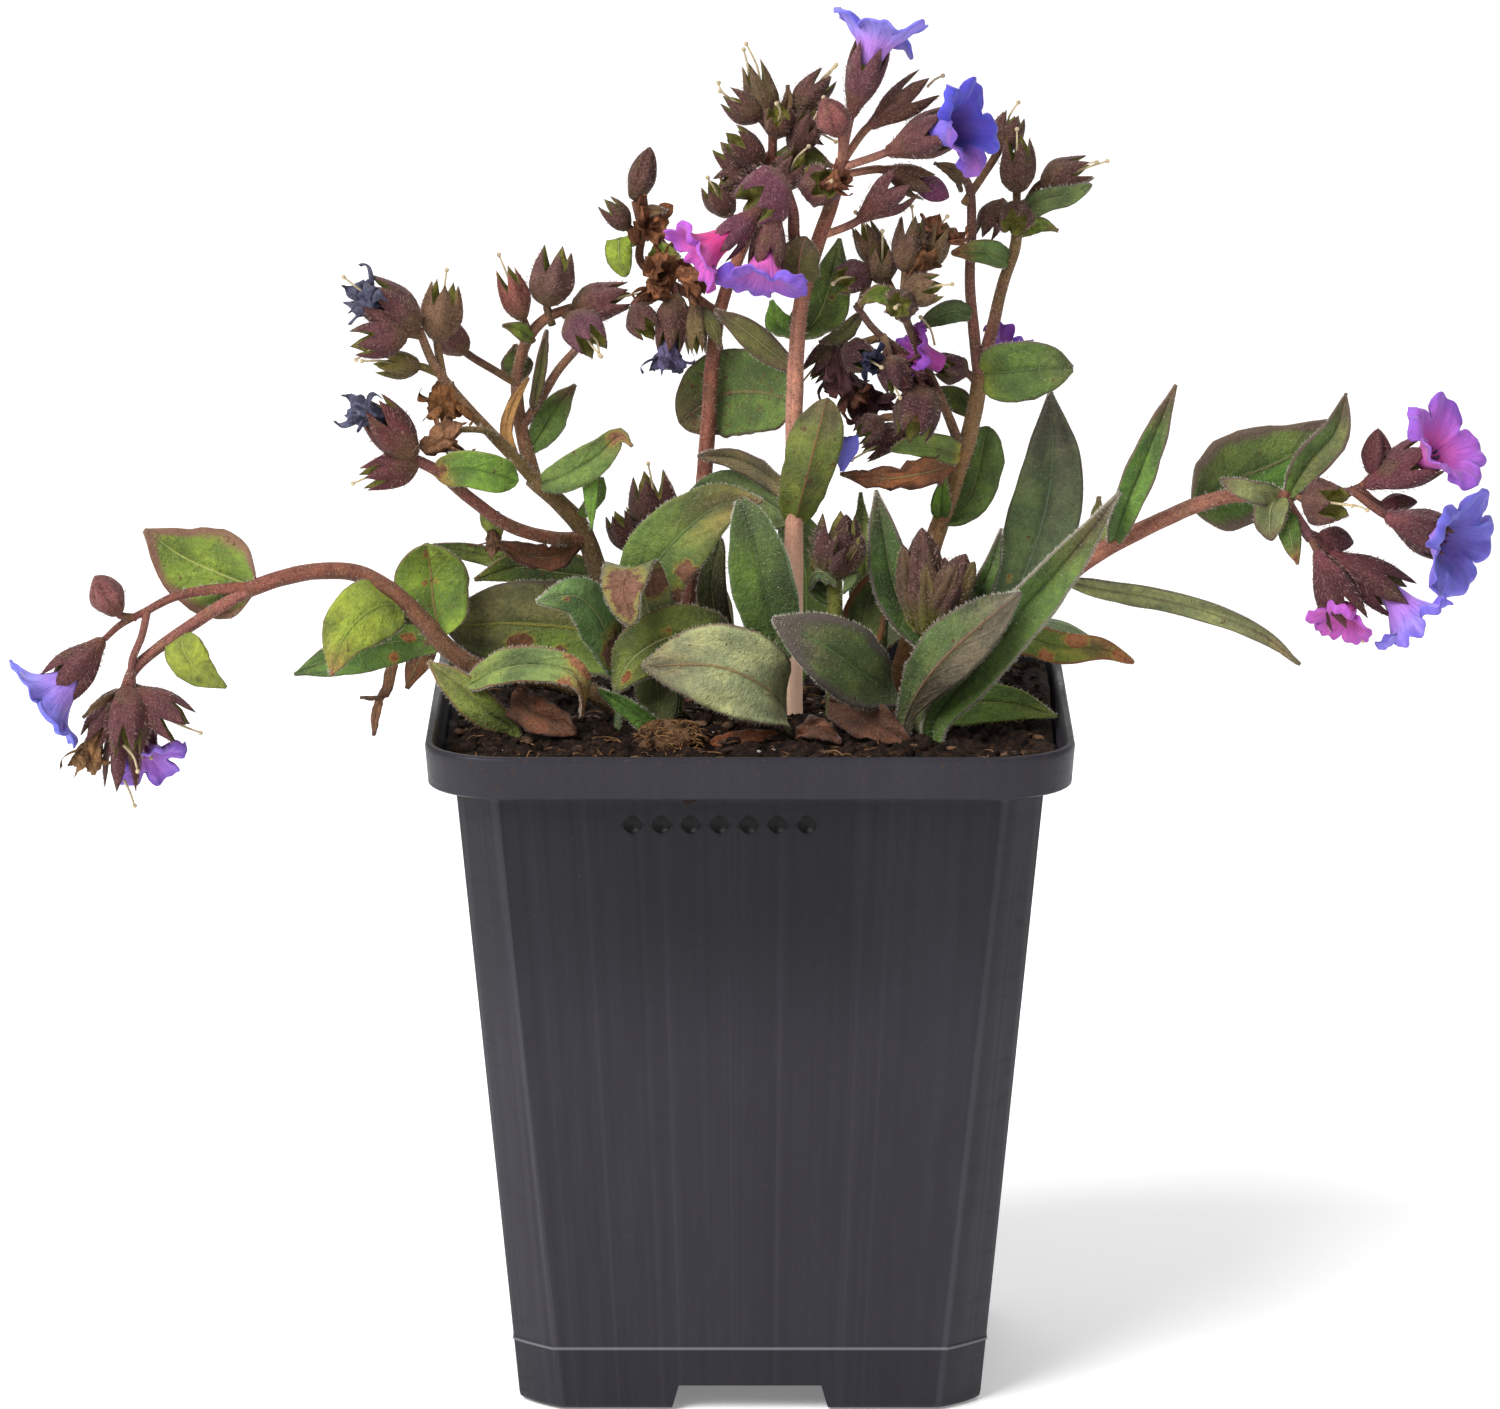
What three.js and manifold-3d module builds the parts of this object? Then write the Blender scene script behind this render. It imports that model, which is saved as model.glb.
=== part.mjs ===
import * as THREE from "three";
import Module from "manifold-3d";

const wasm = await Module();
wasm.setup();

// Driving sizes, in millimetres
const potHeight = 96;
const rimHalf = 45;
const rimBand = 6;
const bodyTopHalf = 40.7;
const bodyBaseHalf = 32.4;
const potWall = 1.2;
const footHeight = 3.5;
const channelTopHalf = 10;
const channelBaseHalf = 11.25;
const drainRadius = 3.2;
const soilDepthBelowRim = 3.4;
const bladeThickness = 0.7;
const petalThickness = 0.6;
const clearance = 0.32;
const stemStep = 9;
const rootDepth = 5;
const rootReach = 4;
const stalkSunk = 1.4;

// The plant's points are set out as [x, z, y]: x and z as they look from in front, on the pot's
// middle plane, and y the depth behind that plane. The eye is 11.5 degrees above the level.
const eyeBack = 1273.9;
const eyeUp = 353.6;
const up = new THREE.Vector3(0, 0, 1);

function seen([x, z, y]) {
  const reach = 1 + y / eyeBack;
  return new THREE.Vector3(x * reach, y, eyeUp + (z - eyeUp) * reach);
}

// A seeded draw, the same on every run
function draws(seed) {
  let state = seed * 2654435761 % 4294967296;
  return () => {
    state = (state * 1664525 + 1013904223) % 4294967296;
    return state / 4294967296;
  };
}

// Closed meshes

function solid(points, faces) {
  let volume = 0;
  for (const [a, b, c] of faces) {
    volume += points[a].dot(new THREE.Vector3().crossVectors(points[b], points[c]));
  }
  const outward = volume > 0 ? faces : faces.map(([a, b, c]) => [a, c, b]);
  return new wasm.Manifold(new wasm.Mesh({
    numProp: 3,
    vertProperties: new Float32Array(points.flatMap((p) => [p.x, p.y, p.z])),
    triVerts: new Uint32Array(outward.flat()),
  }));
}

function loft(rings) {
  const count = rings[0].length;
  const points = rings.flat();
  const faces = [];
  for (let row = 0; row < rings.length - 1; row += 1) {
    for (let i = 0; i < count; i += 1) {
      const a = row * count + i;
      const b = row * count + (i + 1) % count;
      faces.push([a, b, b + count], [a, b + count, a + count]);
    }
  }
  const last = (rings.length - 1) * count;
  for (let i = 1; i < count - 1; i += 1) {
    faces.push([0, i + 1, i], [last, last + i, last + i + 1]);
  }
  return solid(points, faces);
}

function largest(shape) {
  let best = shape;
  let most = -Infinity;
  for (const body of shape.decompose()) {
    if (body.volume() > most) {
      most = body.volume();
      best = body;
    }
  }
  return best;
}

function perpendicular(direction) {
  const side = Math.abs(direction.z) > 0.9 ? new THREE.Vector3(1, 0, 0) : up;
  return new THREE.Vector3().crossVectors(direction, side).normalize();
}

function ringAt(centre, axis, side, radius, count, turn = 0) {
  const other = new THREE.Vector3().crossVectors(axis, side);
  return Array.from({ length: count }, (_, i) => {
    const angle = (i / count + turn) * 2 * Math.PI;
    return centre.clone()
      .addScaledVector(side, Math.cos(angle) * radius)
      .addScaledVector(other, Math.sin(angle) * radius);
  });
}

function pathOf(points, rooted, root) {
  const path = points.map(seen);
  if (root) path[0] = root;
  if (rooted) path.unshift(path[0].clone().add(new THREE.Vector3(0, 0, -rootDepth)));
  return new THREE.CatmullRomCurve3(path, false, "centripetal");
}

function stepsAlong(curve) {
  return Math.max(1, Math.round(curve.getLength() / stemStep));
}

// Stems and stalks: a tapered tube along its curve
function stemSolid({ curve, startWide, endWide, sides }, grow) {
  const steps = stepsAlong(curve);
  const rings = [];
  for (let i = 0; i <= steps; i += 1) {
    const t = i / steps;
    const tangent = curve.getTangentAt(t);
    const centre = curve.getPointAt(t);
    if (i === 0) centre.addScaledVector(tangent, -grow);
    if (i === steps) centre.addScaledVector(tangent, grow);
    const across = new THREE.Vector3(0, 1, 0.01).addScaledVector(tangent, -tangent.y).normalize();
    const radius = THREE.MathUtils.lerp(startWide, endWide, t) / 2 + grow;
    rings.push(ringAt(centre, tangent, across, radius, sides));
  }
  return loft(rings);
}

// Leaves: rows across the midrib, each row a share of the full width. The plain forms have no midrib.
const leafForms = {
  ovate: [[0, 0.5], [0.14, 0.86], [0.36, 1], [0.6, 0.84], [0.83, 0.42], [1, 0.05]],
  lance: [[0, 0.3], [0.22, 0.78], [0.48, 1], [0.76, 0.68], [1, 0.05]],
  basal: [[0, 0.24], [0.22, 0.34], [0.44, 0.86], [0.64, 1], [0.84, 0.68], [1, 0.06]],
  round: [[0, 0.4], [0.2, 0.85], [0.5, 1], [0.8, 0.86], [1, 0.3]],
  strap: [[0, 0.6], [0.3, 1], [0.7, 0.85], [1, 0.12]],
  small: [[0, 0.35], [0.5, 1], [1, 0.12]],
};
const plainForms = ["strap", "small"];

// A rooted blade leaves the soil level across, and turns to its own slant by its middle
function acrossAt(across, rooted, curve, t) {
  const lateral = new THREE.Vector3(...across).normalize();
  if (!rooted) return lateral;
  const level = new THREE.Vector3(lateral.x, lateral.y, 0);
  if (level.length() < 0.5) {
    const heading = curve.points[curve.points.length - 1].clone().sub(curve.points[0]);
    level.crossVectors(heading, up);
  }
  return level.normalize().lerp(lateral, THREE.MathUtils.smoothstep(t, 0, 0.5));
}

function leafSolid({ curve, width, form, across, fold, wave, rooted }, grow) {
  const rows = leafForms[form];
  const edges = plainForms.includes(form) ? [-1, 1] : [-1, 0, 1];
  const corners = [];
  for (const [t, share] of rows) {
    const tangent = curve.getTangentAt(t);
    const lateral = acrossAt(across, rooted, curve, t);
    const side = lateral.clone().addScaledVector(tangent, -lateral.dot(tangent)).normalize();
    const normal = new THREE.Vector3().crossVectors(side, tangent).normalize();
    const centre = curve.getPointAt(t);
    if (t === 0) centre.addScaledVector(tangent, -grow);
    if (t === 1) centre.addScaledVector(tangent, grow);
    const half = width / 2 * share + grow;
    for (const face of [1, -1]) {
      for (const edge of edges) {
        const ripple = wave * width * Math.sin(t * 9 + edge * 1.3) * Math.abs(edge) * share;
        const lift = half * Math.sin(fold) * Math.abs(edge) + ripple;
        corners.push(centre.clone()
          .addScaledVector(side, edge * half * Math.cos(fold))
          .addScaledVector(normal, lift + face * (bladeThickness / 2 + grow)));
      }
    }
  }
  const count = edges.length;
  const faces = [];
  const quad = (a, b, c, d) => faces.push([a, b, c], [a, c, d]);
  for (let row = 0; row < rows.length - 1; row += 1) {
    const first = row * count * 2;
    const next = first + count * 2;
    for (let i = 0; i < count - 1; i += 1) {
      const a = first + i;
      const b = next + i;
      if (i === 0) {
        quad(b, a, a + 1, b + 1);
        quad(b + count, b + count + 1, a + count + 1, a + count);
      } else {
        quad(a, a + 1, b + 1, b);
        quad(a + count, b + count, b + count + 1, a + count + 1);
      }
    }
    quad(first, next, next + count, first + count);
    quad(first + count - 1, first + 2 * count - 1, next + 2 * count - 1, next + count - 1);
  }
  const end = (rows.length - 1) * count * 2;
  for (let i = 0; i < count - 1; i += 1) {
    quad(i, i + count, i + count + 1, i + 1);
    quad(end + i, end + i + 1, end + i + count + 1, end + i + count);
  }
  return solid(corners, faces);
}

// Calyces: a five-ribbed urn or bell with five teeth round an open mouth, or closed as a bud.
// Each row is [share of the length, share of the width]
const calyxForms = {
  urn: { low: [0.12, 0.62], belly: [0.45, 1], tips: [1, 0.82], notches: [0.7, 0.9] },
  bell: { low: [0.2, 0.46], belly: [0.55, 0.96], tips: [1, 0.88], notches: [0.68, 1] },
  bud: { low: [0.12, 0.6], belly: [0.42, 1], tips: [1, 0], notches: [0.76, 0.66] },
};

function calyxSolid({ foot, tip, width, form, turn }, grow) {
  const { low, belly, tips, notches } = calyxForms[form];
  const axis = seen(tip).sub(foot);
  const length = axis.length() + grow;
  axis.normalize();
  const side = perpendicular(axis);
  const at = (t) => foot.clone().addScaledVector(axis, t * length);
  const wide = width / 2 + grow;
  const points = [
    at(-0.04).addScaledVector(axis, -grow),
    ...ringAt(at(low[0]), axis, side, wide * low[1], 5, turn),
    ...ringAt(at(belly[0]), axis, side, wide * belly[1], 5, turn),
  ];
  const faces = [];
  for (let i = 0; i < 5; i += 1) {
    const j = (i + 1) % 5;
    faces.push([0, 1 + j, 1 + i]);
    faces.push([1 + i, 1 + j, 6 + j], [1 + i, 6 + j, 6 + i]);
  }
  if (form === "bud") {
    points.push(...ringAt(at(notches[0]), axis, side, wide * notches[1], 5, turn), at(1));
    for (let i = 0; i < 5; i += 1) {
      const j = (i + 1) % 5;
      faces.push([6 + i, 6 + j, 11 + j], [6 + i, 11 + j, 11 + i], [11 + i, 11 + j, 16]);
    }
    return solid(points, faces);
  }
  points.push(...ringAt(at(tips[0]), axis, side, wide * tips[1], 5, turn));
  points.push(...ringAt(at(notches[0]), axis, side, wide * notches[1], 5, turn + 0.1));
  points.push(at(0.5 + grow * 0.2));
  for (let i = 0; i < 5; i += 1) {
    const j = (i + 1) % 5;
    faces.push([6 + i, 6 + j, 16 + i], [6 + i, 16 + i, 11 + i], [6 + j, 11 + j, 16 + i]);
    faces.push([11 + i, 16 + i, 21], [16 + i, 11 + j, 21]);
  }
  return solid(points, faces);
}

// Flowers: a cone that opens from its throat to five rounded lobes. Rises are in mm: how far
// each lobe's end stands before the mouth's plane, or behind it where the lobe rolls back
const lobeRim = [[-0.1, 0.7, 0.9], [-0.055, 0.94, 0.99], [0, 1, 1], [0.055, 0.94, 0.99]];

function flowerSolid({ throat, centre, width, turn, rises }, grow) {
  const start = seen(throat);
  const axis = seen(centre).sub(start);
  const length = axis.length();
  axis.normalize();
  const side = perpendicular(axis);
  const radius = width / 2;
  const at = (s) => start.clone().addScaledVector(axis, s);
  const skin = (face) => {
    const off = face * (petalThickness / 2 + grow);
    const back = face > 0 ? 0 : petalThickness * 1.4;
    const rows = [
      ringAt(at(back - (face > 0 ? grow : -grow)), axis, side, 1.25 + off, 5, turn),
      ringAt(at(length * 0.45 - off * 0.5), axis, side, radius * 0.34 + off * 0.9, 5, turn),
      [],
      [],
    ];
    for (let lobe = 0; lobe < 5; lobe += 1) {
      for (const [angle, reach] of [[-0.1, 0.56], [0, 0.62]]) {
        const spoke = lobe / 5 + angle + turn;
        const lift = length * 0.82 - off;
        rows[2].push(...ringAt(at(lift), axis, side, radius * reach + off * 0.5, 1, spoke));
      }
      for (const [angle, reach, lift] of lobeRim) {
        const spoke = lobe / 5 + angle + turn;
        const height = length + rises[lobe] * lift - off;
        rows[3].push(...ringAt(at(height), axis, side, radius * reach + grow, 1, spoke));
      }
    }
    return rows;
  };
  const points = [...skin(1).flat(), ...skin(-1).flat()];
  const faces = [];
  const inner = 40;
  const both = (a, b, c) => {
    faces.push([a, b, c], [a + inner, c + inner, b + inner]);
  };
  both(0, 2, 1);
  both(0, 3, 2);
  both(0, 4, 3);
  for (let i = 0; i < 5; i += 1) {
    const j = (i + 1) % 5;
    both(i, j, 5 + j);
    both(i, 5 + j, 5 + i);
    const valley = 10 + 2 * i;
    const next = 10 + 2 * j;
    both(5 + i, valley + 1, valley);
    both(5 + i, 5 + j, next);
    both(5 + i, next, valley + 1);
    const rim = 20 + 4 * i;
    const nextRim = 20 + 4 * j;
    both(valley, valley + 1, rim + 1);
    both(valley, rim + 1, rim);
    both(valley + 1, rim + 2, rim + 1);
    both(valley + 1, rim + 3, rim + 2);
    both(valley + 1, next, rim + 3);
    both(next, nextRim, rim + 3);
  }
  for (let i = 0; i < 20; i += 1) {
    const a = 20 + i;
    const b = 20 + (i + 1) % 20;
    faces.push([a, b, b + inner], [a, b + inner, a + inner]);
  }
  return solid(points, faces);
}

// Withered flowers: a crumpled knot of uneven rings
function witheredSolid({ base, tip, width, seed }, grow) {
  const draw = draws(seed);
  const foot = seen(base);
  const axis = seen(tip).sub(foot);
  const length = axis.length();
  axis.normalize();
  const side = perpendicular(axis);
  const rings = [[0, 0.5], [0.6, 1], [1, 0.5]].map(([t, share]) => {
    const centre = foot.clone().addScaledVector(axis, t * length + (t - 0.5) * 2 * grow);
    return [0, 1, 2, 3].map((i) => {
      const radius = width / 2 * share * (0.72 + 0.5 * draw()) + grow;
      return ringAt(centre, axis, side, radius, 1, i / 4)[0];
    });
  });
  return loft(rings);
}

// Every piece of the plant is grown here, in the node that it belongs to
const growths = [];

function grow(node, rank, make) {
  growths.push({ node, rank, body: make(0), keepOut: make(clearance) });
}

// The nearest point on the node's own stems, where a leaf or stalk is rooted
function nearest(spines, point) {
  let best = null;
  let least = rootReach;
  for (const [start, end] of spines) {
    const spot = new THREE.Line3(start, end).closestPointToPoint(point, true, new THREE.Vector3());
    if (spot.distanceTo(point) < least) {
      least = spot.distanceTo(point);
      best = spot;
    }
  }
  return best || point;
}

function plantNode(node) {
  let count = 0;
  const spines = [];
  const rootOf = (point) => nearest(spines, seen(point));
  const self = {
    stem(points, startWide, endWide, rooted = false) {
      const curve = pathOf(points, rooted, rooted ? null : rootOf(points[0]));
      const joints = curve.getSpacedPoints(stepsAlong(curve));
      grow(node, 1, (gap) => stemSolid({ curve, startWide, endWide, sides: 5 }, gap));
      joints.slice(1).forEach((joint, i) => spines.push([joints[i], joint]));
    },
    leaf(points, width, form, across, fold = 0.25, wave = 0, rooted = false) {
      const curve = pathOf(points, rooted, rooted ? null : rootOf(points[0]));
      grow(node, 4, (gap) => leafSolid({ curve, width, form, across, fold, wave, rooted }, gap));
    },
    calyx(stalk, base, tip, width, form = "urn") {
      count += 1;
      const turn = (count * 0.37) % 1;
      const foot = stalk ? seen(base) : rootOf(base);
      grow(node, 3, (gap) => calyxSolid({ foot, tip, width, form, turn }, gap));
      if (!stalk) return;
      const inside = seen(tip).sub(foot).setLength(stalkSunk).add(foot);
      const curve = new THREE.CatmullRomCurve3([rootOf(stalk), inside]);
      grow(node, 2, (gap) => stemSolid({ curve, startWide: 1.1, endWide: 1, sides: 3 }, gap));
    },
    bell(stalk, base, tip, width) {
      self.calyx(stalk, base, tip, width, "bell");
    },
    bud(stalk, base, tip, width) {
      self.calyx(stalk, base, tip, width, "bud");
    },
    withered(base, tip, width) {
      count += 1;
      const seed = node.length + count * 7;
      grow(node, 3, (gap) => witheredSolid({ base, tip, width, seed }, gap));
    },
    flower(throat, centre, width, turn, rises) {
      grow(node, 2, (gap) => flowerSolid({ throat, centre, width, turn, rises }, gap));
    },
  };
  return self;
}

function leftTrailingStem() {
  const plant = plantNode("left_trailing_stem");
  plant.stem([[-18, 93, 0], [-27, 97.6, -2], [-36, 98.8, -3], [-42, 101.8, -4], [-46.5, 106.8, -4],
    [-51, 111, -4], [-56, 113.5, -3], [-61, 113.7, -3], [-66, 112.8, -3], [-71, 111, -3]],
    3, 2.3, true);
  plant.stem([[-70, 111.3, -3], [-76, 111, -3], [-81, 110.1, -3], [-85.5, 107.9, -3],
    [-89.2, 105.9, -3], [-91.4, 103.9, -3]], 1.7, 0.9);
  plant.stem([[-70, 111, -3], [-75, 108.6, -3], [-80, 105.3, -3], [-84.5, 102.1, -3],
    [-87.4, 99.4, -3], [-88.6, 96.6, -2]], 1.9, 1.5);
  plant.stem([[-85.3, 107.9, -3], [-86.2, 104.2, -4], [-87.6, 100.6, -4], [-87.6, 97, -3]], 1.1, 1.1);
  plant.leaf([[-70, 111.8, -2.4], [-74.5, 113, -0.6], [-80, 115.6, 0], [-85.6, 119.6, -1]],
    12.8, "ovate", [0.25, 0, 1], 0.12, 0.02);
  plant.leaf([[-81.4, 106.4, -4], [-80.4, 102.6, -5], [-78.4, 99.4, -5], [-74.3, 96.9, -4]],
    6, "ovate", [0.9, 0, 0.5], 0.2);
  plant.leaf([[-89.6, 96.8, -3], [-92, 95, -5], [-94.7, 92.5, -5.5]], 1.5, "small", [0.5, 0, 0.8]);
  plant.bud([-87, 107.2, -3], [-89.4, 107.4, -3.5], [-92.7, 113, -5], 5.3);
  plant.bell(null, [-91.4, 103.9, -3], [-98.7, 96.4, -4], 6.8);
  plant.bell(null, [-88.4, 97.3, -2], [-80, 90.6, -4], 6.6);
  plant.calyx(null, [-88.6, 97.3, -3], [-88.6, 86.5, -8], 6.2);
  plant.bell(null, [-89.6, 95, -1], [-89.2, 81.6, -2], 5.8);
  plant.calyx(null, [-87.9, 96.8, 0], [-85.4, 87.6, 3], 5.4);
  plant.calyx(null, [-89.4, 96.4, -2], [-94, 88.5, -3], 5);
  plant.withered([-92, 91.4, -2.8], [-95.4, 83.8, -3.2], 4.6);
  plant.leaf([[-48, 110, -5], [-53, 108.4, -8], [-57.2, 104.6, -10], [-59.4, 98.6, -9]],
    9.4, "ovate", [0.7, 0, -0.7], 0.18, 0.02);
  plant.leaf([[-43.6, 102.6, -4], [-50, 103.6, -3], [-57, 101.6, -3], [-64.6, 98.8, -2]],
    6.8, "lance", [0, -0.1, 1], 0.15, 0.03);
  plant.leaf([[-44.2, 104, -2.6], [-44.8, 109, 0], [-45.2, 114, 1.4], [-45.8, 117.6, 0]],
    10.6, "round", [1, 0, 0], 0.18, 0.02);
  plant.leaf([[-50, 102.4, -3], [-50.9, 99.4, -2], [-52, 95.8, -1], [-55.3, 95.4, -2]],
    1.6, "strap", [1, 0, 0.2], 0.3);
  plant.leaf([[-52.2, 96.2, -1], [-53.1, 93, -1], [-53.4, 89.9, -1]], 1.2, "strap", [1, 0, 0], 0);
  plant.leaf([[-46.4, 102.6, -3], [-47.4, 99.8, -3], [-48.7, 96.7, -3]], 3.8, "small", [1, 0, 0], 0.3);
}

function leftMiddleStem() {
  const plant = plantNode("left_middle_stem");
  plant.stem([[-14, 93.5, 5], [-17, 100, 6], [-20, 108, 6], [-21.8, 114.5, 5], [-24, 120.2, 4],
    [-27, 123.6, 3], [-30.8, 127.1, 2]], 3.4, 2.5, true);
  plant.stem([[-30, 126.4, 2], [-33, 129.6, 0], [-38, 135, -2], [-42, 139.6, -4], [-44.6, 143.4, -6],
    [-46.6, 148.3, -7]], 1.9, 1.2);
  plant.stem([[-30.2, 126.6, 2], [-32.2, 134, 5], [-32.8, 141, 6], [-31.2, 147, 7],
    [-28.4, 150, 7.5], [-25, 151.3, 8]], 2.1, 1.4);
  plant.stem([[-23.4, 118.2, 4], [-28.6, 118.5, -1], [-34, 120.2, -5], [-39, 123.7, -8],
    [-44.5, 128.3, -10], [-47.6, 129.8, -11]], 2, 1.6);
  plant.stem([[-31.2, 134.4, 6], [-29.4, 138.6, 6], [-27, 142.5, 4], [-24, 146, 2.5]], 1.4, 1.2);
  plant.calyx(null, [-46.6, 148.2, -7], [-55, 154.2, -9], 7.2);
  plant.withered([-50.8, 151, -8], [-56.4, 154, -10], 4.8);
  plant.calyx([-43.4, 141.6, -5], [-44, 146.5, -5], [-42.8, 155.3, -5], 6.2);
  plant.calyx([-46.2, 147, -7], [-48.2, 147.6, -9], [-56.2, 146.4, -12], 5.6);
  plant.calyx([-43.4, 141.4, -5], [-46.4, 143, -7], [-53, 143.6, -9], 4.4);
  plant.calyx([-33.2, 140.2, 6], [-40, 145, 3], [-44.4, 149.6, 1], 4.8);
  plant.withered([-43, 141, -4.4], [-43.2, 134.8, -3], 4.6);
  plant.calyx([-31.1, 147, 7], [-31.9, 149.6, 6], [-34.6, 157, 4], 4.4);
  plant.calyx([-28.6, 149.8, 7.5], [-28.6, 151.6, 7], [-27.2, 160, 6], 6.6);
  plant.calyx(null, [-25.2, 151.2, 8], [-16.4, 153.2, 8], 5.6);
  plant.calyx([-26.6, 150.8, 7.8], [-24.8, 150.4, 6], [-21.6, 145.4, 0.5], 6.2);
  plant.leaf([[-31, 147.3, 6.6], [-33, 148.4, 4], [-34.8, 148.9, 3]], 2.6, "small", [0, 0, 1]);
  plant.leaf([[-32.7, 140.8, 6.6], [-32.9, 143.5, 8.6], [-33, 146.2, 9]], 4.8, "small", [1, 0, 0]);
  plant.leaf([[-30.6, 137, 6.4], [-29.6, 142, 3.5], [-28.6, 148.2, 2]], 1.8, "strap", [1, 0, 0], 0.4);
  plant.leaf([[-31.6, 130.6, 3.6], [-29, 134, 6], [-27, 137.5, 8], [-24.6, 140.4, 8]],
    4.8, "lance", [1, 0, -0.6], 0.25);
  plant.leaf([[-33, 129.6, 0.6], [-34.4, 133.4, 2.4], [-33.4, 137.6, 3], [-31.2, 141.4, 3]],
    1.8, "strap", [1, 0, 0], 0.2);
  plant.leaf([[-30, 126, 2], [-26, 127.4, -2], [-21.5, 130.2, -3], [-18.2, 133.2, -3],
    [-16.6, 131.6, -4]], 5.2, "lance", [0, 0, -1], 0.15, 0.02);
  plant.leaf([[-44.2, 128.2, -10], [-40, 128.4, -12], [-36, 127.6, -12], [-32.8, 126.6, -10]],
    5.4, "round", [0, 0, -1], 0.15);
  plant.stem([[-35.6, 132.2, -1], [-37.4, 133.8, -4], [-41.4, 134, -7]], 1, 0.9);
  plant.withered([-46.6, 131.2, -9.4], [-40.2, 133.9, -7], 4.4);
  plant.leaf([[-23, 121.2, 3.4], [-21.6, 125, 0], [-22.4, 127.4, -1.6], [-22.4, 119.6, -3.4]],
    2.8, "lance", [1, 0, 0], 0.1);
  plant.leaf([[-37.6, 122.8, -6.8], [-36.4, 120.6, -5], [-35.6, 117.6, -4]], 3.4, "small", [1, 0, 0]);
  plant.withered([-36.4, 119.6, -5.2], [-36.2, 116, -4], 2.4);
  plant.leaf([[-24, 117.6, 3.4], [-28, 115.6, 1], [-32, 116.2, 0], [-35.8, 117.8, 0]],
    3.6, "strap", [0, 0.2, 1], 0.3, 0.06);
  plant.leaf([[-21.4, 113, 6], [-27, 113.4, 9], [-33, 114.2, 10], [-39, 112.4, 9]],
    6.6, "ovate", [0, 0.1, 1], 0.15, 0.03);
  plant.leaf([[-30, 113.8, 10], [-37, 115.8, 11], [-45, 117.4, 10]], 2.8, "strap", [0, 0, 1], 0.1);
  plant.calyx(null, [-47.2, 129.9, -11], [-53.8, 138.2, -13], 6.4);
  plant.calyx(null, [-46.8, 129, -11], [-55, 126.6, -13], 5.2);
  plant.withered([-51.4, 135.2, -12], [-57.4, 137.2, -14], 4);
}

function backMiddleStem() {
  const plant = plantNode("back_middle_stem");
  plant.stem([[-8, 94.5, 12], [-9, 103, 11], [-8.6, 112, 9], [-7, 122, 7.5], [-6, 134, 7],
    [-5.2, 145, 7], [-4.4, 151, 7]], 2.8, 2, true);
  plant.stem([[-4.5, 150, 7], [-3, 155, 8], [-1, 160, 9], [1.4, 166, 9], [3, 172, 8],
    [3.2, 178, 8]], 1.9, 1.2);
  plant.stem([[-4.8, 150.4, 7], [-8, 153, 8], [-12, 155.2, 8], [-15.4, 158, 8], [-15.2, 162, 8],
    [-16.2, 166.5, 8]], 1.6, 1);
  plant.bud(null, [-16, 166.8, 8], [-14, 174.2, 8], 4.2);
  plant.calyx([-15.4, 161.6, 8], [-17, 162.6, 7], [-20.6, 166.4, 6], 3.8);
  plant.withered([-15.6, 162.4, 8], [-13, 163.2, 5], 4.4);
  plant.leaf([[-15.6, 164.6, 7.6], [-13.4, 165.2, 6.6], [-11.5, 165, 6]], 1.8, "small", [0, 0, -1]);
  plant.leaf([[-15.6, 160.6, 7.4], [-18.2, 161.2, 5], [-18.4, 158.6, 4], [-17.4, 155.8, 4]],
    3.9, "round", [1, 0, 0.2], 0.3);
  plant.leaf([[-14.6, 158, 7.4], [-12, 159.6, 6], [-9.8, 158.4, 5.6]], 2.4, "small", [0, 0, -1]);
  plant.withered([-14.6, 157.6, 7.6], [-10.6, 156.4, 4], 4.4);
  plant.withered([-10.4, 156.8, 6], [-5.4, 153.8, 4], 3.4);
  plant.withered([-13, 156, 7], [-13.4, 151.6, 4.6], 3.6);
  plant.calyx([-11, 155, 8], [-10.4, 153.4, 6], [-11.6, 144.4, 4], 4.8);
  plant.withered([-11.2, 147, 4.6], [-11.8, 141.4, 3.6], 3.6);
  plant.calyx([-12.6, 155.4, 8], [-16.4, 151.4, 6.6], [-13.6, 147.6, 2.6], 4.8);
  plant.calyx([-8, 152.8, 8], [-8, 152, 6], [-7.4, 144.4, 4], 3.8);
  plant.leaf([[-6.4, 151.6, 7.4], [-5.4, 149, 4], [-4, 145.4, 4]], 2.6, "small", [1, 0, 0]);
  plant.calyx(null, [2.6, 177.4, 8], [0.2, 186.4, 8], 4.9);
  plant.calyx([3.2, 176, 8], [1.6, 178, 7], [-3.6, 181.6, 6], 4.6);
  plant.calyx([3.3, 177, 8], [6.2, 179.2, 8], [11.2, 184.8, 8.5], 5);
  plant.calyx([3, 173, 8], [1.6, 171.8, 6.4], [-3, 176, 4], 5.2);
  plant.calyx([3.2, 175.4, 8], [4.2, 176, 7], [3.8, 179.6, 3.4], 4.6);
  plant.calyx([3.3, 176.6, 8], [6.4, 178.4, 8], [11.2, 175.4, 7], 4.4);
  plant.calyx([2.4, 170, 8.6], [-0.6, 170.8, 7], [-4.8, 168.6, 5], 4);
  plant.leaf([[3.4, 177.6, 7.6], [5.2, 180, 7], [5.3, 182.9, 7]], 1.9, "small", [1, 0, 0]);
  plant.leaf([[3, 171.6, 8], [7.4, 173, 7], [11.6, 171.4, 7]], 3.8, "small", [0, 0, -1]);
}

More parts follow.
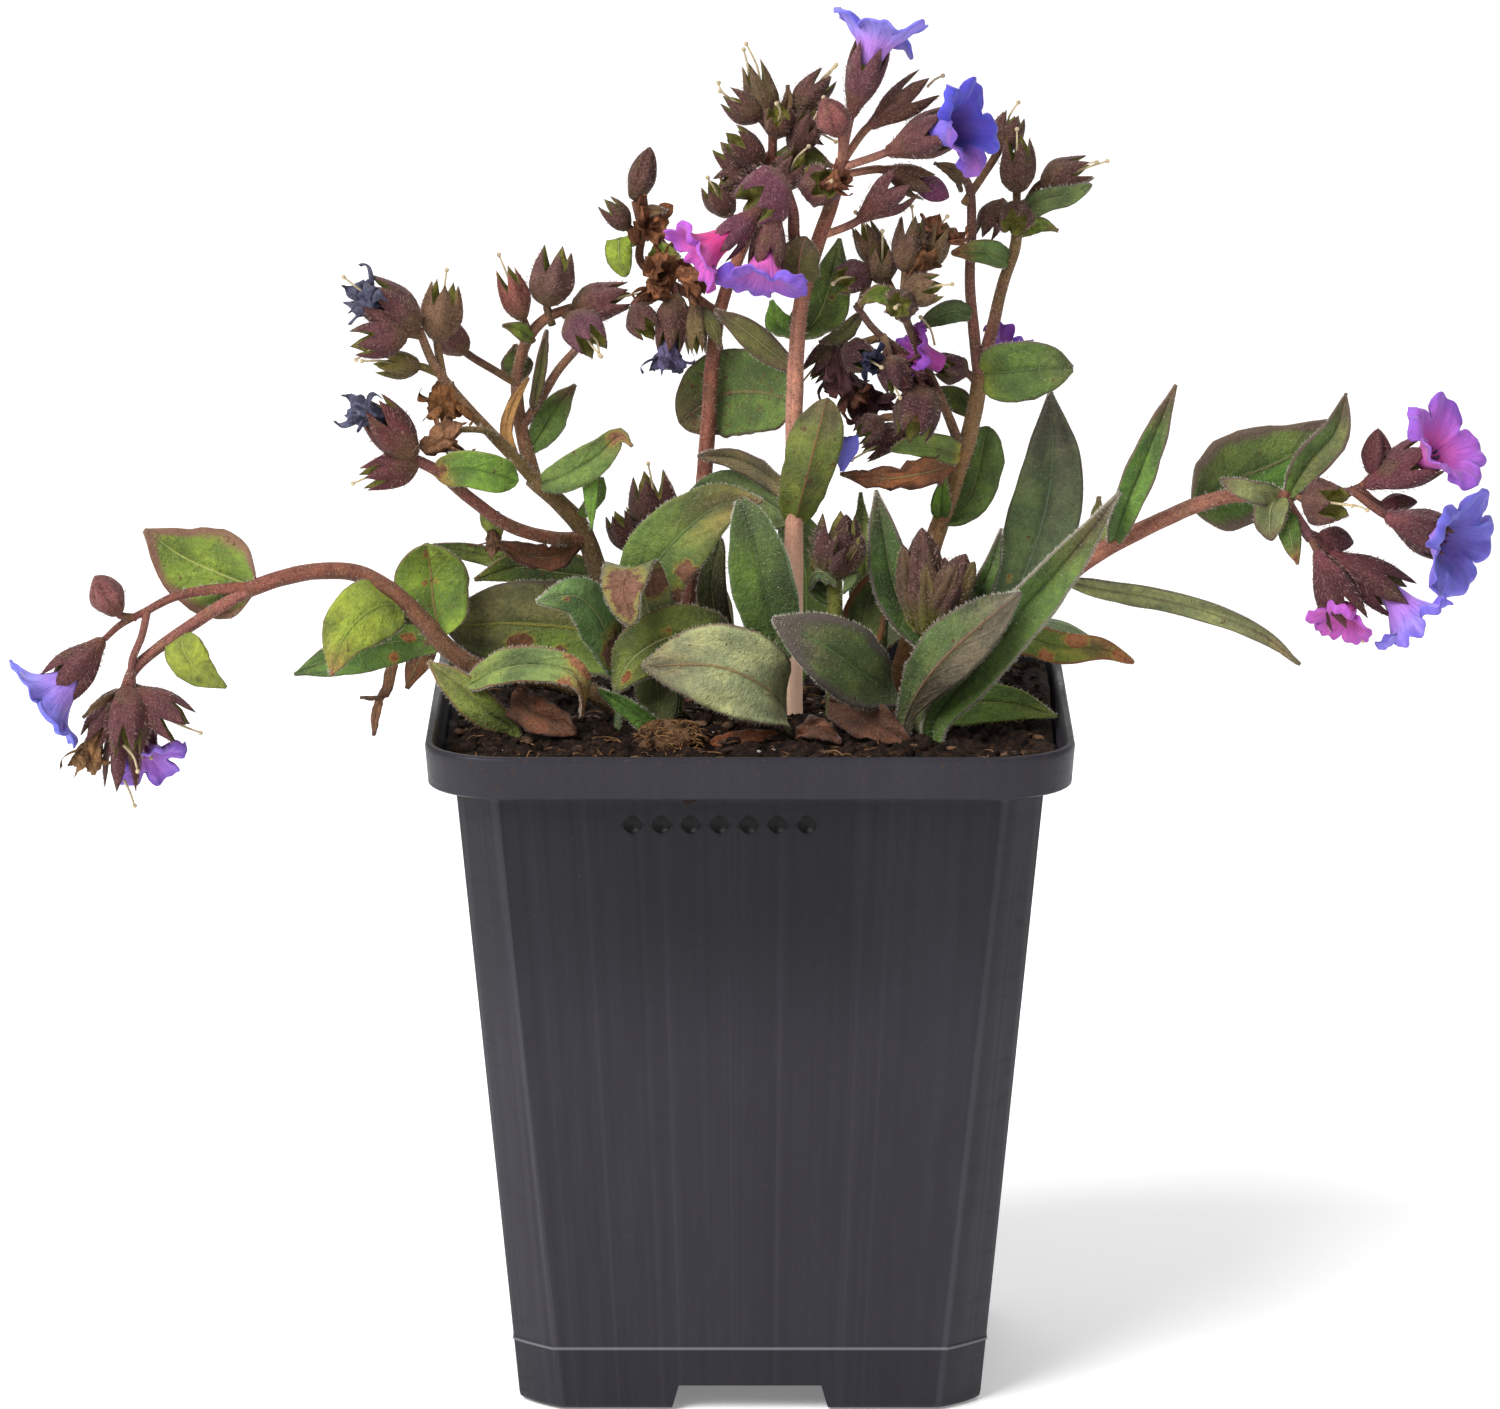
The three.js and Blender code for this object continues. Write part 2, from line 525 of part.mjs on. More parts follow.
function tallStem() {
  const plant = plantNode("tall_stem");
  plant.stem([[6, 92, -3], [6, 104, -4], [6.2, 116, -4], [6.2, 130, -4], [6.4, 142, -4],
    [7.2, 152, -3], [9, 159, -2], [11.4, 166, -1], [13, 172.4, -1]], 3, 1.9, true);
  plant.stem([[7.4, 155.6, -3], [6.3, 161, -4], [6, 165, -5], [4.8, 169, -6]], 1.9, 1.5);
  plant.bell([12.8, 171.6, -1], [14, 178, -2], [17.3, 189.4, -3.4], 5.8);
  plant.bud([13, 171.8, -1], [12.8, 175.8, -4], [10.2, 181, -6], 5);
  plant.bell([13, 171.8, -1], [16.4, 176.8, 0], [25.6, 183.2, 2], 5.6);
  plant.bell([13, 171, -1], [18.8, 173.2, -2], [28.6, 177.4, -4], 6.8);
  plant.bell([12.8, 170, -1], [18.4, 171, 1], [25.4, 168.6, 4], 4.8);
  plant.bell([10.2, 161.4, -1.6], [15, 163.6, -1], [22.3, 169.8, 0], 6);
  plant.calyx([11.8, 167, -1], [8.6, 168.2, -2.4], [11.2, 169.2, -7.6], 6.2);
  plant.withered([9.8, 168.7, -4.8], [14.4, 169.8, -8.2], 3.4);
  plant.calyx(null, [5.6, 170, -6.2], [-0.8, 165.4, -10.6], 8.4);
  plant.bell([5.6, 166.8, -5.8], [1.6, 165.8, -9], [-5.2, 159.2, -12], 5);
  plant.bell([5.4, 167.4, -6], [3.6, 166, -8], [2, 156, -11], 5.6);
  plant.leaf([[7, 154.8, -4], [6.8, 157, -6], [7.2, 159.4, -6.6], [7.8, 161.4, -6]],
    5.6, "round", [-1, 0, 0], 0.15);
  plant.leaf([[7.2, 147, -3], [9.6, 150, 0], [11.2, 154.6, 1.6], [12.6, 161.2, 2]],
    7.4, "ovate", [1, 0, 0], 0.2);
  plant.leaf([[6, 147, -3], [4, 149, -1], [3, 152.4, 0]], 4, "small", [1, 0, 0], 0.2);
  plant.leaf([[5.6, 142.4, -3.4], [2.6, 145.4, -2], [-1, 148.4, -0.6], [-5, 151, 1]],
    4.2, "lance", [0.5, 0, 1], 0.2);
  plant.leaf([[5.6, 138.4, -3.4], [0.6, 139.4, 4], [-4.6, 138.6, 10], [-9.9, 135, 12]],
    12.4, "round", [0, 0.2, 1], 0.12, 0.02);
  plant.leaf([[6.6, 120, -5], [7.8, 126.4, -8], [9.6, 133.6, -9], [10.9, 138.4, -6]],
    7.8, "round", [-1, 0, 0], 0.25);
  plant.leaf([[5.6, 124.2, -3.6], [1.6, 128, 0], [-2.6, 129.9, 2], [-7.4, 130.2, 3]],
    3.4, "strap", [0, 0, 1], 0.3);
  plant.leaf([[5.4, 121, -3.6], [0.4, 124.6, 2], [-4.6, 126, 3.6], [-9.6, 124, 4]],
    6.2, "ovate", [0, 0.2, 1], 0.2);
}

function rightUprightStem() {
  const plant = plantNode("right_upright_stem");
  plant.stem([[20, 94, 8], [22.8, 104, 8], [25.4, 116, 7], [27.8, 123.6, 6.6], [29.8, 129.6, 6.4],
    [31.3, 135, 6.2], [32.4, 141.8, 6.5]], 3.2, 2.3, true);
  plant.stem([[32.3, 141, 6.4], [31.5, 148, 8], [30.9, 155, 9], [31.1, 163, 10], [30.7, 168.6, 10],
    [28.6, 171.4, 9]], 1.7, 1.2);
  plant.stem([[32.4, 141.4, 6.4], [34.2, 149, 10], [35.6, 155, 12], [37.2, 159.8, 13],
    [37.6, 164.4, 14]], 1.9, 1.5);
  plant.stem([[30, 130.4, 6.2], [27.5, 137, 3], [25, 142.4, 1], [22.6, 148, -1], [21.2, 151.6, -2]],
    1.5, 1.1);
  plant.stem([[25.2, 142.2, 1], [21.5, 145, 0.4], [17.5, 148.2, 0], [14.8, 151.8, 1]], 1.2, 1);
  plant.leaf([[32.6, 141.6, 5.4], [37, 142.2, 3], [41.4, 142.7, 2], [45.5, 142.6, 2]],
    8.7, "ovate", [0, 0, -1], 0.15, 0.02);
  plant.leaf([[29.4, 120, 7.6], [30.8, 124, 9], [32.4, 129.4, 10], [33.4, 134.4, 10]],
    7, "round", [1, 0, 0], 0.15);
  plant.leaf([[36, 158.2, 12], [32.6, 159.4, 7.4], [28.3, 159.2, 6.4]], 3.6, "strap", [0, 0, 1], 0.2);
  plant.leaf([[31.4, 150.2, 8], [28.6, 150.9, 5.6], [26, 150, 4.6], [23.4, 148.2, 4.2]],
    3.5, "lance", [0, 0, 1], 0.25);
  plant.leaf([[30.9, 136, 6.8], [28.6, 138.8, 9], [26.6, 140, 10]], 3.6, "small", [1, 0, 0.7]);
  plant.leaf([[30, 129.8, 5], [26.6, 131.4, 1], [23, 131.8, 0], [19.8, 131, -1]],
    3.9, "strap", [0, 0, 1], 0.2, 0.04);
  plant.leaf([[30, 129.2, 5], [25.6, 128, 0], [19, 127, -2.4], [12.7, 127.6, -3]],
    4, "lance", [0, 0.1, 1], 0.1, 0.06);
  plant.leaf([[26.6, 120.6, 5], [27, 124, 2.6], [27.4, 127.6, 2.4]], 3, "small", [1, 0, 0], 0.2);
  plant.calyx([31.4, 166.6, 10], [34.8, 173.6, 14], [37, 179, 15], 5);
  plant.calyx([37.4, 163, 13.6], [37.4, 167.6, 13], [37.4, 175.9, 11], 5.4);
  plant.calyx([37.5, 163.6, 14], [40.6, 168.8, 14], [48, 171.4, 14], 5.4);
  plant.calyx([37.4, 162.4, 13.6], [37.6, 165.6, 12], [37, 162.6, 6.6], 5.4);
  plant.calyx([37, 163.6, 13.6], [35, 166.6, 12], [32.8, 161, 12], 4);
  plant.leaf([[37.6, 164, 13], [41.4, 166.6, 11.4], [45, 167.4, 11], [47.9, 168.9, 11]],
    3.4, "strap", [0, 0, -1], 0.2);
  plant.leaf([[37.6, 161.4, 13], [40.4, 163.2, 12], [43.3, 162.3, 12]], 2.6, "small", [0, 0, -1]);
  plant.leaf([[30.8, 168.2, 9.6], [28.6, 170.6, 8], [25.8, 171.9, 7.4]], 2.2, "small", [0, 0, 1]);
  plant.calyx([14.9, 150.8, 1], [16.8, 156.6, 2], [12.4, 155, -2], 5);
  plant.calyx([14.9, 151.4, 1], [18.6, 154.8, 2], [18.6, 160.6, 0], 5);
  plant.calyx([21.3, 151, -1.8], [21.8, 156.4, -1], [22.6, 164.6, 1], 5);
  plant.withered([22, 155.6, -0.8], [25.8, 160.8, 0], 4);
  plant.calyx([21.3, 151, -1.8], [21.2, 153.2, -3], [27, 154.4, -5], 5);
  plant.calyx([21.6, 150.2, -1.6], [21.8, 152, -4], [20.6, 151.4, -9], 5);
  plant.leaf([[20.6, 152.4, -1.6], [18, 153.4, -3], [15.3, 151.8, -3.6]], 2.8, "small", [0, 0, 1]);
  plant.leaf([[15.2, 150.2, 0.6], [12.6, 147.4, -1], [9.7, 146.4, -1]], 2.8, "small", [0, 0, 1]);
  plant.calyx([31.2, 140.6, 6.4], [30.4, 142.2, 4.4], [26.2, 143.4, 0.4], 4.6);
  plant.calyx([18.6, 147.2, 0], [19.6, 144.6, -3], [21, 139.2, -5], 5);
  plant.calyx([25.8, 140.6, 1.4], [24.4, 140.4, -2], [22.6, 132.4, -6], 6.8);
  plant.calyx([18.6, 147.2, 0], [13.4, 145.4, 0], [17.4, 143.4, -5], 5);
  plant.withered([15.6, 144.4, -3], [18.6, 143, -6], 3.8);
  plant.withered([12.6, 146, 0], [12.6, 137.4, -1], 4.6);
  plant.withered([12.8, 142.6, 0], [16, 136.6, 0], 4.2);
  plant.calyx([24.2, 135.6, -3.4], [18.6, 135.6, -2], [15.2, 132.6, -4], 3.8);
}

function rightTrailingStem() {
  const plant = plantNode("right_trailing_stem");
  plant.stem([[25, 92.8, 1], [33, 101, 1], [40, 108.6, 0], [45, 113.2, -1], [50, 116.8, -2],
    [56, 119.9, -3], [62, 122.7, -4], [68, 124.5, -4], [76, 124.4, -4]], 3.2, 2, true);
  plant.stem([[75, 124.5, -4], [80, 125.9, -2.4], [84, 124.9, -3], [86.6, 125.8, -4]], 1.7, 1.3);
  plant.stem([[75.4, 124.2, -4], [77, 121.6, -5], [79.4, 118.2, -6]], 1.8, 1.6);
  plant.leaf([[51.4, 116.6, -4], [52.6, 121.6, -6], [56, 130.4, -7], [60, 140.4, -6]],
    5, "lance", [1, 0, -0.3], 0.5);
  plant.leaf([[50, 117.2, -1.6], [49.2, 120.4, 0], [49.3, 124.4, 1]], 2.6, "small", [1, 0, 0]);
  plant.leaf([[44.4, 112, -1], [50, 111, 1], [58, 109.6, 1], [66, 107.4, 0], [73, 104.2, -1],
    [78, 100.2, -2]], 3.2, "strap", [0, 0, -1], 0.3);
  plant.leaf([[62.6, 122.8, -3.4], [68, 126.4, 0], [76, 130, 1], [83.4, 135.5, 0]],
    13.4, "ovate", [0.2, 0, -1], 0.1, 0.015);
  plant.leaf([[76, 125, -4.6], [79, 129.4, -6], [82.4, 133.4, -7], [84, 139.2, -6]],
    5.4, "lance", [0.7, 0, -0.7], 0.4);
  plant.leaf([[75, 124.8, -5], [71.4, 125, -7.4], [66.4, 126.8, -7.4]], 3.2, "strap", [0, 0, 1], 0.3);
  plant.leaf([[74.6, 124.6, -5.4], [73.4, 121.8, -7.6], [73.6, 118.1, -8]], 5, "strap", [-1, 0, 0.2],
    0.3);
  plant.leaf([[75.6, 123.6, -4.8], [76.2, 119.6, -7.4], [77.4, 114.6, -8]], 3.4, "lance", [1, 0, 0],
    0.3);
  plant.calyx([77, 124.8, -3.8], [78.6, 123.8, -6], [83.8, 123.2, -11.6], 6.8);
  plant.bud([86.2, 125.6, -4], [88, 127.4, -3.4], [88.6, 134.3, -3], 4.8);
  plant.bell(null, [86.8, 125, -4], [97.2, 130.6, -5.4], 7.2);
  plant.bell([84.6, 124.8, -3], [89.6, 121.8, -5], [99.2, 117.6, -6], 6.8);
  plant.bud([86, 124.2, -3.6], [89, 123.2, -2], [94.3, 123.6, 0], 3);
  plant.bell([79, 118.8, -5.8], [80, 117, -7], [85.4, 105.6, -8], 6.6);
  plant.bell([79.2, 118.6, -5.8], [81.6, 116.6, -5], [93, 109.2, -4], 7);
  plant.bud([78.6, 119.4, -5.6], [80.4, 118.6, -4.4], [85.4, 117.8, -3], 3.8);
}

function shoots() {
  const bud = plantNode("front_bud_shoot");
  bud.stem([[24.6, 95.6, -9], [25.4, 100.6, -10], [25.4, 105, -10]], 3, 2.6, true);
  bud.bud(null, [25, 104, -10], [24.2, 120, -12], 6.8);
  bud.bud(null, [26, 105, -10.6], [30.6, 116.2, -14], 6.4);
  bud.leaf([[26, 103.4, -9], [31, 108.4, -10], [34, 114, -10], [35.5, 119.8, -9]],
    3.4, "lance", [1, 0, -0.5], 0.4);
  bud.leaf([[24.6, 102.4, -9.6], [21, 109.6, -9], [19, 118, -8], [17.8, 125.3, -7]],
    6.6, "lance", [1, 0, 0.3], 0.5);
  const hairy = plantNode("hairy_bud");
  hairy.stem([[12, 95, -5], [12, 104, -7], [12, 113.4, -8]], 2.6, 2.2, true);
  hairy.calyx(null, [11.6, 112.4, -8], [12.4, 122, -9.6], 7.2);
  hairy.calyx(null, [12, 112.6, -9], [14.2, 118.4, -13.4], 5);
  hairy.leaf([[12.6, 113, -9], [14.2, 113, -11], [13.2, 110.4, -12]], 2.4, "small", [1, 0, 0.6]);
  hairy.leaf([[11.4, 108.6, -8], [8.8, 112, -8], [10, 113.6, -10.6], [12.4, 111.6, -11]],
    2.6, "strap", [0.3, 0.5, 1], 0.2);
}

// Leaves that rise from the soil by themselves
function basalLeaf(node, points, width, form, across, fold = 0.25, wave = 0.02) {
  plantNode(node).leaf(points, width, form, across, fold, wave, true);
}

function basalLeaves() {
  basalLeaf("broad_left_leaf", [[-15.6, 97.6, 9], [-20.4, 104, 6], [-31, 106, 5], [-43, 105.8, 5]],
    12.8, "round", [0, 0.1, 1], 0.1);
  const rim = plantNode("left_rim_leaf");
  rim.leaf([[-33.4, 90.4, -7], [-37.5, 93.4, -9], [-41, 96.8, -9], [-45.6, 100.6, -8]],
    5.2, "basal", [0.7, 0, 0.7], 0.25, 0.02, true);
  rim.leaf([[-40, 97, -9.4], [-35, 99.6, -12], [-29, 100, -15], [-24.6, 98.4, -17], [-23.9, 92.6, -17]],
    5.2, "strap", [0.1, 0.4, 1], -0.3, 0.03);
  basalLeaf("pale_bent_leaf", [[5.2, 90.6, -13], [3.2, 95.8, -18], [-4, 99.8, -21], [-15.3, 100, -20]],
    12.6, "basal", [0.3, 0.2, 1], 0.15);
  basalLeaf("dark_front_leaf", [[21.6, 94, -10], [16, 98.8, -17], [10, 103.2, -21], [3.2, 106.8, -21]],
    10.4, "basal", [0.4, 0.25, 0.9], 0.12);
  basalLeaf("long_folded_leaf", [[26, 91.8, -13], [31, 98.6, -14], [38, 107.4, -13], [45, 115.6, -10],
    [52.2, 125, -8]], 8, "lance", [0.7, 0.1, -0.7], 0.55);
  basalLeaf("grey_front_leaf", [[21.8, 91.6, -15], [26, 99.4, -19], [32, 105.4, -19],
    [38.3, 110.6, -17]],
    8.6, "basal", [-0.7, 0, 0.7], 0.2);
  basalLeaf("low_right_leaf", [[27, 92.4, -8], [31, 94.4, -8], [37.6, 94.4, -8], [43.6, 92.6, -8]],
    6, "lance", [0, -0.2, -1], 0.1);
  basalLeaf("brown_tipped_leaf", [[31, 98.4, 7], [37, 104, 7], [44, 102.6, 8], [50, 102.4, 9],
    [54.4, 100.4, 9]],
    5, "strap", [0, -0.1, -1], 0.2, 0.05);
  basalLeaf("big_grey_leaf", [[31, 98, 12], [36.4, 108, 12], [40.6, 118, 12], [42.6, 128, 12],
    [42.4, 139.4, 11]],
    10.4, "basal", [1, 0, -0.1], 0.15);
  basalLeaf("upright_hairy_leaf", [[2.4, 96, -8], [3.4, 104, -9.6], [1.6, 113, -11], [0, 120, -11],
    [-1.6, 124.6, -8]],
    9.2, "basal", [1, 0, 0.1], 0.25);
  basalLeaf("brown_patched_leaf", [[-11, 96, -3], [-13.4, 107, -5], [-13.6, 113.6, -7],
    [-9.2, 119.4, -8.6], [-4, 123.2, -9], [1.8, 123.8, -8]], 10.4, "basal", [0.75, -0.15, -0.6], 0.15);
  basalLeaf("spotted_small_leaf", [[-18.6, 94.6, -7], [-20.4, 105, -9], [-24.4, 110, -12],
    [-30.2, 109.2, -13]],
    7.2, "basal", [0.2, 0.25, 1], -0.15);
  basalLeaf("drooping_leaf", [[-13, 95, -9], [-14.6, 109, -9], [-16.8, 114, -12], [-18, 110.6, -16],
    [-16.6, 105.8, -17]],
    7.4, "round", [1, 0, 0.1], -0.2);
  basalLeaf("yellow_low_leaf", [[-3, 96.6, -5], [-4, 103, -8], [-10.4, 104.4, -11], [-16.6, 101, -13],
    [-19.2, 96.4, -13]], 8.6, "round", [0.1, 0.3, 1], -0.15);
  basalLeaf("small_soil_leaf", [[-14, 90.6, -12], [-17, 93.6, -13], [-21.6, 96.6, -13]],
    3, "strap", [0.5, 0, 1], 0.3);
  basalLeaf("brown_edged_leaf", [[14, 96, -2], [15.4, 104, -4], [17, 110, -4], [19.4, 115, -3]],
    6.4, "basal", [1, 0, -0.3], 0.2);
  basalLeaf("green_upright_leaf", [[17, 98, 2], [16.8, 108, 1], [16, 117, 0], [15.6, 125, 1]],
    5.6, "lance", [1, 0, 0], 0.3);
  basalLeaf("dark_back_leaf", [[-2, 96, 6], [-4.8, 106.6, 4], [-5.4, 112, 3], [-4.2, 118.6, 3]],
    4.4, "round", [1, 0, 0], 0.2);
  basalLeaf("back_left_leaf", [[-10, 96, 20], [-20, 107, 28], [-30, 110, 34], [-38, 108, 38]],
    11, "basal", [0.4, 0.9, 0.3], 0.2);
  basalLeaf("back_leaf", [[-3, 96, 22], [-8, 110, 31], [-11, 116, 38], [-13, 114, 43]],
    10, "basal", [1, 0, 0.1], -0.15);
  basalLeaf("back_upright_leaf", [[6, 96, 16], [8, 108, 22], [7, 118, 27], [4, 124, 30]],
    9, "basal", [-1, 0.2, 0], 0.25);
  basalLeaf("back_right_leaf", [[14, 97, 20], [20, 107, 29], [27, 110, 36], [33, 107, 42]],
    11, "basal", [0.8, -0.6, 0], -0.15);
  basalLeaf("back_side_leaf", [[24, 98, 20], [33, 105, 25], [43, 106, 28], [53, 101, 30]],
    8, "basal", [0, -1, -0.2], -0.2);
}

// Dead leaves that lie on the soil
function dryLeaf(node, points, width, form, across, fold, wave) {
  plantNode(node).leaf(points, width, form, across, fold, wave);
}

function dryLeaves() {
  dryLeaf("dry_leaf_left", [[-33, 96.6, -6], [-31, 93.4, -10], [-28, 92, -12], [-24.6, 90.2, -14]],
    5.6, "strap", [0.3, 0.2, 1], -0.4, 0.06);
  dryLeaf("dry_leaf_right", [[11.4, 95, -11], [15, 93.4, -14], [19, 91, -16], [23.4, 88.4, -17]],
    6.4, "ovate", [0.4, 0.3, 1], -0.25, 0.05);
  dryLeaf("dry_leaf_front", [[-5.6, 88.9, -18], [-1, 89.6, -18], [4, 90.2, -16]],
    2.2, "strap", [0, 0.5, 1], 0.2, 0.03);
  dryLeaf("dry_leaf_curl", [[6.6, 89.6, -16], [9.4, 90.9, -17], [13, 88.8, -18]],
    3.4, "small", [0.2, 0.4, 1], -0.4, 0.06);
}

function flower(node, throat, centre, width, turn, rises) {
  plantNode(node).flower(throat, centre, width, turn, rises);
}

function flowers() {
  flower("left_blue_flower", [-95.4, 98.6, -3.8], [-100.6, 94.6, -4.8], 15.4, 0.05,
    [0.6, 0.4, 0.8, 0.2, 0.5]);
  flower("left_violet_flower", [-87.2, 90.2, 3.4], [-85.2, 85.4, 0.4], 11.4, 0, [0.4, 0, 0.6, 0, 0.4]);
  flower("hanging_pink_flower", [-2.6, 161.8, -11], [-7.8, 158.6, -12.6], 11.2, 0.1,
    [0.8, 0.4, 0.6, 0.6, 0.8]);
  flower("hanging_violet_flower", [2.4, 159.4, -9.8], [1.6, 154, -12], 13.8, 0.05,
    [-0.6, 0.2, -0.4, -0.8, 0.1]);
  flower("top_flower", [16.6, 185.6, -3.2], [18, 191.4, -2.4], 13.6, 0.1, [-0.6, 2, 0.2, 1.7, -1.6]);
  flower("upper_blue_flower", [25.6, 176, -3.6], [30.9, 177, -6.8], 14, 0.05, [0.5, 0.2, 0.8, 0.3, 0.6]);
  flower("middle_violet_flower", [26.8, 143.4, 0], [22.4, 145.6, -2], 8.4, 0, [0.2, 0.4, 0, 0.3, 0.2]);
  flower("right_pink_flower", [94.8, 129.2, -4.8], [98.6, 132.2, -7.6], 14.8, 0.05,
    [0.4, 0.8, 0.2, 1, 0.4]);
  flower("right_blue_flower", [96, 119, -5.6], [100.6, 117.2, -9], 16.8, 0.1, [0.4, 0.9, 0.3, 0.5, 0.8]);
  flower("low_pink_flower", [84.6, 108.6, -7.6], [83.6, 105.8, -9.6], 10, 0.1, [0.8, 0.3, 0.6, 0.8, 0.4]);
  flower("low_violet_flower", [90.2, 111, -4.2], [94.4, 105.8, -5.4], 12.6, 0, [0.6, 0.2, 0.8, 0.4, 0.6]);
  const bud = plantNode("purple_bud");
  bud.bud(null, [23.2, 169.2, 3.2], [28, 167, 5], 3.8);
  const half = plantNode("blue_petal");
  half.leaf([[14.2, 131.4, -4], [13.8, 133, -5], [12.9, 128, -6.4]], 3.8, "small", [1, 0, 0.4], 0.3);
}

// The pot: chamfered below, with rounded corners at the rim
function squareRing(half, corner, round, z) {
  const points = [];
  for (let quarter = 0; quarter < 4; quarter += 1) {
    for (let step = 0; step < 4; step += 1) {
      const t = step / 3;
      const angle = (quarter + t) * Math.PI / 2;
      const arc = new THREE.Vector2(Math.cos(angle), Math.sin(angle)).multiplyScalar(corner);
      const cutStart = new THREE.Vector2(corner, 0).rotateAround(new THREE.Vector2(),
        quarter * Math.PI / 2);
      const cutEnd = new THREE.Vector2(0, corner).rotateAround(new THREE.Vector2(),
        quarter * Math.PI / 2);
      const flat = cutStart.lerp(cutEnd, t);
      const signs = [[1, 1], [-1, 1], [-1, -1], [1, -1]][quarter];
      const centre = new THREE.Vector2(signs[0], signs[1]).multiplyScalar(half - corner);
      const place = flat.lerp(arc, round).add(centre);
      points.push(new THREE.Vector3(place.x, place.y, z));
    }
  }
  return points;
}

const wallAt = (z) => THREE.MathUtils.lerp(bodyBaseHalf, bodyTopHalf, z / (potHeight - rimBand));

function potOuter(grow) {
  const rimFoot = potHeight - rimBand;
  return loft([
    squareRing(bodyBaseHalf - 0.6 + grow, 5.6, 0.3, -grow),
    squareRing(wallAt(0.9) + grow, 5.6, 0, 0.9),
    squareRing(wallAt(rimFoot - 0.3) + grow, 6, 0, rimFoot - 0.3 - grow),
    squareRing(rimHalf - 0.5 + grow, 11, 0.9, rimFoot - grow),
    squareRing(rimHalf + grow, 12, 1, potHeight - 0.5),
    squareRing(rimHalf - 0.4 + grow, 11.6, 1, potHeight + grow),
  ]);
}

function potInner(grow, floor, top) {
  const rimFoot = potHeight - rimBand;
  return loft([
    squareRing(wallAt(floor) - potWall - grow, 5, 0, floor),
    squareRing(wallAt(rimFoot - 1) - potWall - grow, 5.4, 0, rimFoot - 1 - grow),
    squareRing(rimHalf - 1.9 - grow, 10.4, 0.9, rimFoot + 0.6 - grow),
    squareRing(rimHalf - 1.3 - grow, 10.8, 1, top),
  ]);
}

// Two channels cross under the base and leave four feet at its corners
function channels(wide, height, reach) {
  const profile = [
    [-channelBaseHalf - wide, -1],
    [channelBaseHalf + wide, -1],
    [channelTopHalf + wide, height],
    [-channelTopHalf - wide, height],
  ];
  const bar = (turned) => loft([-reach, reach].map((run) => profile.map(([x, z]) => (
    turned ? new THREE.Vector3(x, run, z) : new THREE.Vector3(run, -x, z)))));
  return bar(true).add(bar(false));
}

function makePot() {
  const floor = potWall;
  const cavity = potInner(0, floor, potHeight + 1).subtract(channels(potWall, footHeight + potWall,
    60));
  let pot = potOuter(0).subtract(channels(0, footHeight, 60)).subtract(cavity);
  for (const [x, y] of [[0, 0], [20, 0], [-20, 0], [0, 20], [0, -20]]) {
    const drain = [0, 8].map((z) => ringAt(new THREE.Vector3(x, y, z), up, new THREE.Vector3(1, 0, 0),
      drainRadius, 8));
    pot = pot.subtract(loft(drain));
  }
  return largest(pot);
}

function potKeepOut() {
  const top = potHeight + clearance + 1;
  return potOuter(clearance).subtract(potInner(clearance, 40, top));
}

// The soil fills the pot to a few millimetres below the rim, heaped to the back right
function soilLevel(x, y) {
  const crown = 2.4 * Math.exp(-((x - 2) ** 2 + (y - 2) ** 2) / 520);
  const heap = 4.6 * Math.exp(-((x - 38) ** 2 + (y - 16) ** 2) / 330);
  const lumps = 0.55 * Math.sin(x * 0.31 + 1) * Math.sin(y * 0.27) + 0.4 * Math.sin(x * 0.7 + y * 0.5);
  return potHeight - soilDepthBelowRim - 1.4 + crown + heap + lumps;
}

function makeSoil() {
  const gap = clearance;
  const rimFoot = potHeight - rimBand;
  const floor = footHeight + potWall + gap;
  const rings = [
    squareRing(wallAt(floor) - potWall - gap, 5, 0, floor),
    squareRing(wallAt(rimFoot - 1) - potWall - gap * 1.2, 5.4, 0, rimFoot - 1),
    squareRing(rimHalf - 1.9 - gap * 1.2, 10.4, 0.9, rimFoot + 0.6 + gap),
  ];
  for (const share of [1, 0.78, 0.54, 0.3, 0.12]) {
    const ring = squareRing((rimHalf - 1.8 - gap * 1.2) * share, 10.4 * share, 0.9, 0);
    rings.push(ring.map((p) => new THREE.Vector3(p.x, p.y, soilLevel(p.x, p.y))));
  }
  return loft(rings);
}

// Each piece gives way to the stems, flowers and leaves of other nodes that stand before it
function fitTogether() {
  const order = [...growths].sort((a, b) => a.rank - b.rank);
  const potSpace = potKeepOut();
  const nodes = new Map();
  order.forEach((piece, index) => {
    let body = piece.body;
    if (overlaps(body, potSpace)) body = body.subtract(potSpace);
    for (const other of order.slice(0, index)) {
      if (other.node !== piece.node && overlaps(body, other.keepOut)) {
        body = body.subtract(other.keepOut);
      }
    }
    if (!nodes.has(piece.node)) nodes.set(piece.node, []);
    nodes.get(piece.node).push(largest(body));
  });
  return nodes;
}

function overlaps(a, b) {
  const first = a.boundingBox();
  const second = b.boundingBox();
  return [0, 1, 2].every((i) => first.min[i] < second.max[i] && second.min[i] < first.max[i]);
}

function meshOf(name, shape, material) {
  const { vertProperties, triVerts, numProp } = shape.getMesh();
  const geometry = new THREE.BufferGeometry();
  const places = new Float32Array(vertProperties.length / numProp * 3);
  for (let i = 0; i < vertProperties.length / numProp; i += 1) {
    places.set(vertProperties.slice(i * numProp, i * numProp + 3), i * 3);
  }
  geometry.setAttribute("position", new THREE.BufferAttribute(places, 3));
  geometry.setIndex(new THREE.BufferAttribute(new Uint32Array(triVerts), 1));
  geometry.computeVertexNormals();
  const mesh = new THREE.Mesh(geometry, material);
  mesh.name = name;
  return mesh;
}

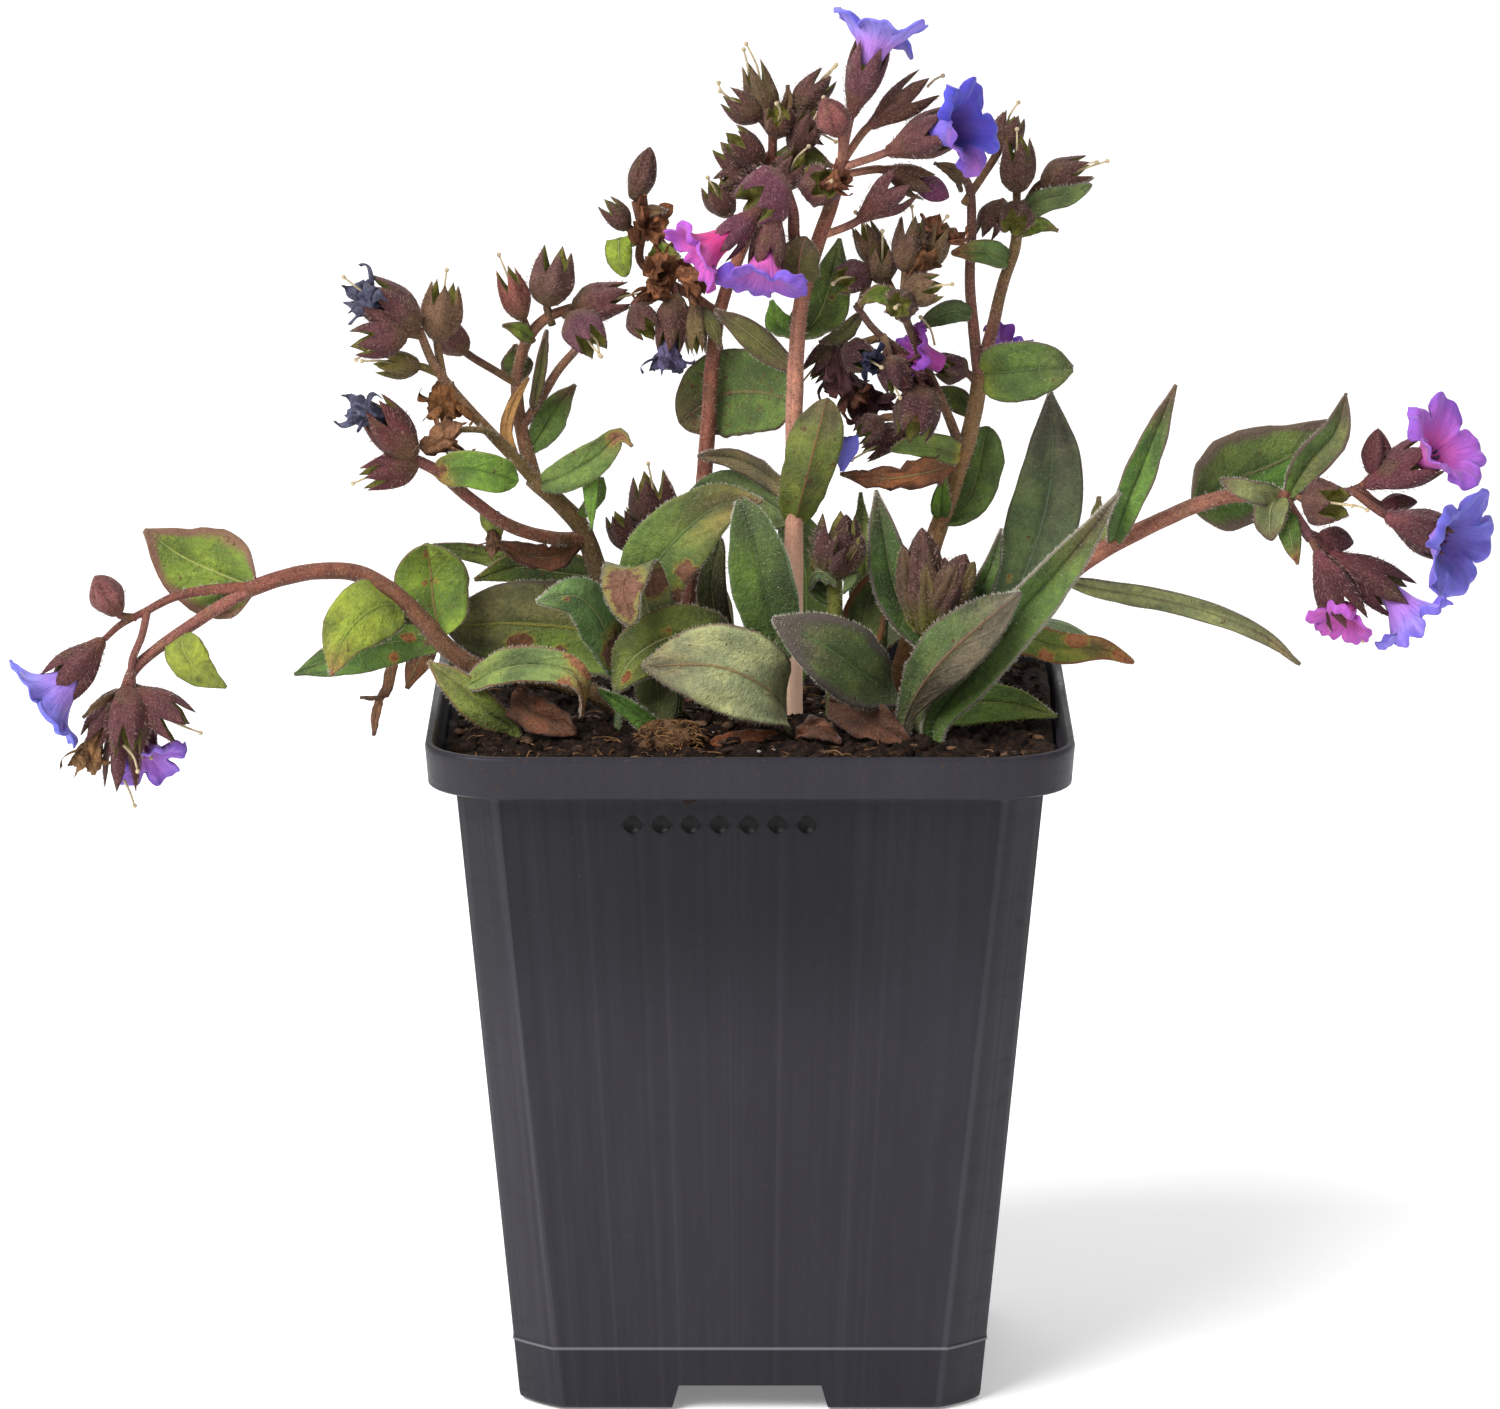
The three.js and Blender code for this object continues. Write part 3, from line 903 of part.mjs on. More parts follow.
const finish = (color, roughness) => () => new THREE.MeshStandardMaterial({ color, roughness,
  metalness: 0 });
const potPlastic = finish(0x46464b, 0.45);
const peat = finish(0x2c2018, 0.95);
const stemFlesh = finish(0x7a5546, 0.7);
const leafFlesh = finish(0x5f7a35, 0.75);
const dryFlesh = finish(0x6b4529, 0.85);
const bluePetal = finish(0x6a63c9, 0.6);
const pinkPetal = finish(0xb45cb8, 0.6);

function finishOf(node) {
  if (node.startsWith("dry_")) return dryFlesh();
  if (/pink|purple/.test(node)) return pinkPetal();
  if (/flower|petal/.test(node)) return bluePetal();
  if (/stem|bud/.test(node)) return stemFlesh();
  return leafFlesh();
}

flowers();
leftTrailingStem();
leftMiddleStem();
backMiddleStem();
tallStem();
rightUprightStem();
rightTrailingStem();
shoots();
basalLeaves();
dryLeaves();

const nodes = fitTogether();
const group = new THREE.Group();
group.add(meshOf("pot", makePot(), potPlastic()));

let soil = makeSoil();
for (const piece of growths) {
  if (overlaps(soil, piece.keepOut)) soil = soil.subtract(piece.keepOut);
}
group.add(meshOf("potting_soil", largest(soil), peat()));

const plantGroup = new THREE.Group();
for (const [node, bodies] of nodes) {
  plantGroup.add(meshOf(node, largest(wasm.Manifold.union(bodies)), finishOf(node)));
}
group.add(plantGroup);

export default group;
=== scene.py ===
import math
import random
import bpy
from mathutils import Matrix, Vector, noise


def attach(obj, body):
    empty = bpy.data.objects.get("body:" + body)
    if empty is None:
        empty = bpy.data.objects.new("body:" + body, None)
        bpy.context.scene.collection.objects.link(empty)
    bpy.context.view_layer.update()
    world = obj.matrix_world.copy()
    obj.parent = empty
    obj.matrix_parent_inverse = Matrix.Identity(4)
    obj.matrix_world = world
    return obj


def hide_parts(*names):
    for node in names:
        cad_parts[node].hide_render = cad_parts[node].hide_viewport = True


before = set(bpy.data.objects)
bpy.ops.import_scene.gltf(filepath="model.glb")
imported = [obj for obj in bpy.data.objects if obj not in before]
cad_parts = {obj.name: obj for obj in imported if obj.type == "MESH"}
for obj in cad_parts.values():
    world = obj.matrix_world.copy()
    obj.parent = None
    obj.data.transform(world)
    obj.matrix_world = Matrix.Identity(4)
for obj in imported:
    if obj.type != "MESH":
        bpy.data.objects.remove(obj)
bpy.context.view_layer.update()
bpy.ops.object.select_all(action="DESELECT")

mm = 0.001
up = Vector((0, 0, 1))
eyeBack = 1273.9  # the eye stands this far in front of the pot's middle, in mm
eyeUp = 353.6
weldGap = 0.001 * mm


def seen(point):  # x and z as they look from in front, y the depth, all in mm
    x, z, y = point
    reach = 1 + y / eyeBack
    return Vector((x * reach, y, eyeUp + (z - eyeUp) * reach)) * mm


def tint(red, green, blue):  # a colour as a paint chart gives it, 0 to 255, made linear
    return tuple((c / 255 / 12.92) if c < 11 else ((c / 255 + 0.055) / 1.055) ** 2.4
                 for c in (red, green, blue)) + (1,)


def smooth(low, high, value):
    t = min(1, max(0, (value - low) / (high - low)))
    return t * t * (3 - 2 * t)


def curveAt(rows, t):  # a smooth curve through a short list of [place, value] rows
    i = next((k for k in range(1, len(rows)) if t <= rows[k][0]), len(rows) - 1)
    (a, low), (b, high) = rows[i - 1], rows[i]
    part = min(1, max(0, (t - a) / (b - a)))
    rate = (high - low) / (b - a)
    before = (high - rows[i - 2][1]) / (b - rows[i - 2][0]) if i > 1 else rate
    after = (rows[i + 1][1] - low) / (rows[i + 1][0] - a) if i + 1 < len(rows) else rate
    return low * (2 * part ** 3 - 3 * part ** 2 + 1) + high * (3 * part ** 2 - 2 * part ** 3) \
        + before * (b - a) * (part ** 3 - 2 * part ** 2 + part) + after * (b - a) * (part ** 3 - part ** 2)


def spoke(angle):
    return Vector((math.cos(angle), math.sin(angle), 0))


class Path:  # a smooth line through the points, read by its share of the length
    def __init__(self, points):
        points = [points[0] * 2 - points[1]] + list(points) + [points[-1] * 2 - points[-2]]
        self.spots = []
        for a, b, c, d in zip(points, points[1:], points[2:], points[3:]):
            steps = [max((q - p).length, 1e-6) ** 0.5 for p, q in ((a, b), (b, c), (c, d))]
            out = ((b - a) / steps[0] - (c - a) / (steps[0] + steps[1]) + (c - b) / steps[1]) * steps[1]
            come = ((c - b) / steps[1] - (d - b) / (steps[1] + steps[2]) + (d - c) / steps[2]) * steps[1]
            for i in range(10):
                t = i / 10
                self.spots.append(b * (2 * t ** 3 - 3 * t * t + 1) + out * (t ** 3 - 2 * t * t + t)
                                  + c * (3 * t * t - 2 * t ** 3) + come * (t ** 3 - t * t))
        self.spots.append(points[-2])
        self.run = [0]
        for p, q in zip(self.spots, self.spots[1:]):
            self.run.append(self.run[-1] + (q - p).length)
        self.length = self.run[-1]

    def at(self, share):
        goal = min(1, max(0, share)) * self.length
        i = next((k for k in range(1, len(self.run)) if self.run[k] >= goal), len(self.run) - 1)
        part = (goal - self.run[i - 1]) / max(self.run[i] - self.run[i - 1], 1e-9)
        return self.spots[i - 1].lerp(self.spots[i], part)

    def heading(self, share):
        near = 0.02
        return (self.at(share + near) - self.at(share - near)).normalized()


print("tools for the maker: sheets, copies and paint")


def sheet(name, columns, rows, place):  # a grid, its points moved to place(u, v) in metres
    bpy.ops.mesh.primitive_grid_add(x_subdivisions=columns, y_subdivisions=rows, size=1)
    piece = bpy.context.object
    piece.name = name
    for point in piece.data.vertices:
        point.co = place(point.co.x + 0.5, point.co.y + 0.5)
    return piece


def pick(piece):
    bpy.ops.object.select_all(action="DESELECT")
    bpy.context.view_layer.objects.active = piece
    piece.select_set(True)


def tidyFaces(piece, outward=True):  # merged points, and outward faces
    pick(piece)
    bpy.ops.object.mode_set(mode="EDIT")
    bpy.ops.mesh.select_all(action="SELECT")
    bpy.ops.mesh.remove_doubles(threshold=weldGap)
    if outward:
        bpy.ops.mesh.normals_make_consistent(inside=False)
    bpy.ops.object.mode_set(mode="OBJECT")


def finishWith(piece, kind, **settings):  # a modifier, set and applied
    pick(piece)
    modifier = piece.modifiers.new(kind.title(), kind)
    for key, value in settings.items():
        setattr(modifier, key, value)
    bpy.ops.object.modifier_apply(modifier=modifier.name)


def copyOf(master, name, matrix=None):  # a copy with its own mesh, set in place
    piece = bpy.data.objects.new(name, master.data.copy())
    bpy.context.collection.objects.link(piece)
    if matrix is not None:
        piece.data.transform(matrix)
    return piece


def joined(name, pieces):
    bpy.ops.object.select_all(action="DESELECT")
    for piece in pieces:
        piece.select_set(True)
    bpy.context.view_layer.objects.active = pieces[0]
    if len(pieces) > 1:
        bpy.ops.object.join()
    piece = bpy.context.view_layer.objects.active
    piece.name = name
    piece.data.name = name
    bpy.ops.object.select_all(action="DESELECT")
    return piece


def stand(piece, node, hides=True):
    for face in piece.data.polygons:
        face.use_smooth = True
    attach(piece, "root")
    if hides:
        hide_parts(node)
    return piece


def mark(piece, name, value):  # one colour or number for the whole mesh, or one per point
    many = isinstance(value, list)
    first = value[0] if many else value
    kind = "FLOAT" if isinstance(first, (int, float)) else "FLOAT_COLOR"
    layer = piece.data.attributes.new(name, kind, "POINT")
    for i, spot in enumerate(layer.data):
        if kind == "FLOAT":
            spot.value = value[i] if many else value
        else:
            spot.color = value[i] if many else value


class Wire:  # a node's socket, which sums can be written with
    def __init__(self, paint, socket):
        self.paint = paint
        self.socket = socket

    def sum(self, operation, first, second):
        return self.paint.node("ShaderNodeMath", {"operation": operation}, {0: first, 1: second})

    def __add__(self, other):
        return self.sum("ADD", self, other)

    def __radd__(self, other):
        return self.sum("ADD", other, self)

    def __sub__(self, other):
        return self.sum("SUBTRACT", self, other)

    def __rsub__(self, other):
        return self.sum("SUBTRACT", other, self)

    def __mul__(self, other):
        return self.sum("MULTIPLY", self, other)

    def __rmul__(self, other):
        return self.sum("MULTIPLY", other, self)

    def __pow__(self, other):
        return self.sum("POWER", self, other)

    def __mod__(self, other):
        return self.sum("MODULO", self, other)

    def __lt__(self, other):
        return self.sum("LESS_THAN", self, other)

    def __abs__(self):
        return self.sum("ABSOLUTE", self, 0)


class Paint:  # one material and the nodes that are wired into its shader
    def __init__(self, name, **constants):
        self.material = bpy.data.materials.new(name)
        self.material.use_nodes = True
        self.tree = self.material.node_tree
        self.shader = self.tree.nodes["Principled BSDF"]
        for key, value in constants.items():
            self.shader.inputs[key.replace("_", " ")].default_value = value

    def node(self, kind, settings=None, inputs=None, output=0):
        made = self.tree.nodes.new(kind)
        for key, value in (settings or {}).items():
            if key == "stops":
                for place, colour in value[2:]:
                    made.color_ramp.elements.new(place)
                for element, (place, colour) in zip(made.color_ramp.elements, sorted(value)):
                    element.position = place
                    element.color = colour
            else:
                setattr(made, key, value)
        for key, value in (inputs or {}).items():
            if isinstance(value, Wire):
                self.tree.links.new(value.socket, made.inputs[key])
            else:
                made.inputs[key].default_value = value
        return Wire(self, made.outputs[output])

    def feed(self, key, wire):
        self.tree.links.new(wire.socket, self.shader.inputs[key])

    def place(self, scale=(1, 1, 1), turn=(0, 0, 0), source="Object"):
        spot = self.node("ShaderNodeTexCoord", output=source)
        return self.node("ShaderNodeMapping", {}, {"Vector": spot, "Scale": scale, "Rotation": turn})

    def noise(self, perMetre, detail=4, rough=0.6, where=None, warp=0):
        return self.node("ShaderNodeTexNoise", {}, {
            "Vector": where or self.place(), "Scale": perMetre, "Detail": detail,
            "Roughness": rough, "Distortion": warp})

    def attribute(self, name, colour=False):
        return self.node("ShaderNodeAttribute", {"attribute_name": name}, output="Color" if colour else "Fac")

    def across(self, axis):  # the piece's own UV map, U or V
        spot = self.node("ShaderNodeTexCoord", output="UV")
        return self.node("ShaderNodeSeparateXYZ", {}, {0: spot}, axis)

    def step(self, wire, low, high):
        return self.node("ShaderNodeMapRange", {"interpolation_type": "SMOOTHSTEP"},
                         {"Value": wire, "From Min": low, "From Max": high})

    def mix(self, factor, first, second, how="MIX"):
        return self.node("ShaderNodeMix", {"data_type": "RGBA", "blend_type": how},
                         {"Factor": factor, 6: first, 7: second}, 2)

    def dim(self, factor, colour, by):  # or brightened, where the tone is over 1
        return self.mix(factor, colour, by + (1,), "MULTIPLY")

    def bump(self, height, depth, strength=1):
        self.feed("Normal", self.node("ShaderNodeBump", {}, {
            "Height": height, "Distance": depth, "Strength": strength}))


print("the finishes")


def leafPaint(name, tone, veinShare, pale):
    # the blade: mottled green, pale veins from the sheet's own map, a thin margin, patches and rust
    paint = Paint(name, Specular_IOR_Level=0.28, Sheen_Weight=0.04, Sheen_Roughness=0.6)
    cloud = paint.noise(230, 3)
    side = abs((paint.across(0) - 0.5) * 2)
    run = paint.across(1) * 7 - side * 1.5
    ladder = paint.node("ShaderNodeMath", {"operation": "PINGPONG"}, {0: run, 1: 0.5})
    rungs = (1 - paint.step(ladder + (cloud - 0.5) * 0.5, 0.0, 0.12)) * (1 - paint.step(side, 0.6, 0.9))
    rib = 1 - paint.step(side, 0.02, 0.07)
    # the band along the midrib's groove, which is darkened below as painted shade
    groove = (1 - paint.step(side, 0.06, 0.3)) * 0.5
    grain = paint.noise(1500, 3, 0.7)
    fine = paint.noise(4300, 2)
    colour = paint.attribute(tone, True)
    colour = paint.dim(paint.step(cloud, 0.36, 0.62) * 0.7, colour, (0.6, 0.62, 0.56))
    colour = paint.dim(paint.step(cloud, 0.6, 0.36) * 0.5, colour, (1.3, 1.2, 0.86))
    # darker along the midrib's groove: painted shade
    colour = paint.dim(groove, colour, (0.62, 0.66, 0.6))
    colour = paint.dim(paint.step(grain, 0.46, 0.72) * 0.55, colour, (1.45, 1.42, 1.3))
    colour = paint.dim(paint.step(grain, 0.5, 0.34) * 0.5, colour, (0.62, 0.6, 0.6))
    colour = paint.mix(paint.step(fine, 0.55, 0.66) * pale, colour, tint(206, 206, 176))
    colour = paint.mix(rungs * veinShare, colour, paint.attribute("veinTone", True))
    colour = paint.mix(rib * 0.7, colour, paint.attribute("veinTone", True))
    margin = paint.step(paint.attribute("edgeMask") + (grain - 0.5) * 0.5 + (cloud - 0.5) * 0.7, 0.4, 0.9)
    colour = paint.mix(margin * 0.9, colour, paint.attribute("edgeTone", True))
    spread = paint.attribute("patchMask") + (cloud - 0.5) * 1.5 + (grain - 0.5) * 0.7
    halo = paint.step(spread, 0.02, 0.26)
    burn = paint.step(spread, 0.24, 0.36)
    colour = paint.mix(halo * 0.55, colour, tint(150, 132, 52))
    burnt = paint.dim(paint.step(grain, 0.4, 0.66), paint.attribute("patchTone", True), (0.5, 0.44, 0.4))
    colour = paint.mix(burn * 0.92, colour, burnt)
    specks = paint.step(paint.noise(1000, 2, where=paint.place(turn=(0.4, 0.9, 0.2)))
                        + paint.attribute("rust") * 0.16, 0.72, 0.77)
    colour = paint.mix(specks * 0.8, colour, tint(84, 48, 30))
    paint.feed("Base Color", colour)
    paint.feed("Roughness", 0.46 + grain * 0.28 + burn * 0.15)
    paint.bump(rungs * 0.2 + rib * 0.4 + grain * 1.1 + fine * 0.6 + cloud * 0.6, 0.0004, 0.75)
    return paint.material


def fleshPaint():  # stems, stalks and calyces: streaked, under a fine silvery down
    # the emission is painted light, a glow on pale flesh, which is no lamp
    paint = Paint("fleshSkin", Emission_Strength=0.22, Specular_IOR_Level=0.2, Sheen_Weight=0.05,
                  Sheen_Roughness=0.5)
    grain = paint.noise(1500, 4, 0.65)
    fine = paint.noise(3900, 3, 0.7)
    cloud = paint.noise(330, 3)
    streak = paint.noise(1, 3, 0.6, where=paint.place((18, 2.2, 1), source="UV"))
    tone = paint.attribute("tone", True)
    # a stem's bleached foot; below, pale flesh is also made to glow, which is painted light
    pale = paint.step(paint.node("ShaderNodeSeparateColor", {}, {0: tone}), 0.5, 0.85)
    colour = paint.mix(paint.step(streak, 0.5, 0.36) * 0.5, tone, (0.6, 0.5, 0.5, 1), "MULTIPLY")
    colour = paint.dim(paint.step(cloud, 0.4, 0.62) * 0.55, colour, (0.66, 0.62, 0.68))
    colour = paint.dim(paint.step(cloud, 0.5, 0.3) * 0.4, colour, (1.3, 1.12, 0.96))
    moss = paint.noise(260, 3, where=paint.place(turn=(0.7, 0.2, 1.1)))
    colour = paint.mix(paint.step(moss, 0.54, 0.66) * 0.3, colour, tint(86, 84, 42))
    colour = paint.dim(paint.step(streak, 0.5, 0.7) * 0.45, colour, (1.35, 1.26, 1.12))
    colour = paint.dim(paint.step(grain, 0.5, 0.64) * 0.55, colour, (0.5, 0.42, 0.46))
    colour = paint.mix(paint.step(fine, 0.55, 0.63) * 0.2, colour, tint(180, 140, 126))
    colour = paint.dim(paint.step(fine, 0.48, 0.38) * 0.7, colour, (0.42, 0.34, 0.36))
    colour = paint.mix(pale * 0.55, colour, tone)
    paint.feed("Base Color", colour)
    paint.feed("Emission Color", paint.mix(pale, (0, 0, 0, 1), tone))  # painted light: pale flesh glows, to lighten it where the leaves shade it
    paint.feed("Roughness", 0.55 + grain * 0.3)
    paint.bump(streak * 0.8 + grain * 0.8 + fine * 0.8, 0.0003, 0.7)
    return paint.material


def witheredPaint():  # dead corollas: papery folds
    paint = Paint("driedSkin", Specular_IOR_Level=0.15)
    grain = paint.noise(1500, 5, 0.7)
    cloud = paint.noise(420, 3)
    folds = paint.noise(900, 3, 0.6, where=paint.place((1, 1, 0.35)), warp=1.2)
    colour = paint.attribute("tone", True)
    colour = paint.dim(paint.step(cloud, 0.4, 0.62) * 0.75, colour, (0.42, 0.4, 0.42))
    # the folds' crests painted lighter and their hollows darker: painted highlight and painted shade
    colour = paint.dim(paint.step(folds, 0.5, 0.62) * 0.6, colour, (1.6, 1.45, 1.25))
    colour = paint.dim(paint.step(folds, 0.48, 0.36) * 0.7, colour, (0.4, 0.36, 0.34))
    colour = paint.dim(paint.step(grain, 0.5, 0.66) * 0.6, colour, (0.45, 0.4, 0.38))
    paint.feed("Base Color", colour)
    paint.feed("Roughness", 0.7 + grain * 0.25)
    paint.bump(folds + grain * 0.6, 0.0006, 0.9)
    return paint.material


def petalPaint(name, tone):  # corollas: colour from the maker's own tones, fine veins running outwards
    paint = Paint(name, Specular_IOR_Level=0.25, Sheen_Weight=0.12, Sheen_Roughness=0.4,
                  Subsurface_Weight=0.1, Subsurface_Scale=0.002)
    grain = paint.noise(2100, 3)
    cloud = paint.noise(380, 3)
    veins = paint.noise(1, 3, 0.6, where=paint.place((54, 2.4, 1), source="UV"), warp=0.5)
    colour = paint.attribute(tone, True)
    colour = paint.mix(paint.step(veins, 0.48, 0.66) * 0.42, colour, paint.attribute("veinTone", True))
    colour = paint.dim(paint.step(veins, 0.48, 0.34) * 0.4, colour, (1.25, 1.25, 1.12))
    colour = paint.dim(paint.step(cloud, 0.42, 0.64) * 0.5, colour, (0.72, 0.66, 0.86))
    colour = paint.dim(paint.step(grain, 0.5, 0.7) * 0.35, colour, (1.3, 1.3, 1.16))
    paint.feed("Base Color", colour)
    paint.feed("Roughness", 0.45 + grain * 0.25)
    paint.bump(veins + grain * 0.5 + cloud * 0.8, 0.0003, 0.6)
    return paint.material


def hairPaint(name, dark, light):  # bristles and down
    paint = Paint(name, Specular_IOR_Level=0.3, Roughness=0.5)
    colour = paint.mix(paint.noise(300, 2), dark, light)
    paint.feed("Base Color", colour)
    return paint.material


pot = {
    "rimTop": 96, "rimBand": 6, "bodyTopHalf": 40.7, "bodyBaseHalf": 32.4, "wall": 1.2, "footHeight": 3.5,
    "channelTop": 10, "channelBase": 11.25, "drain": 3.2, "drainSpread": 20, "seamHeight": 9,
    "dimples": 7, "dimpleSize": 1.8, "dimpleHeight": 85.6, "firstDimple": -16.2, "dimplePitch": 4,
    "dimpleOut": 1.25,
}
rimFoot = pot["rimTop"] - pot["rimBand"]


def potPaint():  # thin blown plastic: a satin skin with flow streaks, scuffs and dust
    paint = Paint("potPlastic", Specular_IOR_Level=0.2)
    streak = paint.noise(60, 4, where=paint.place((9, 9, 0.35)))
    broad = paint.noise(22, 3, where=paint.place((3, 3, 0.6)))
    grain = paint.noise(2600, 3, 0.6)
    scuffs = paint.noise(190, 5, 0.75, where=paint.place((0.6, 0.6, 3), (0.1, 0.2, 0)), warp=0.8)
    dust = paint.noise(1500, 3, 0.7)
    x, y, height = [paint.node("ShaderNodeSeparateXYZ", {}, {0: paint.place()}, axis) for axis in range(3)]
    near = paint.step(height, 0.086, 0.096)  # dirt lies by the rim
    body = 1 - paint.step(height, 0.0888, 0.0898)
    lean = (0.0324 + height * 0.0922) ** -1  # flow lines lean in with the walls
    flutes = paint.noise(22, 3, where=paint.node("ShaderNodeCombineXYZ", {}, {0: x * lean, 1: y * lean}))
    under = paint.step(height, 0.066, 0.089) * body
    edge = 0.0264 + height * 0.1  # where the corners are cut off
    # a painted highlight along the edges of the cut corners
    edgeHighlights = [1 - paint.step(abs(abs(axis) - edge), 0.0001, 0.0007) for axis in (x, y)]
    ridge = body * (edgeHighlights[0] + edgeHighlights[1])
    pitch, count = pot["dimplePitch"] * mm, pot["dimples"]  # painted shade in the sink marks
    first = pot["firstDimple"] * mm
    dimpleShade = abs((x - first + pitch * 50.5) % pitch - pitch / 2) + abs(height - pot["dimpleHeight"] * mm) * 1.1
    row = abs(x - (first + pitch * (count - 1) / 2)) < pitch * count / 2
    dimpleShade = paint.step(dimpleShade, 0.0022, 0.0013) * row * (y < -0.03)
    colour = paint.mix(paint.step(streak, 0.35, 0.7) * 0.6, tint(39, 37, 44), tint(45, 43, 50))
    colour = paint.mix(paint.step(broad, 0.4, 0.65) * 0.5, colour, tint(34, 32, 39))
    colour = paint.mix(paint.step(flutes, 0.46, 0.6) * (0.22 + under * 0.34) * body, colour, tint(26, 25, 30))
    colour = paint.mix(paint.step(flutes, 0.45, 0.34) * 0.22 * body, colour, tint(62, 60, 66))
    # the painted highlight on the corners' edges
    colour = paint.mix(ridge * 0.4, colour, tint(70, 68, 74))
    colour = paint.mix(paint.step(scuffs, 0.62, 0.74) * 0.1, colour, tint(96, 92, 98))
    # a painted shadow under the rim, deepest in the middle of the front
    middle = 1 - paint.step(abs(x), 0.008, 0.03)
    paintedShade = paint.step(height, 0.048, 0.076) * (1 - paint.step(height, 0.0885, 0.09))
    seam = pot["seamHeight"] * mm
    seamLine = paint.step(height, seam - 0.0003, seam - 0.0001) \
        * (1 - paint.step(height, seam + 0.0001, seam + 0.0003))
    # painted shadow below the rim, darker towards the middle
    colour = paint.dim(paintedShade * (0.65 + middle * 0.3), colour, (0.34, 0.34, 0.38))
    colour = paint.dim(1 - paint.step(height, 0.0085, 0.0095), colour, (0.76, 0.75, 0.78))
    # the sink marks painted near black: painted shade in their hollows
    colour = paint.mix(dimpleShade, colour, tint(3, 3, 4))
    colour = paint.mix(seamLine * 0.5, colour, tint(130, 128, 132))
    crumbs = paint.step(dust + near * 0.07, 0.7, 0.74)
    colour = paint.mix(crumbs * 0.85, colour, tint(66, 47, 35))
    paint.feed("Base Color", colour)
    paint.feed("Roughness", 0.4 + paint.step(scuffs, 0.5, 0.7) * 0.15 + grain * 0.08 + crumbs * 0.3)
    paint.bump(streak * 0.3 + flutes * 0.5 + grain * 0.2 + scuffs * 0.1 + crumbs * 0.8, 0.0003, 0.3)
    return paint.material


def peatPaint():  # damp peat, coarse and fibrous
    paint = Paint("peat", Specular_IOR_Level=0.2)
    grain = paint.noise(1000, 6, 0.75)
    clumps = paint.noise(240, 4)
    strands = paint.noise(700, 4, 0.6, where=paint.place((1, 0.2, 1), (0.3, 0.5, 0.8)), warp=1.5)
    colour = paint.node("ShaderNodeValToRGB", {"stops": [
        (0.34, tint(15, 10, 7)), (0.48, tint(42, 28, 20)), (0.6, tint(72, 49, 34)),
        (0.74, tint(118, 84, 58))]}, {"Fac": grain})
    colour = paint.dim(paint.step(clumps, 0.4, 0.62) * 0.7, colour, (0.42, 0.38, 0.36))
    colour = paint.mix(paint.step(strands, 0.64, 0.7) * 0.5, colour, tint(112, 80, 52))
    paint.feed("Base Color", colour)
    paint.feed("Roughness", 0.8 + grain * 0.18)
    paint.bump(grain + clumps * 0.7 + strands * 0.4, 0.0014, 1)
    return paint.material


def fleckPaint(name, dark, light, scale):  # fibres, bark and grit
    paint = Paint(name, Specular_IOR_Level=0.25)
    grain = paint.noise(scale, 4, 0.7)
    tone = paint.noise(scale * 0.2, 2)
    colour = paint.mix(paint.step(tone, 0.35, 0.65), dark, light)
    colour = paint.dim(paint.step(grain, 0.4, 0.65) * 0.6, colour, (0.55, 0.52, 0.5))
    paint.feed("Base Color", colour)
    paint.feed("Roughness", 0.7 + grain * 0.25)
    paint.bump(grain, 0.0003, 0.6)
    return paint.material


leafTop = leafPaint("leafTop", "leafTone", 0.04, 0.1)
leafUnder = leafPaint("leafUnder", "underTone", 0.1, 0.12)
fleshSkin = fleshPaint()
driedSkin = witheredPaint()
petalBack = petalPaint("petalBack", "petalTone")
petalFace = petalPaint("petalFace", "innerTone")
bristles = hairPaint("bristles", tint(176, 168, 150), tint(222, 218, 204))
down = hairPaint("down", tint(150, 112, 104), tint(196, 164, 156))
potPlastic = potPaint()
peat = peatPaint()
fibre = fleckPaint("fibre", tint(86, 58, 36), tint(142, 104, 66), 1500)
bark = fleckPaint("bark", tint(46, 30, 21), tint(112, 82, 58), 1100)
grit = fleckPaint("grit", tint(140, 136, 128), tint(206, 202, 194), 1600)


print("masters: one calyx, one bud, one dead corolla, one bristle")

random.seed(23)
noise.seed_set(23)


def coat(piece, *materials):
    for material in materials:
        piece.data.materials.append(material)
    return piece


def repeated(name, master, matrices):  # one mesh of many small copies of a master
    count = len(master.data.vertices)
    spots = [point.co for point in master.data.vertices]
    points = [matrix @ spot for matrix in matrices for spot in spots]
    faces = [[i + k * count for i in face.vertices] for k in range(len(matrices))
             for face in master.data.polygons]
    mesh = bpy.data.meshes.new(name)
    mesh.from_pydata(points, [], faces)
    piece = bpy.data.objects.new(name, mesh)
    bpy.context.collection.objects.link(piece)
    return coat(piece, *master.data.materials)


def away(master):  # a master isn't part of the plant
    bpy.data.objects.remove(master, do_unlink=True)


bpy.ops.mesh.primitive_cone_add(vertices=3, radius1=1, depth=1, location=(0, 0, 0.5))
bristle = coat(bpy.context.object, bristles)
bristle.data.transform(Matrix.Translation((0, 0, 0.5)))
bristle.location = (0, 0, 0)

bristleWidth = 0.034 * mm


def bristleAt(root, lean, length):
    turn = up.rotation_difference(lean).to_matrix().to_4x4()
    wide = bristleWidth * random.uniform(0.8, 1.2)
    return Matrix.Translation(root - lean * 0.12 * mm) @ turn \
        @ Matrix.Diagonal((wide, wide, length + 0.12 * mm, 1))


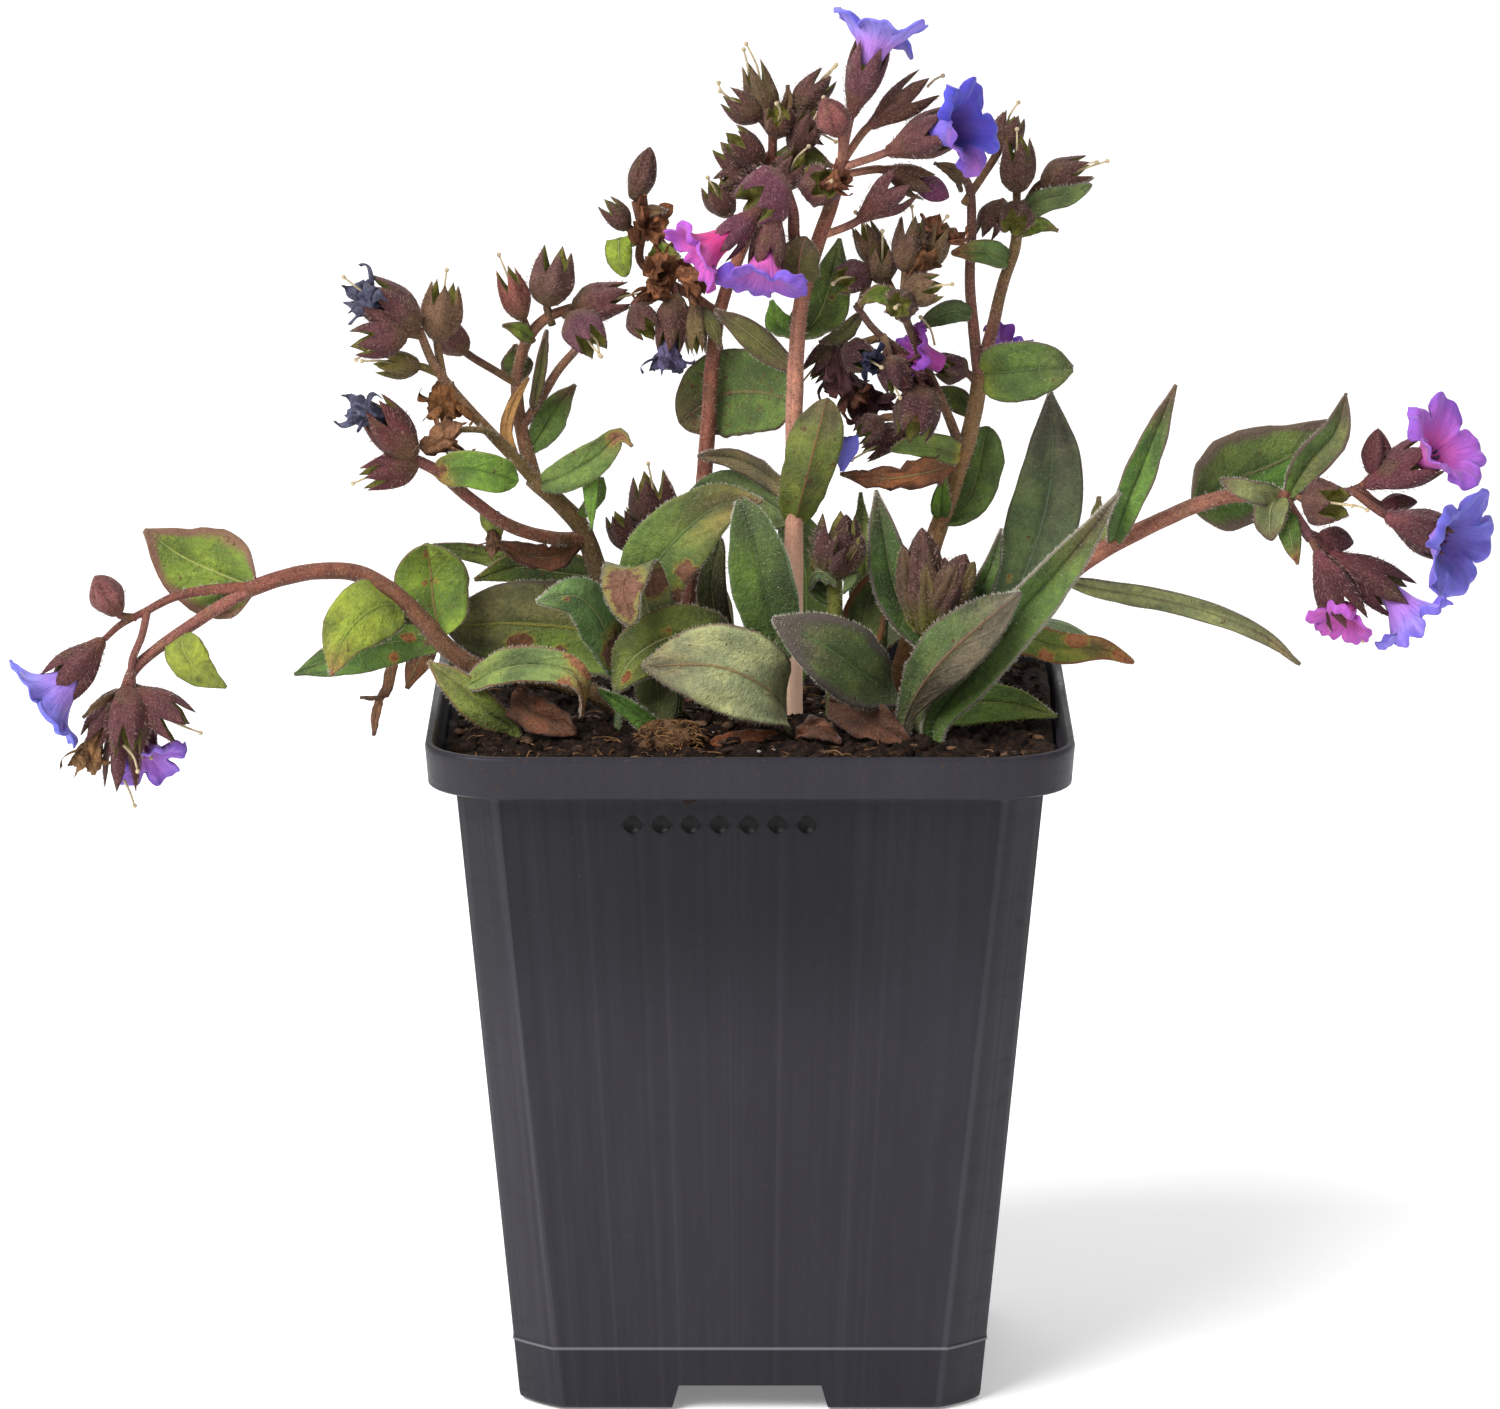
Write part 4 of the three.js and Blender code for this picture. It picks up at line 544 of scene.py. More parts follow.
calyxForms = {
    # the wall's rows are [height, width]; then the notch between the teeth, and their tips' width
    "urn": {"wall": [[0, 0.28], [0.06, 0.46], [0.12, 0.62], [0.26, 0.9], [0.42, 1.02], [0.6, 0.98]],
            "notch": 0.6, "tips": 0.62, "sharp": 0.8},
    "bell": {"wall": [[0, 0.22], [0.08, 0.29], [0.2, 0.46], [0.36, 0.74], [0.52, 0.94], [0.64, 1]],
             "notch": 0.62, "tips": 0.84, "sharp": 0.8},
    "bud": {"wall": [[0, 0.28], [0.06, 0.46], [0.12, 0.62], [0.26, 0.87], [0.42, 1], [0.6, 0.9], [0.76, 0.68],
                     [0.9, 0.36], [1, 0.02]], "notch": 1, "tips": 0, "sharp": 1},
}
calyxSettings = {"teeth": 5, "wallRows": 0.46, "toothRows": 0.26,  # shares of the rows
                 "down": 240, "inside": (104, 106, 36), "cast": (0.84, 0.7, 0.78, 1)}


def calyxMaster(name, form):
    # unit size: its foot at 0, its tips at 1 up Z, its belly 1 across; five keeled teeth
    plan = calyxForms[form]
    wall, notch, tips = plan["wall"], plan["notch"], plan["tips"]
    shut = form == "bud"
    teeth, wallRows, toothRows = (calyxSettings[key] for key in ("teeth", "wallRows", "toothRows"))
    deep = []

    def place(u, v):
        angle = u * 2 * math.pi
        lobe = abs((u * teeth + 0.5) % 1 - 0.5) * 2  # 0 on a tooth's middle, 1 in the notch
        half = math.pi / teeth
        flat = math.cos(half) / math.cos(half * (1 - lobe)) - 1  # five-sided, keeled at each tooth
        keel = 0.75 * flat + 0.02 * math.cos(15 * angle)
        keel -= 0.09 * math.exp(-((1 - lobe) / 0.2) ** 2) * smooth(0.25, 0.4, v)
        if shut:
            height = max(0, v * 1.02 - 0.02)
            pinch = 1 - 0.2 * lobe ** 2 * smooth(0.4, 0.75, height)
            radius = 0 if v in (0, 1) else curveAt(wall, height) * pinch
            deep.append(0.0)
            return spoke(angle) * radius * (1 + keel * smooth(0, 0.25, height)) / 2 + up * height
        tip = notch + (1 - notch) * max(0, 1 - lobe) ** plan["sharp"]
        if v < wallRows:
            height = v / wallRows * (notch - 0.02)
            radius = 0 if v == 0 else curveAt(wall, height)
            deep.append(0.0)
        elif v < wallRows + toothRows:
            part = (v - wallRows) / toothRows
            height = notch - 0.02 + (tip - notch + 0.02) * part
            share = (height - notch + 0.02) / (1 - notch)
            radius = wall[-1][1] + (tips - wall[-1][1]) * share + 0.05 * math.sin(share * math.pi)
            deep.append(0.0)
        else:  # back down inside
            part = (v - wallRows - toothRows) / (1 - wallRows - toothRows)
            height = tip - 0.012 + (0.5 - tip) * part ** 0.8
            share = max(0, (tip - notch) / (1 - notch))
            radius = wall[-1][1] + (tips - wall[-1][1]) * share
            radius = 0 if v == 1 else (radius - 0.1 * min(1, part * 3)) * (1 - smooth(0.55, 1, part))
            deep.append(1.0)
        radius *= 1 + keel * smooth(0, 0.25, height)
        return spoke(angle) * radius / 2 + up * (height - (0.03 if v == 0 else 0))

    piece = sheet(name, 30, 15 if shut else 20, place)
    mark(piece, "inside", deep)
    tidyFaces(piece)
    coat(piece, fleshSkin)
    matrices = []
    for _ in range(calyxSettings["down"]):
        height = random.uniform(0.03, 0.97 if shut else 0.94)
        angle = random.uniform(0, 2 * math.pi)
        if not shut and height > notch:  # only on the teeth
            angle = (random.randrange(teeth) + random.uniform(-0.3, 0.3) * (1 - height)) / teeth * 2 * math.pi
        radius = curveAt(wall, min(height, wall[-1][0])) / 2
        if height > wall[-1][0]:
            radius += (tips - wall[-1][1]) * (height - notch) / (1 - notch) / 2
        out = spoke(angle)
        lean = (out + up * random.uniform(0.1, 0.7) + Vector((-out.y, out.x, 0)) * random.uniform(-0.5, 0.5))
        turn = up.rotation_difference(lean.normalized()).to_matrix().to_4x4()
        size = Matrix.Diagonal((0.0046, 0.0046, random.uniform(0.07, 0.14), 1))
        matrices.append(Matrix.Translation(out * radius * 0.98 + up * height) @ turn @ size)
    hair = repeated(name + "Down", bristle, matrices)
    hair.data.materials[0] = down
    mark(hair, "inside", 0.0)
    return joined(name, [piece, hair])


def knotMaster(name, seed):
    # a dead corolla: a shrunk tube, folded and torn at its mouth, with a few curled shreds
    def place(u, v):
        angle = u * 2 * math.pi
        ring = spoke(angle)
        torn = 0.16 + 0.3 * abs(noise.noise(ring * 1.7 + up * seed))
        torn += 0.16 * abs(noise.noise(ring * 5 + up * seed))
        if v < 0.7:
            height = v / 0.7 * (1 - torn)
            inner = 0
        else:
            height = (1 - torn) - (v - 0.7) / 0.3 * 0.4
            inner = 0.2 * min(1, (v - 0.7) / 0.08)
        shape = curveAt([[0, 0.4], [0.25, 0.66], [0.6, 0.98], [1, 0.86]], min(1, height))
        spot = ring + up * (height * 2 + seed)
        crumple = noise.noise(spot * 1.5) * 0.5 + abs(noise.noise(spot * 3.4)) * 0.7
        folds = 0.3 * abs(math.sin(angle * 3.5 + seed + height * 3))
        radius = 0 if v in (0, 1) else shape * max(0.15, 0.95 + crumple * 0.5 - folds - inner - 0.2)
        return ring * radius / 2 + up * (height + 0.1 * noise.noise(spot * 2.6) * smooth(0, 0.2, v))
    pieces = [sheet(name, 28, 18, place)]
    tidyFaces(pieces[0])
    for i in range(4):
        swing = i * 1.7 + seed
        lie = spoke(swing)

        def shred(u, v):
            angle = u * 2 * math.pi
            curl = lie * (0.2 + 0.42 * math.sin(v * 2.2)) + up * (0.45 + 0.42 * v - 0.3 * v * v * (i % 3))
            wide = 0 if v in (0, 1) else 0.13 * math.sin(min(1, v * 1.25 + 0.1) * math.pi) + 0.03
            across = Vector((-lie.y, lie.x, 0.3 * math.sin(i + v * 3)))
            return curl + across * math.cos(angle) * wide + (lie * 0.3 + up) * math.sin(angle) * 0.035
        pieces.append(sheet(name + "Shred", 8, 8, shred))
        tidyFaces(pieces[-1])
    return coat(joined(name, pieces), driedSkin)


calyces = {form: calyxMaster(form + "Calyx", form) for form in calyxForms}
knots = [knotMaster("knotA", 1.3), knotMaster("knotB", 7.9), knotMaster("knotC", 4.2)]


def turnedTo(foot, axis, width, length, turn):
    # stands a master on its foot, along its axis, in the way the plant's plan gives
    axis = axis.normalized()
    side = axis.cross(Vector((1, 0, 0)) if abs(axis.z) > 0.9 else up).normalized()
    other = axis.cross(side)
    spin = Matrix.Rotation(turn * 2 * math.pi, 4, "Z")
    frameOf = Matrix((side, other, axis)).transposed().to_4x4()
    return Matrix.Translation(foot) @ frameOf @ spin @ Matrix.Diagonal((width, width, length, 1))


def tubeAlong(name, path, startWide, endWide, around, step, ridge=0.05):
    # a tapered, faintly ridged stem, closed at both ends
    rows = max(4, round(path.length / step)) + 2
    spots = []
    side = None
    for i in range(rows + 1):
        share = min(1, max(0, (i - 1) / (rows - 2)))
        heading = path.heading(share)
        side = side or Vector((0, 1, 0.01))
        side = (side - heading * side.dot(heading)).normalized()
        spots.append((path.at(share), side, heading.cross(side), share))
    start = random.uniform(0, 60)

    def place(u, v):
        i = round(v * rows)
        spot, one, two, share = spots[i]
        angle = u * 2 * math.pi
        radius = 0 if i in (0, rows) else (startWide + (endWide - startWide) * share) / 2 * mm
        bump = noise.noise(Vector((math.cos(angle), math.sin(angle), share * path.length * 260 + start)))
        radius *= 1 + ridge * math.cos(5 * angle + start) + bump * 0.09
        return spot + (one * math.cos(angle) + two * math.sin(angle)) * radius

    piece = sheet(name, around, rows, place)
    shares = [spots[i][3] for i in range(rows + 1) for _ in range(around + 1)]
    return piece, shares


def shade(first, second, share):
    return tuple(a + (b - a) * share for a, b in zip(first, second))


leafForms = {  # [share of the length, share of the full width]
    "ovate": [[0, 0.5], [0.14, 0.86], [0.36, 1], [0.6, 0.84], [0.83, 0.42], [1, 0.03]],
    "lance": [[0, 0.3], [0.22, 0.78], [0.48, 1], [0.76, 0.68], [1, 0.03]],
    "basal": [[0, 0.24], [0.22, 0.34], [0.44, 0.86], [0.64, 1], [0.84, 0.68], [1, 0.04]],
    "round": [[0, 0.6], [0.2, 0.86], [0.5, 1], [0.8, 0.98], [1, 0.8]],
    "strap": [[0, 0.6], [0.3, 1], [0.7, 0.9], [1, 0.5]],
    "tongue": [[0, 0.56], [0.25, 0.82], [0.6, 1], [0.85, 0.98], [1, 0.84]],
    "broad": [[0, 0.5], [0.14, 0.82], [0.4, 1], [0.68, 0.9], [0.88, 0.56], [1, 0.08]],
    "small": [[0, 0.35], [0.5, 1], [1, 0.1]],
}


def formAt(form, t):  # the width's share, rounded off at its foot and at a blunt tip
    share = curveAt(leafForms[form], t)
    if form in ("round", "strap", "tongue"):
        share *= max(0, 1 - max(0, (t - 0.6) / 0.4) ** 2.4) ** 0.5
    if form not in ("basal", "lance"):
        share *= (1 - max(0, 1 - t / 0.14) ** 2) ** 0.5
    return max(0.02, share)


leafSettings = {"cast": (0.9, 0.86, 0.76, 1), "margin": 6, "down": 1.5, "thick": 0.42}


def blade(name, path, row, rooted, number):
    # one leaf: its plan's form, with a sunk midrib, quilting, a waved edge and bristles
    points, width, form, across, fold, wave, look = row
    paint = leafLooks[look]
    form = paint.get("form", form)
    width *= mm
    large = width > 4.5 * mm
    columns = 16 if large else 10
    rows = max(18, min(48, round(path.length * 1.2 / mm)))
    stations = [i / rows - 0.1 * math.sin(i / rows * 2 * math.pi) for i in range(rows + 1)]
    lateral = Vector(across).normalized()
    level = Vector((lateral.x, lateral.y, 0))
    if level.length < 0.5:
        level = (path.at(1) - path.at(0)).cross(up)
    level.normalize()
    frames = []
    for t in stations:
        heading = path.heading(t)
        slant = level.lerp(lateral, smooth(0, 0.5, t)) if rooted else lateral
        side = (slant - heading * slant.dot(heading)).normalized()
        frames.append((path.at(t), side, side.cross(heading).normalized()))
    shift = Vector((number * 7.3, number * 3.1, 0))
    crinkle = paint.get("crinkle", 0.16) * mm
    tones = {key: [] for key in ("leafTone", "underTone", "veinTone", "edgeTone", "patchTone",
                                 "edgeMask", "patchMask", "rust")}
    tone, tip, base, half, back = (
        tuple(a * b for a, b in zip(tint(*paint.get(key, other)), leafSettings["cast"]))
        for key, other in (("tone", None), ("tip", paint["tone"]), ("base", paint["tone"]),
                           ("half", paint["tone"]), ("back", [c * 0.8 + 26 for c in paint["tone"]])))
    rim = paint.get("rim", 0.05)
    eye = Vector((0, -eyeBack, eyeUp)) * mm
    front = sum((eye - spot).dot(normal) for spot, side, normal in frames) > 0
    underSeen = paint.get("under", False)
    topUp = front != underSeen  # the leaf's real top lies along its normals

    def place(u, v):
        centre, side, normal = frames[round(v * rows)]
        v = stations[round(v * rows)]
        edge = math.copysign(abs(u * 2 - 1) ** 1.15, u - 0.5)
        share = formAt(form, v)
        wide = width / 2 * share
        ragged = 0.035 * (2 if large else 1) + paint.get("torn", 0)
        margin = 1 + ragged * noise.noise(Vector((v * 9, edge * 2, number)))
        ripple = wave * width * math.sin(v * 9 + edge * 1.3) * abs(edge) * share
        lift = wide * math.sin(fold) * abs(edge) + ripple
        quilt = 0.05 * mm * math.cos((v * 7 - abs(edge) * 1.5) * 2 * math.pi) * (1 - abs(edge)) \
            * smooth(0, 0.25, abs(edge)) * (1 if large else 0.4)
        groove = -0.24 * mm * math.exp(-(edge / 0.1) ** 2) * share * (1 if large else 0.5)
        lift += (quilt + groove) * (1 if topUp else -1)
        lift += crinkle * noise.noise(Vector((edge * 2, v * 6, 0)) + shift)
        lift += crinkle * 1.4 * math.sin(v * 24 + number * 2 + edge) * abs(edge) ** 3 * share
        body = shade(tone, half, smooth(-0.3, 0.3, edge)) if "half" in paint else tone
        wander = 0.12 * noise.noise(Vector((edge * 2, v * 3, number)))
        body = shade(body, tip, smooth(0.62, 0.98, v + wander))
        body = shade(base, body, smooth(0, 0.35, v + wander))
        body = shade(body, tuple(c * 0.62 for c in body), smooth(-0.1, 0.4, noise.noise(
            Vector((edge * 1.6 + number, v * 4, 2)))))
        tones["underTone" if underSeen else "leafTone"].append(body)
        tones["leafTone" if underSeen else "underTone"].append(shade(back, body, 0.25))
        tones["edgeMask"].append(smooth(1 - rim * 2, 1.04, abs(edge)) + smooth(1 - rim, 1.04, v))
        near = max([1 - math.hypot((v - t) * path.length, (edge - e) * width / 2) / (size * mm)
                    for t, e, size in paint.get("patches", [])] or [-1])
        tones["patchMask"].append(max(-1, near))
        return centre + side * edge * wide * math.cos(fold) * margin + normal * lift

    piece = sheet(name, columns, rows, place)
    count = len(tones["leafTone"])
    tones["veinTone"] = [tint(*paint.get("rib", (150, 152, 96)))] * count
    tones["edgeTone"] = [tint(*[c * 0.86 for c in paint.get("edge", (110, 78, 60))])] * count
    tones["patchTone"] = [tint(*paint.get("burnt", (112, 70, 44)))] * count
    tones["rust"] = [float(paint.get("rust", 0.2))] * count
    for key, values in tones.items():
        mark(piece, key, values)
    coat(piece, *((leafTop, leafUnder) if topUp else (leafUnder, leafTop)))
    hairs = []
    downy = paint.get("hair", 1)
    spots = [point.co.copy() for point in piece.data.vertices]
    normals = [point.normal.copy() for point in piece.data.vertices]
    for edgeColumn, out in ((0, -1), (columns, 1)):
        for i in range(rows):
            for _ in range(int(downy * leafSettings["margin"] * path.length / rows / mm + random.random())):
                part = random.random()
                k = i * (columns + 1) + edgeColumn
                root = spots[k].lerp(spots[k + columns + 1], part)
                lean = frames[i][1] * out + frames[i][2] * random.uniform(-0.6, 0.6) \
                    + (spots[k + columns + 1] - spots[k]).normalized() * random.uniform(0, 0.8)
                hairs.append(bristleAt(root, lean.normalized(), random.uniform(0.2, 0.6) * mm))
    for _ in range(int(downy * path.length * width / mm / mm * leafSettings["down"])):
        k = random.randrange(count)
        face = random.choice((1, 1, -1))
        lean = normals[k] * face + Vector([random.uniform(-0.7, 0.7) for _ in range(3)])
        hairs.append(bristleAt(spots[k] + normals[k] * face * 0.15 * mm, lean.normalized(),
                               random.uniform(0.2, 0.45) * mm))
    thick = paint.get("thick", leafSettings["thick"]) * mm
    finishWith(piece, "SOLIDIFY", thickness=thick, offset=0, material_offset=1, use_rim=True)
    if not hairs:
        return piece
    fuzz = repeated(name + "Hair", bristle, hairs)
    for key, values in tones.items():
        mark(fuzz, key, values[0])
    return joined(name, [piece, fuzz])


def spineOf(path, reach=9 * mm):  # the stem's line in short stretches, which leaves root on
    steps = max(1, round(path.length / reach))
    joints = [path.at(i / steps) for i in range(steps + 1)]
    return list(zip(joints, joints[1:]))


def rootOf(spines, point):
    spot = seen(point)
    best, least = spot, 4 * mm
    for start, end in spines:
        run = end - start
        share = min(1, max(0, (spot - start).dot(run) / run.length_squared))
        near = start + run * share
        if (near - spot).length < least:
            best, least = near, (near - spot).length
    return best


def pathOf(points, root=None, rooted=False):
    spots = [seen(point) for point in points]
    if root:
        spots[0] = root
    if rooted:
        spots.insert(0, spots[0] - up * 5 * mm)
    return Path(spots)


def growFlesh(name, plan, skin):
    # stems with their bristles, stalks, calyces, dead corollas and pale styles, in one piece
    parts, hairs, spines = [], [], []
    for row, (low, *middle, high) in zip(plan.get("stems", []), skin["stems"]):
        points, startWide, endWide = row[:3]
        rooted = len(row) > 3
        path = pathOf(points, None if rooted else rootOf(spines, points[0]), rooted)
        piece, shares = tubeAlong(name + "Stem", path, startWide, endWide, 14, 0.8 * mm)
        middle = tint(*middle[0]) if middle else shade(tint(*low), tint(*high), 0.4)
        mark(piece, "tone", [shade(shade(tint(*low), middle, smooth(0.2, 0.45, share)), tint(*high),
                                   smooth(0.35, 1, share)) for share in shares])
        tidyFaces(piece)
        parts.append(coat(piece, fleshSkin))
        spines += spineOf(path)
        for _ in range(int(path.length / mm * skin.get("hair", 6) * 2.2)):
            share = random.random()
            heading = path.heading(share)
            out = Vector([random.uniform(-1, 1) for _ in range(3)])
            out = (out - heading * out.dot(heading)).normalized()
            wide = (startWide + (endWide - startWide) * share) / 2 * mm
            lean = (out + heading * random.uniform(-0.1, 0.5)).normalized()
            hairs.append(bristleAt(path.at(share) + out * wide * 0.95, lean,
                                   random.uniform(0.25, 0.8) * mm))
    shell = tint(*calyxSettings["inside"])
    ways = [(seen(foot), seen(tip)) for foot, tip in skin.get("styles", [])]
    for number, (kind, stalk, foot, tip, width) in enumerate(plan.get("heads", []) + skin.get("more", [])):
        turn = ((number + 1) * 0.37) % 1
        colour = skin.get("heads", {}).get(number, skin["dead" if kind == "withered" else "calyx"])
        if kind == "withered":
            start = seen(foot)
            axis = seen(tip) - start
            matrix = turnedTo(start, axis, width * mm * skin.get("crumpled", 1.15), axis.length * 1.1, turn)
            piece = copyOf(knots[number % 3], name + "Knot", matrix)
            mark(piece, "tone", tint(*colour))
            parts.append(piece)
            continue
        start = seen(foot) if stalk else rootOf(spines, foot)
        axis = seen(tip) - start
        piece = copyOf(calyces[kind], name + "Calyx", turnedTo(start, axis, width * mm, axis.length, turn))
        for point in piece.data.vertices:  # no two are quite alike
            point.co += noise.noise_vector(point.co * 260 + up * number) * 0.22 * mm
        outer, low = (tuple(a * b for a, b in zip(tint(*each), calyxSettings["cast"]))
                      for each in (colour, skin.get("foot", colour)))
        inside = [item.value for item in piece.data.attributes["inside"].data]
        heights = [(point.co - start).dot(axis) / axis.length_squared for point in piece.data.vertices]
        mark(piece, "tone", [shade(shade(low, outer, smooth(0, 0.5, high)), shell, deep)
                             for high, deep in zip(heights, inside)])
        parts.append(piece)
        for i in range(skin.get("bracts", 0)):  # a young bud is a bundle of pointed bracts
            swing = i * 2.399 + number
            out = Vector((math.cos(swing), math.sin(swing) * 0.8, 0)) * width * 0.3 * mm
            lean = axis * random.uniform(0.5, 0.78) + out * random.uniform(0.1, 0.7)
            foot = start + out * 0.8 + axis * random.uniform(0, 0.24)
            bract = copyOf(calyces["bud"], name + "Bract",
                           turnedTo(foot, lean, width * 0.6 * mm, lean.length, i * 0.31))
            mark(bract, "tone", [shade(low, shade(outer, low, 0.3 * (i % 3) / 2), smooth(0.1, 0.45, (
                point.co - start).dot(axis) / axis.length_squared)) for point in bract.data.vertices])
            parts.append(bract)
        if kind == "urn" and number % 5 != 3 and width > 4.3 and "bracts" not in skin:
            ways.append((start + axis * 0.5, start + axis * random.uniform(1.08, 1.3)))
        if stalk:
            spots = [rootOf(spines, stalk), start, start + axis.normalized() * 1.4 * mm]
            piece, shares = tubeAlong(name + "Stalk", Path(spots), 1.15, 1.2, 8, 0.9 * mm)
            mark(piece, "tone", [shade(tint(*skin["stems"][0][1]), outer, share) for share in shares])
            tidyFaces(piece)
            parts.append(coat(piece, fleshSkin))
    for number, (foot, tip) in enumerate(ways):  # a thread with a small knob at its end
        sway = Vector((math.sin(number * 2.1), math.cos(number * 1.3), 0.4)) * 0.5 * mm
        thread = Path([foot, foot.lerp(tip, 0.5) + sway, tip])
        piece, shares = tubeAlong(name + "Style", thread, 0.42, 0.3, 6, 0.8 * mm, 0)
        bpy.ops.mesh.primitive_uv_sphere_add(segments=8, ring_count=6, radius=0.34 * mm)
        knob = bpy.context.object
        knob.data.transform(Matrix.Translation(tip))
        piece = joined(name + "Style", [piece, knob])
        mark(piece, "tone", tint(206, 190, 152))
        tidyFaces(piece)
        parts.append(coat(piece, fleshSkin))
    if hairs:
        piece = repeated(name + "Hair", bristle, hairs)
        mark(piece, "tone", tint(200, 190, 180))
        parts.append(piece)
    return joined(name, parts), spines


def growLeaves(name, rows, spines, rootedRows):
    parts = []
    for number, row in enumerate(rows):
        rooted = rootedRows is True or (rootedRows and number < rootedRows)
        root = None if rooted or not spines else rootOf(spines, row[0][0])
        parts.append(blade(name + "Blade", pathOf(row[0], root, rooted), row, rooted,
                           number + len(name)))
    return joined(name, parts)
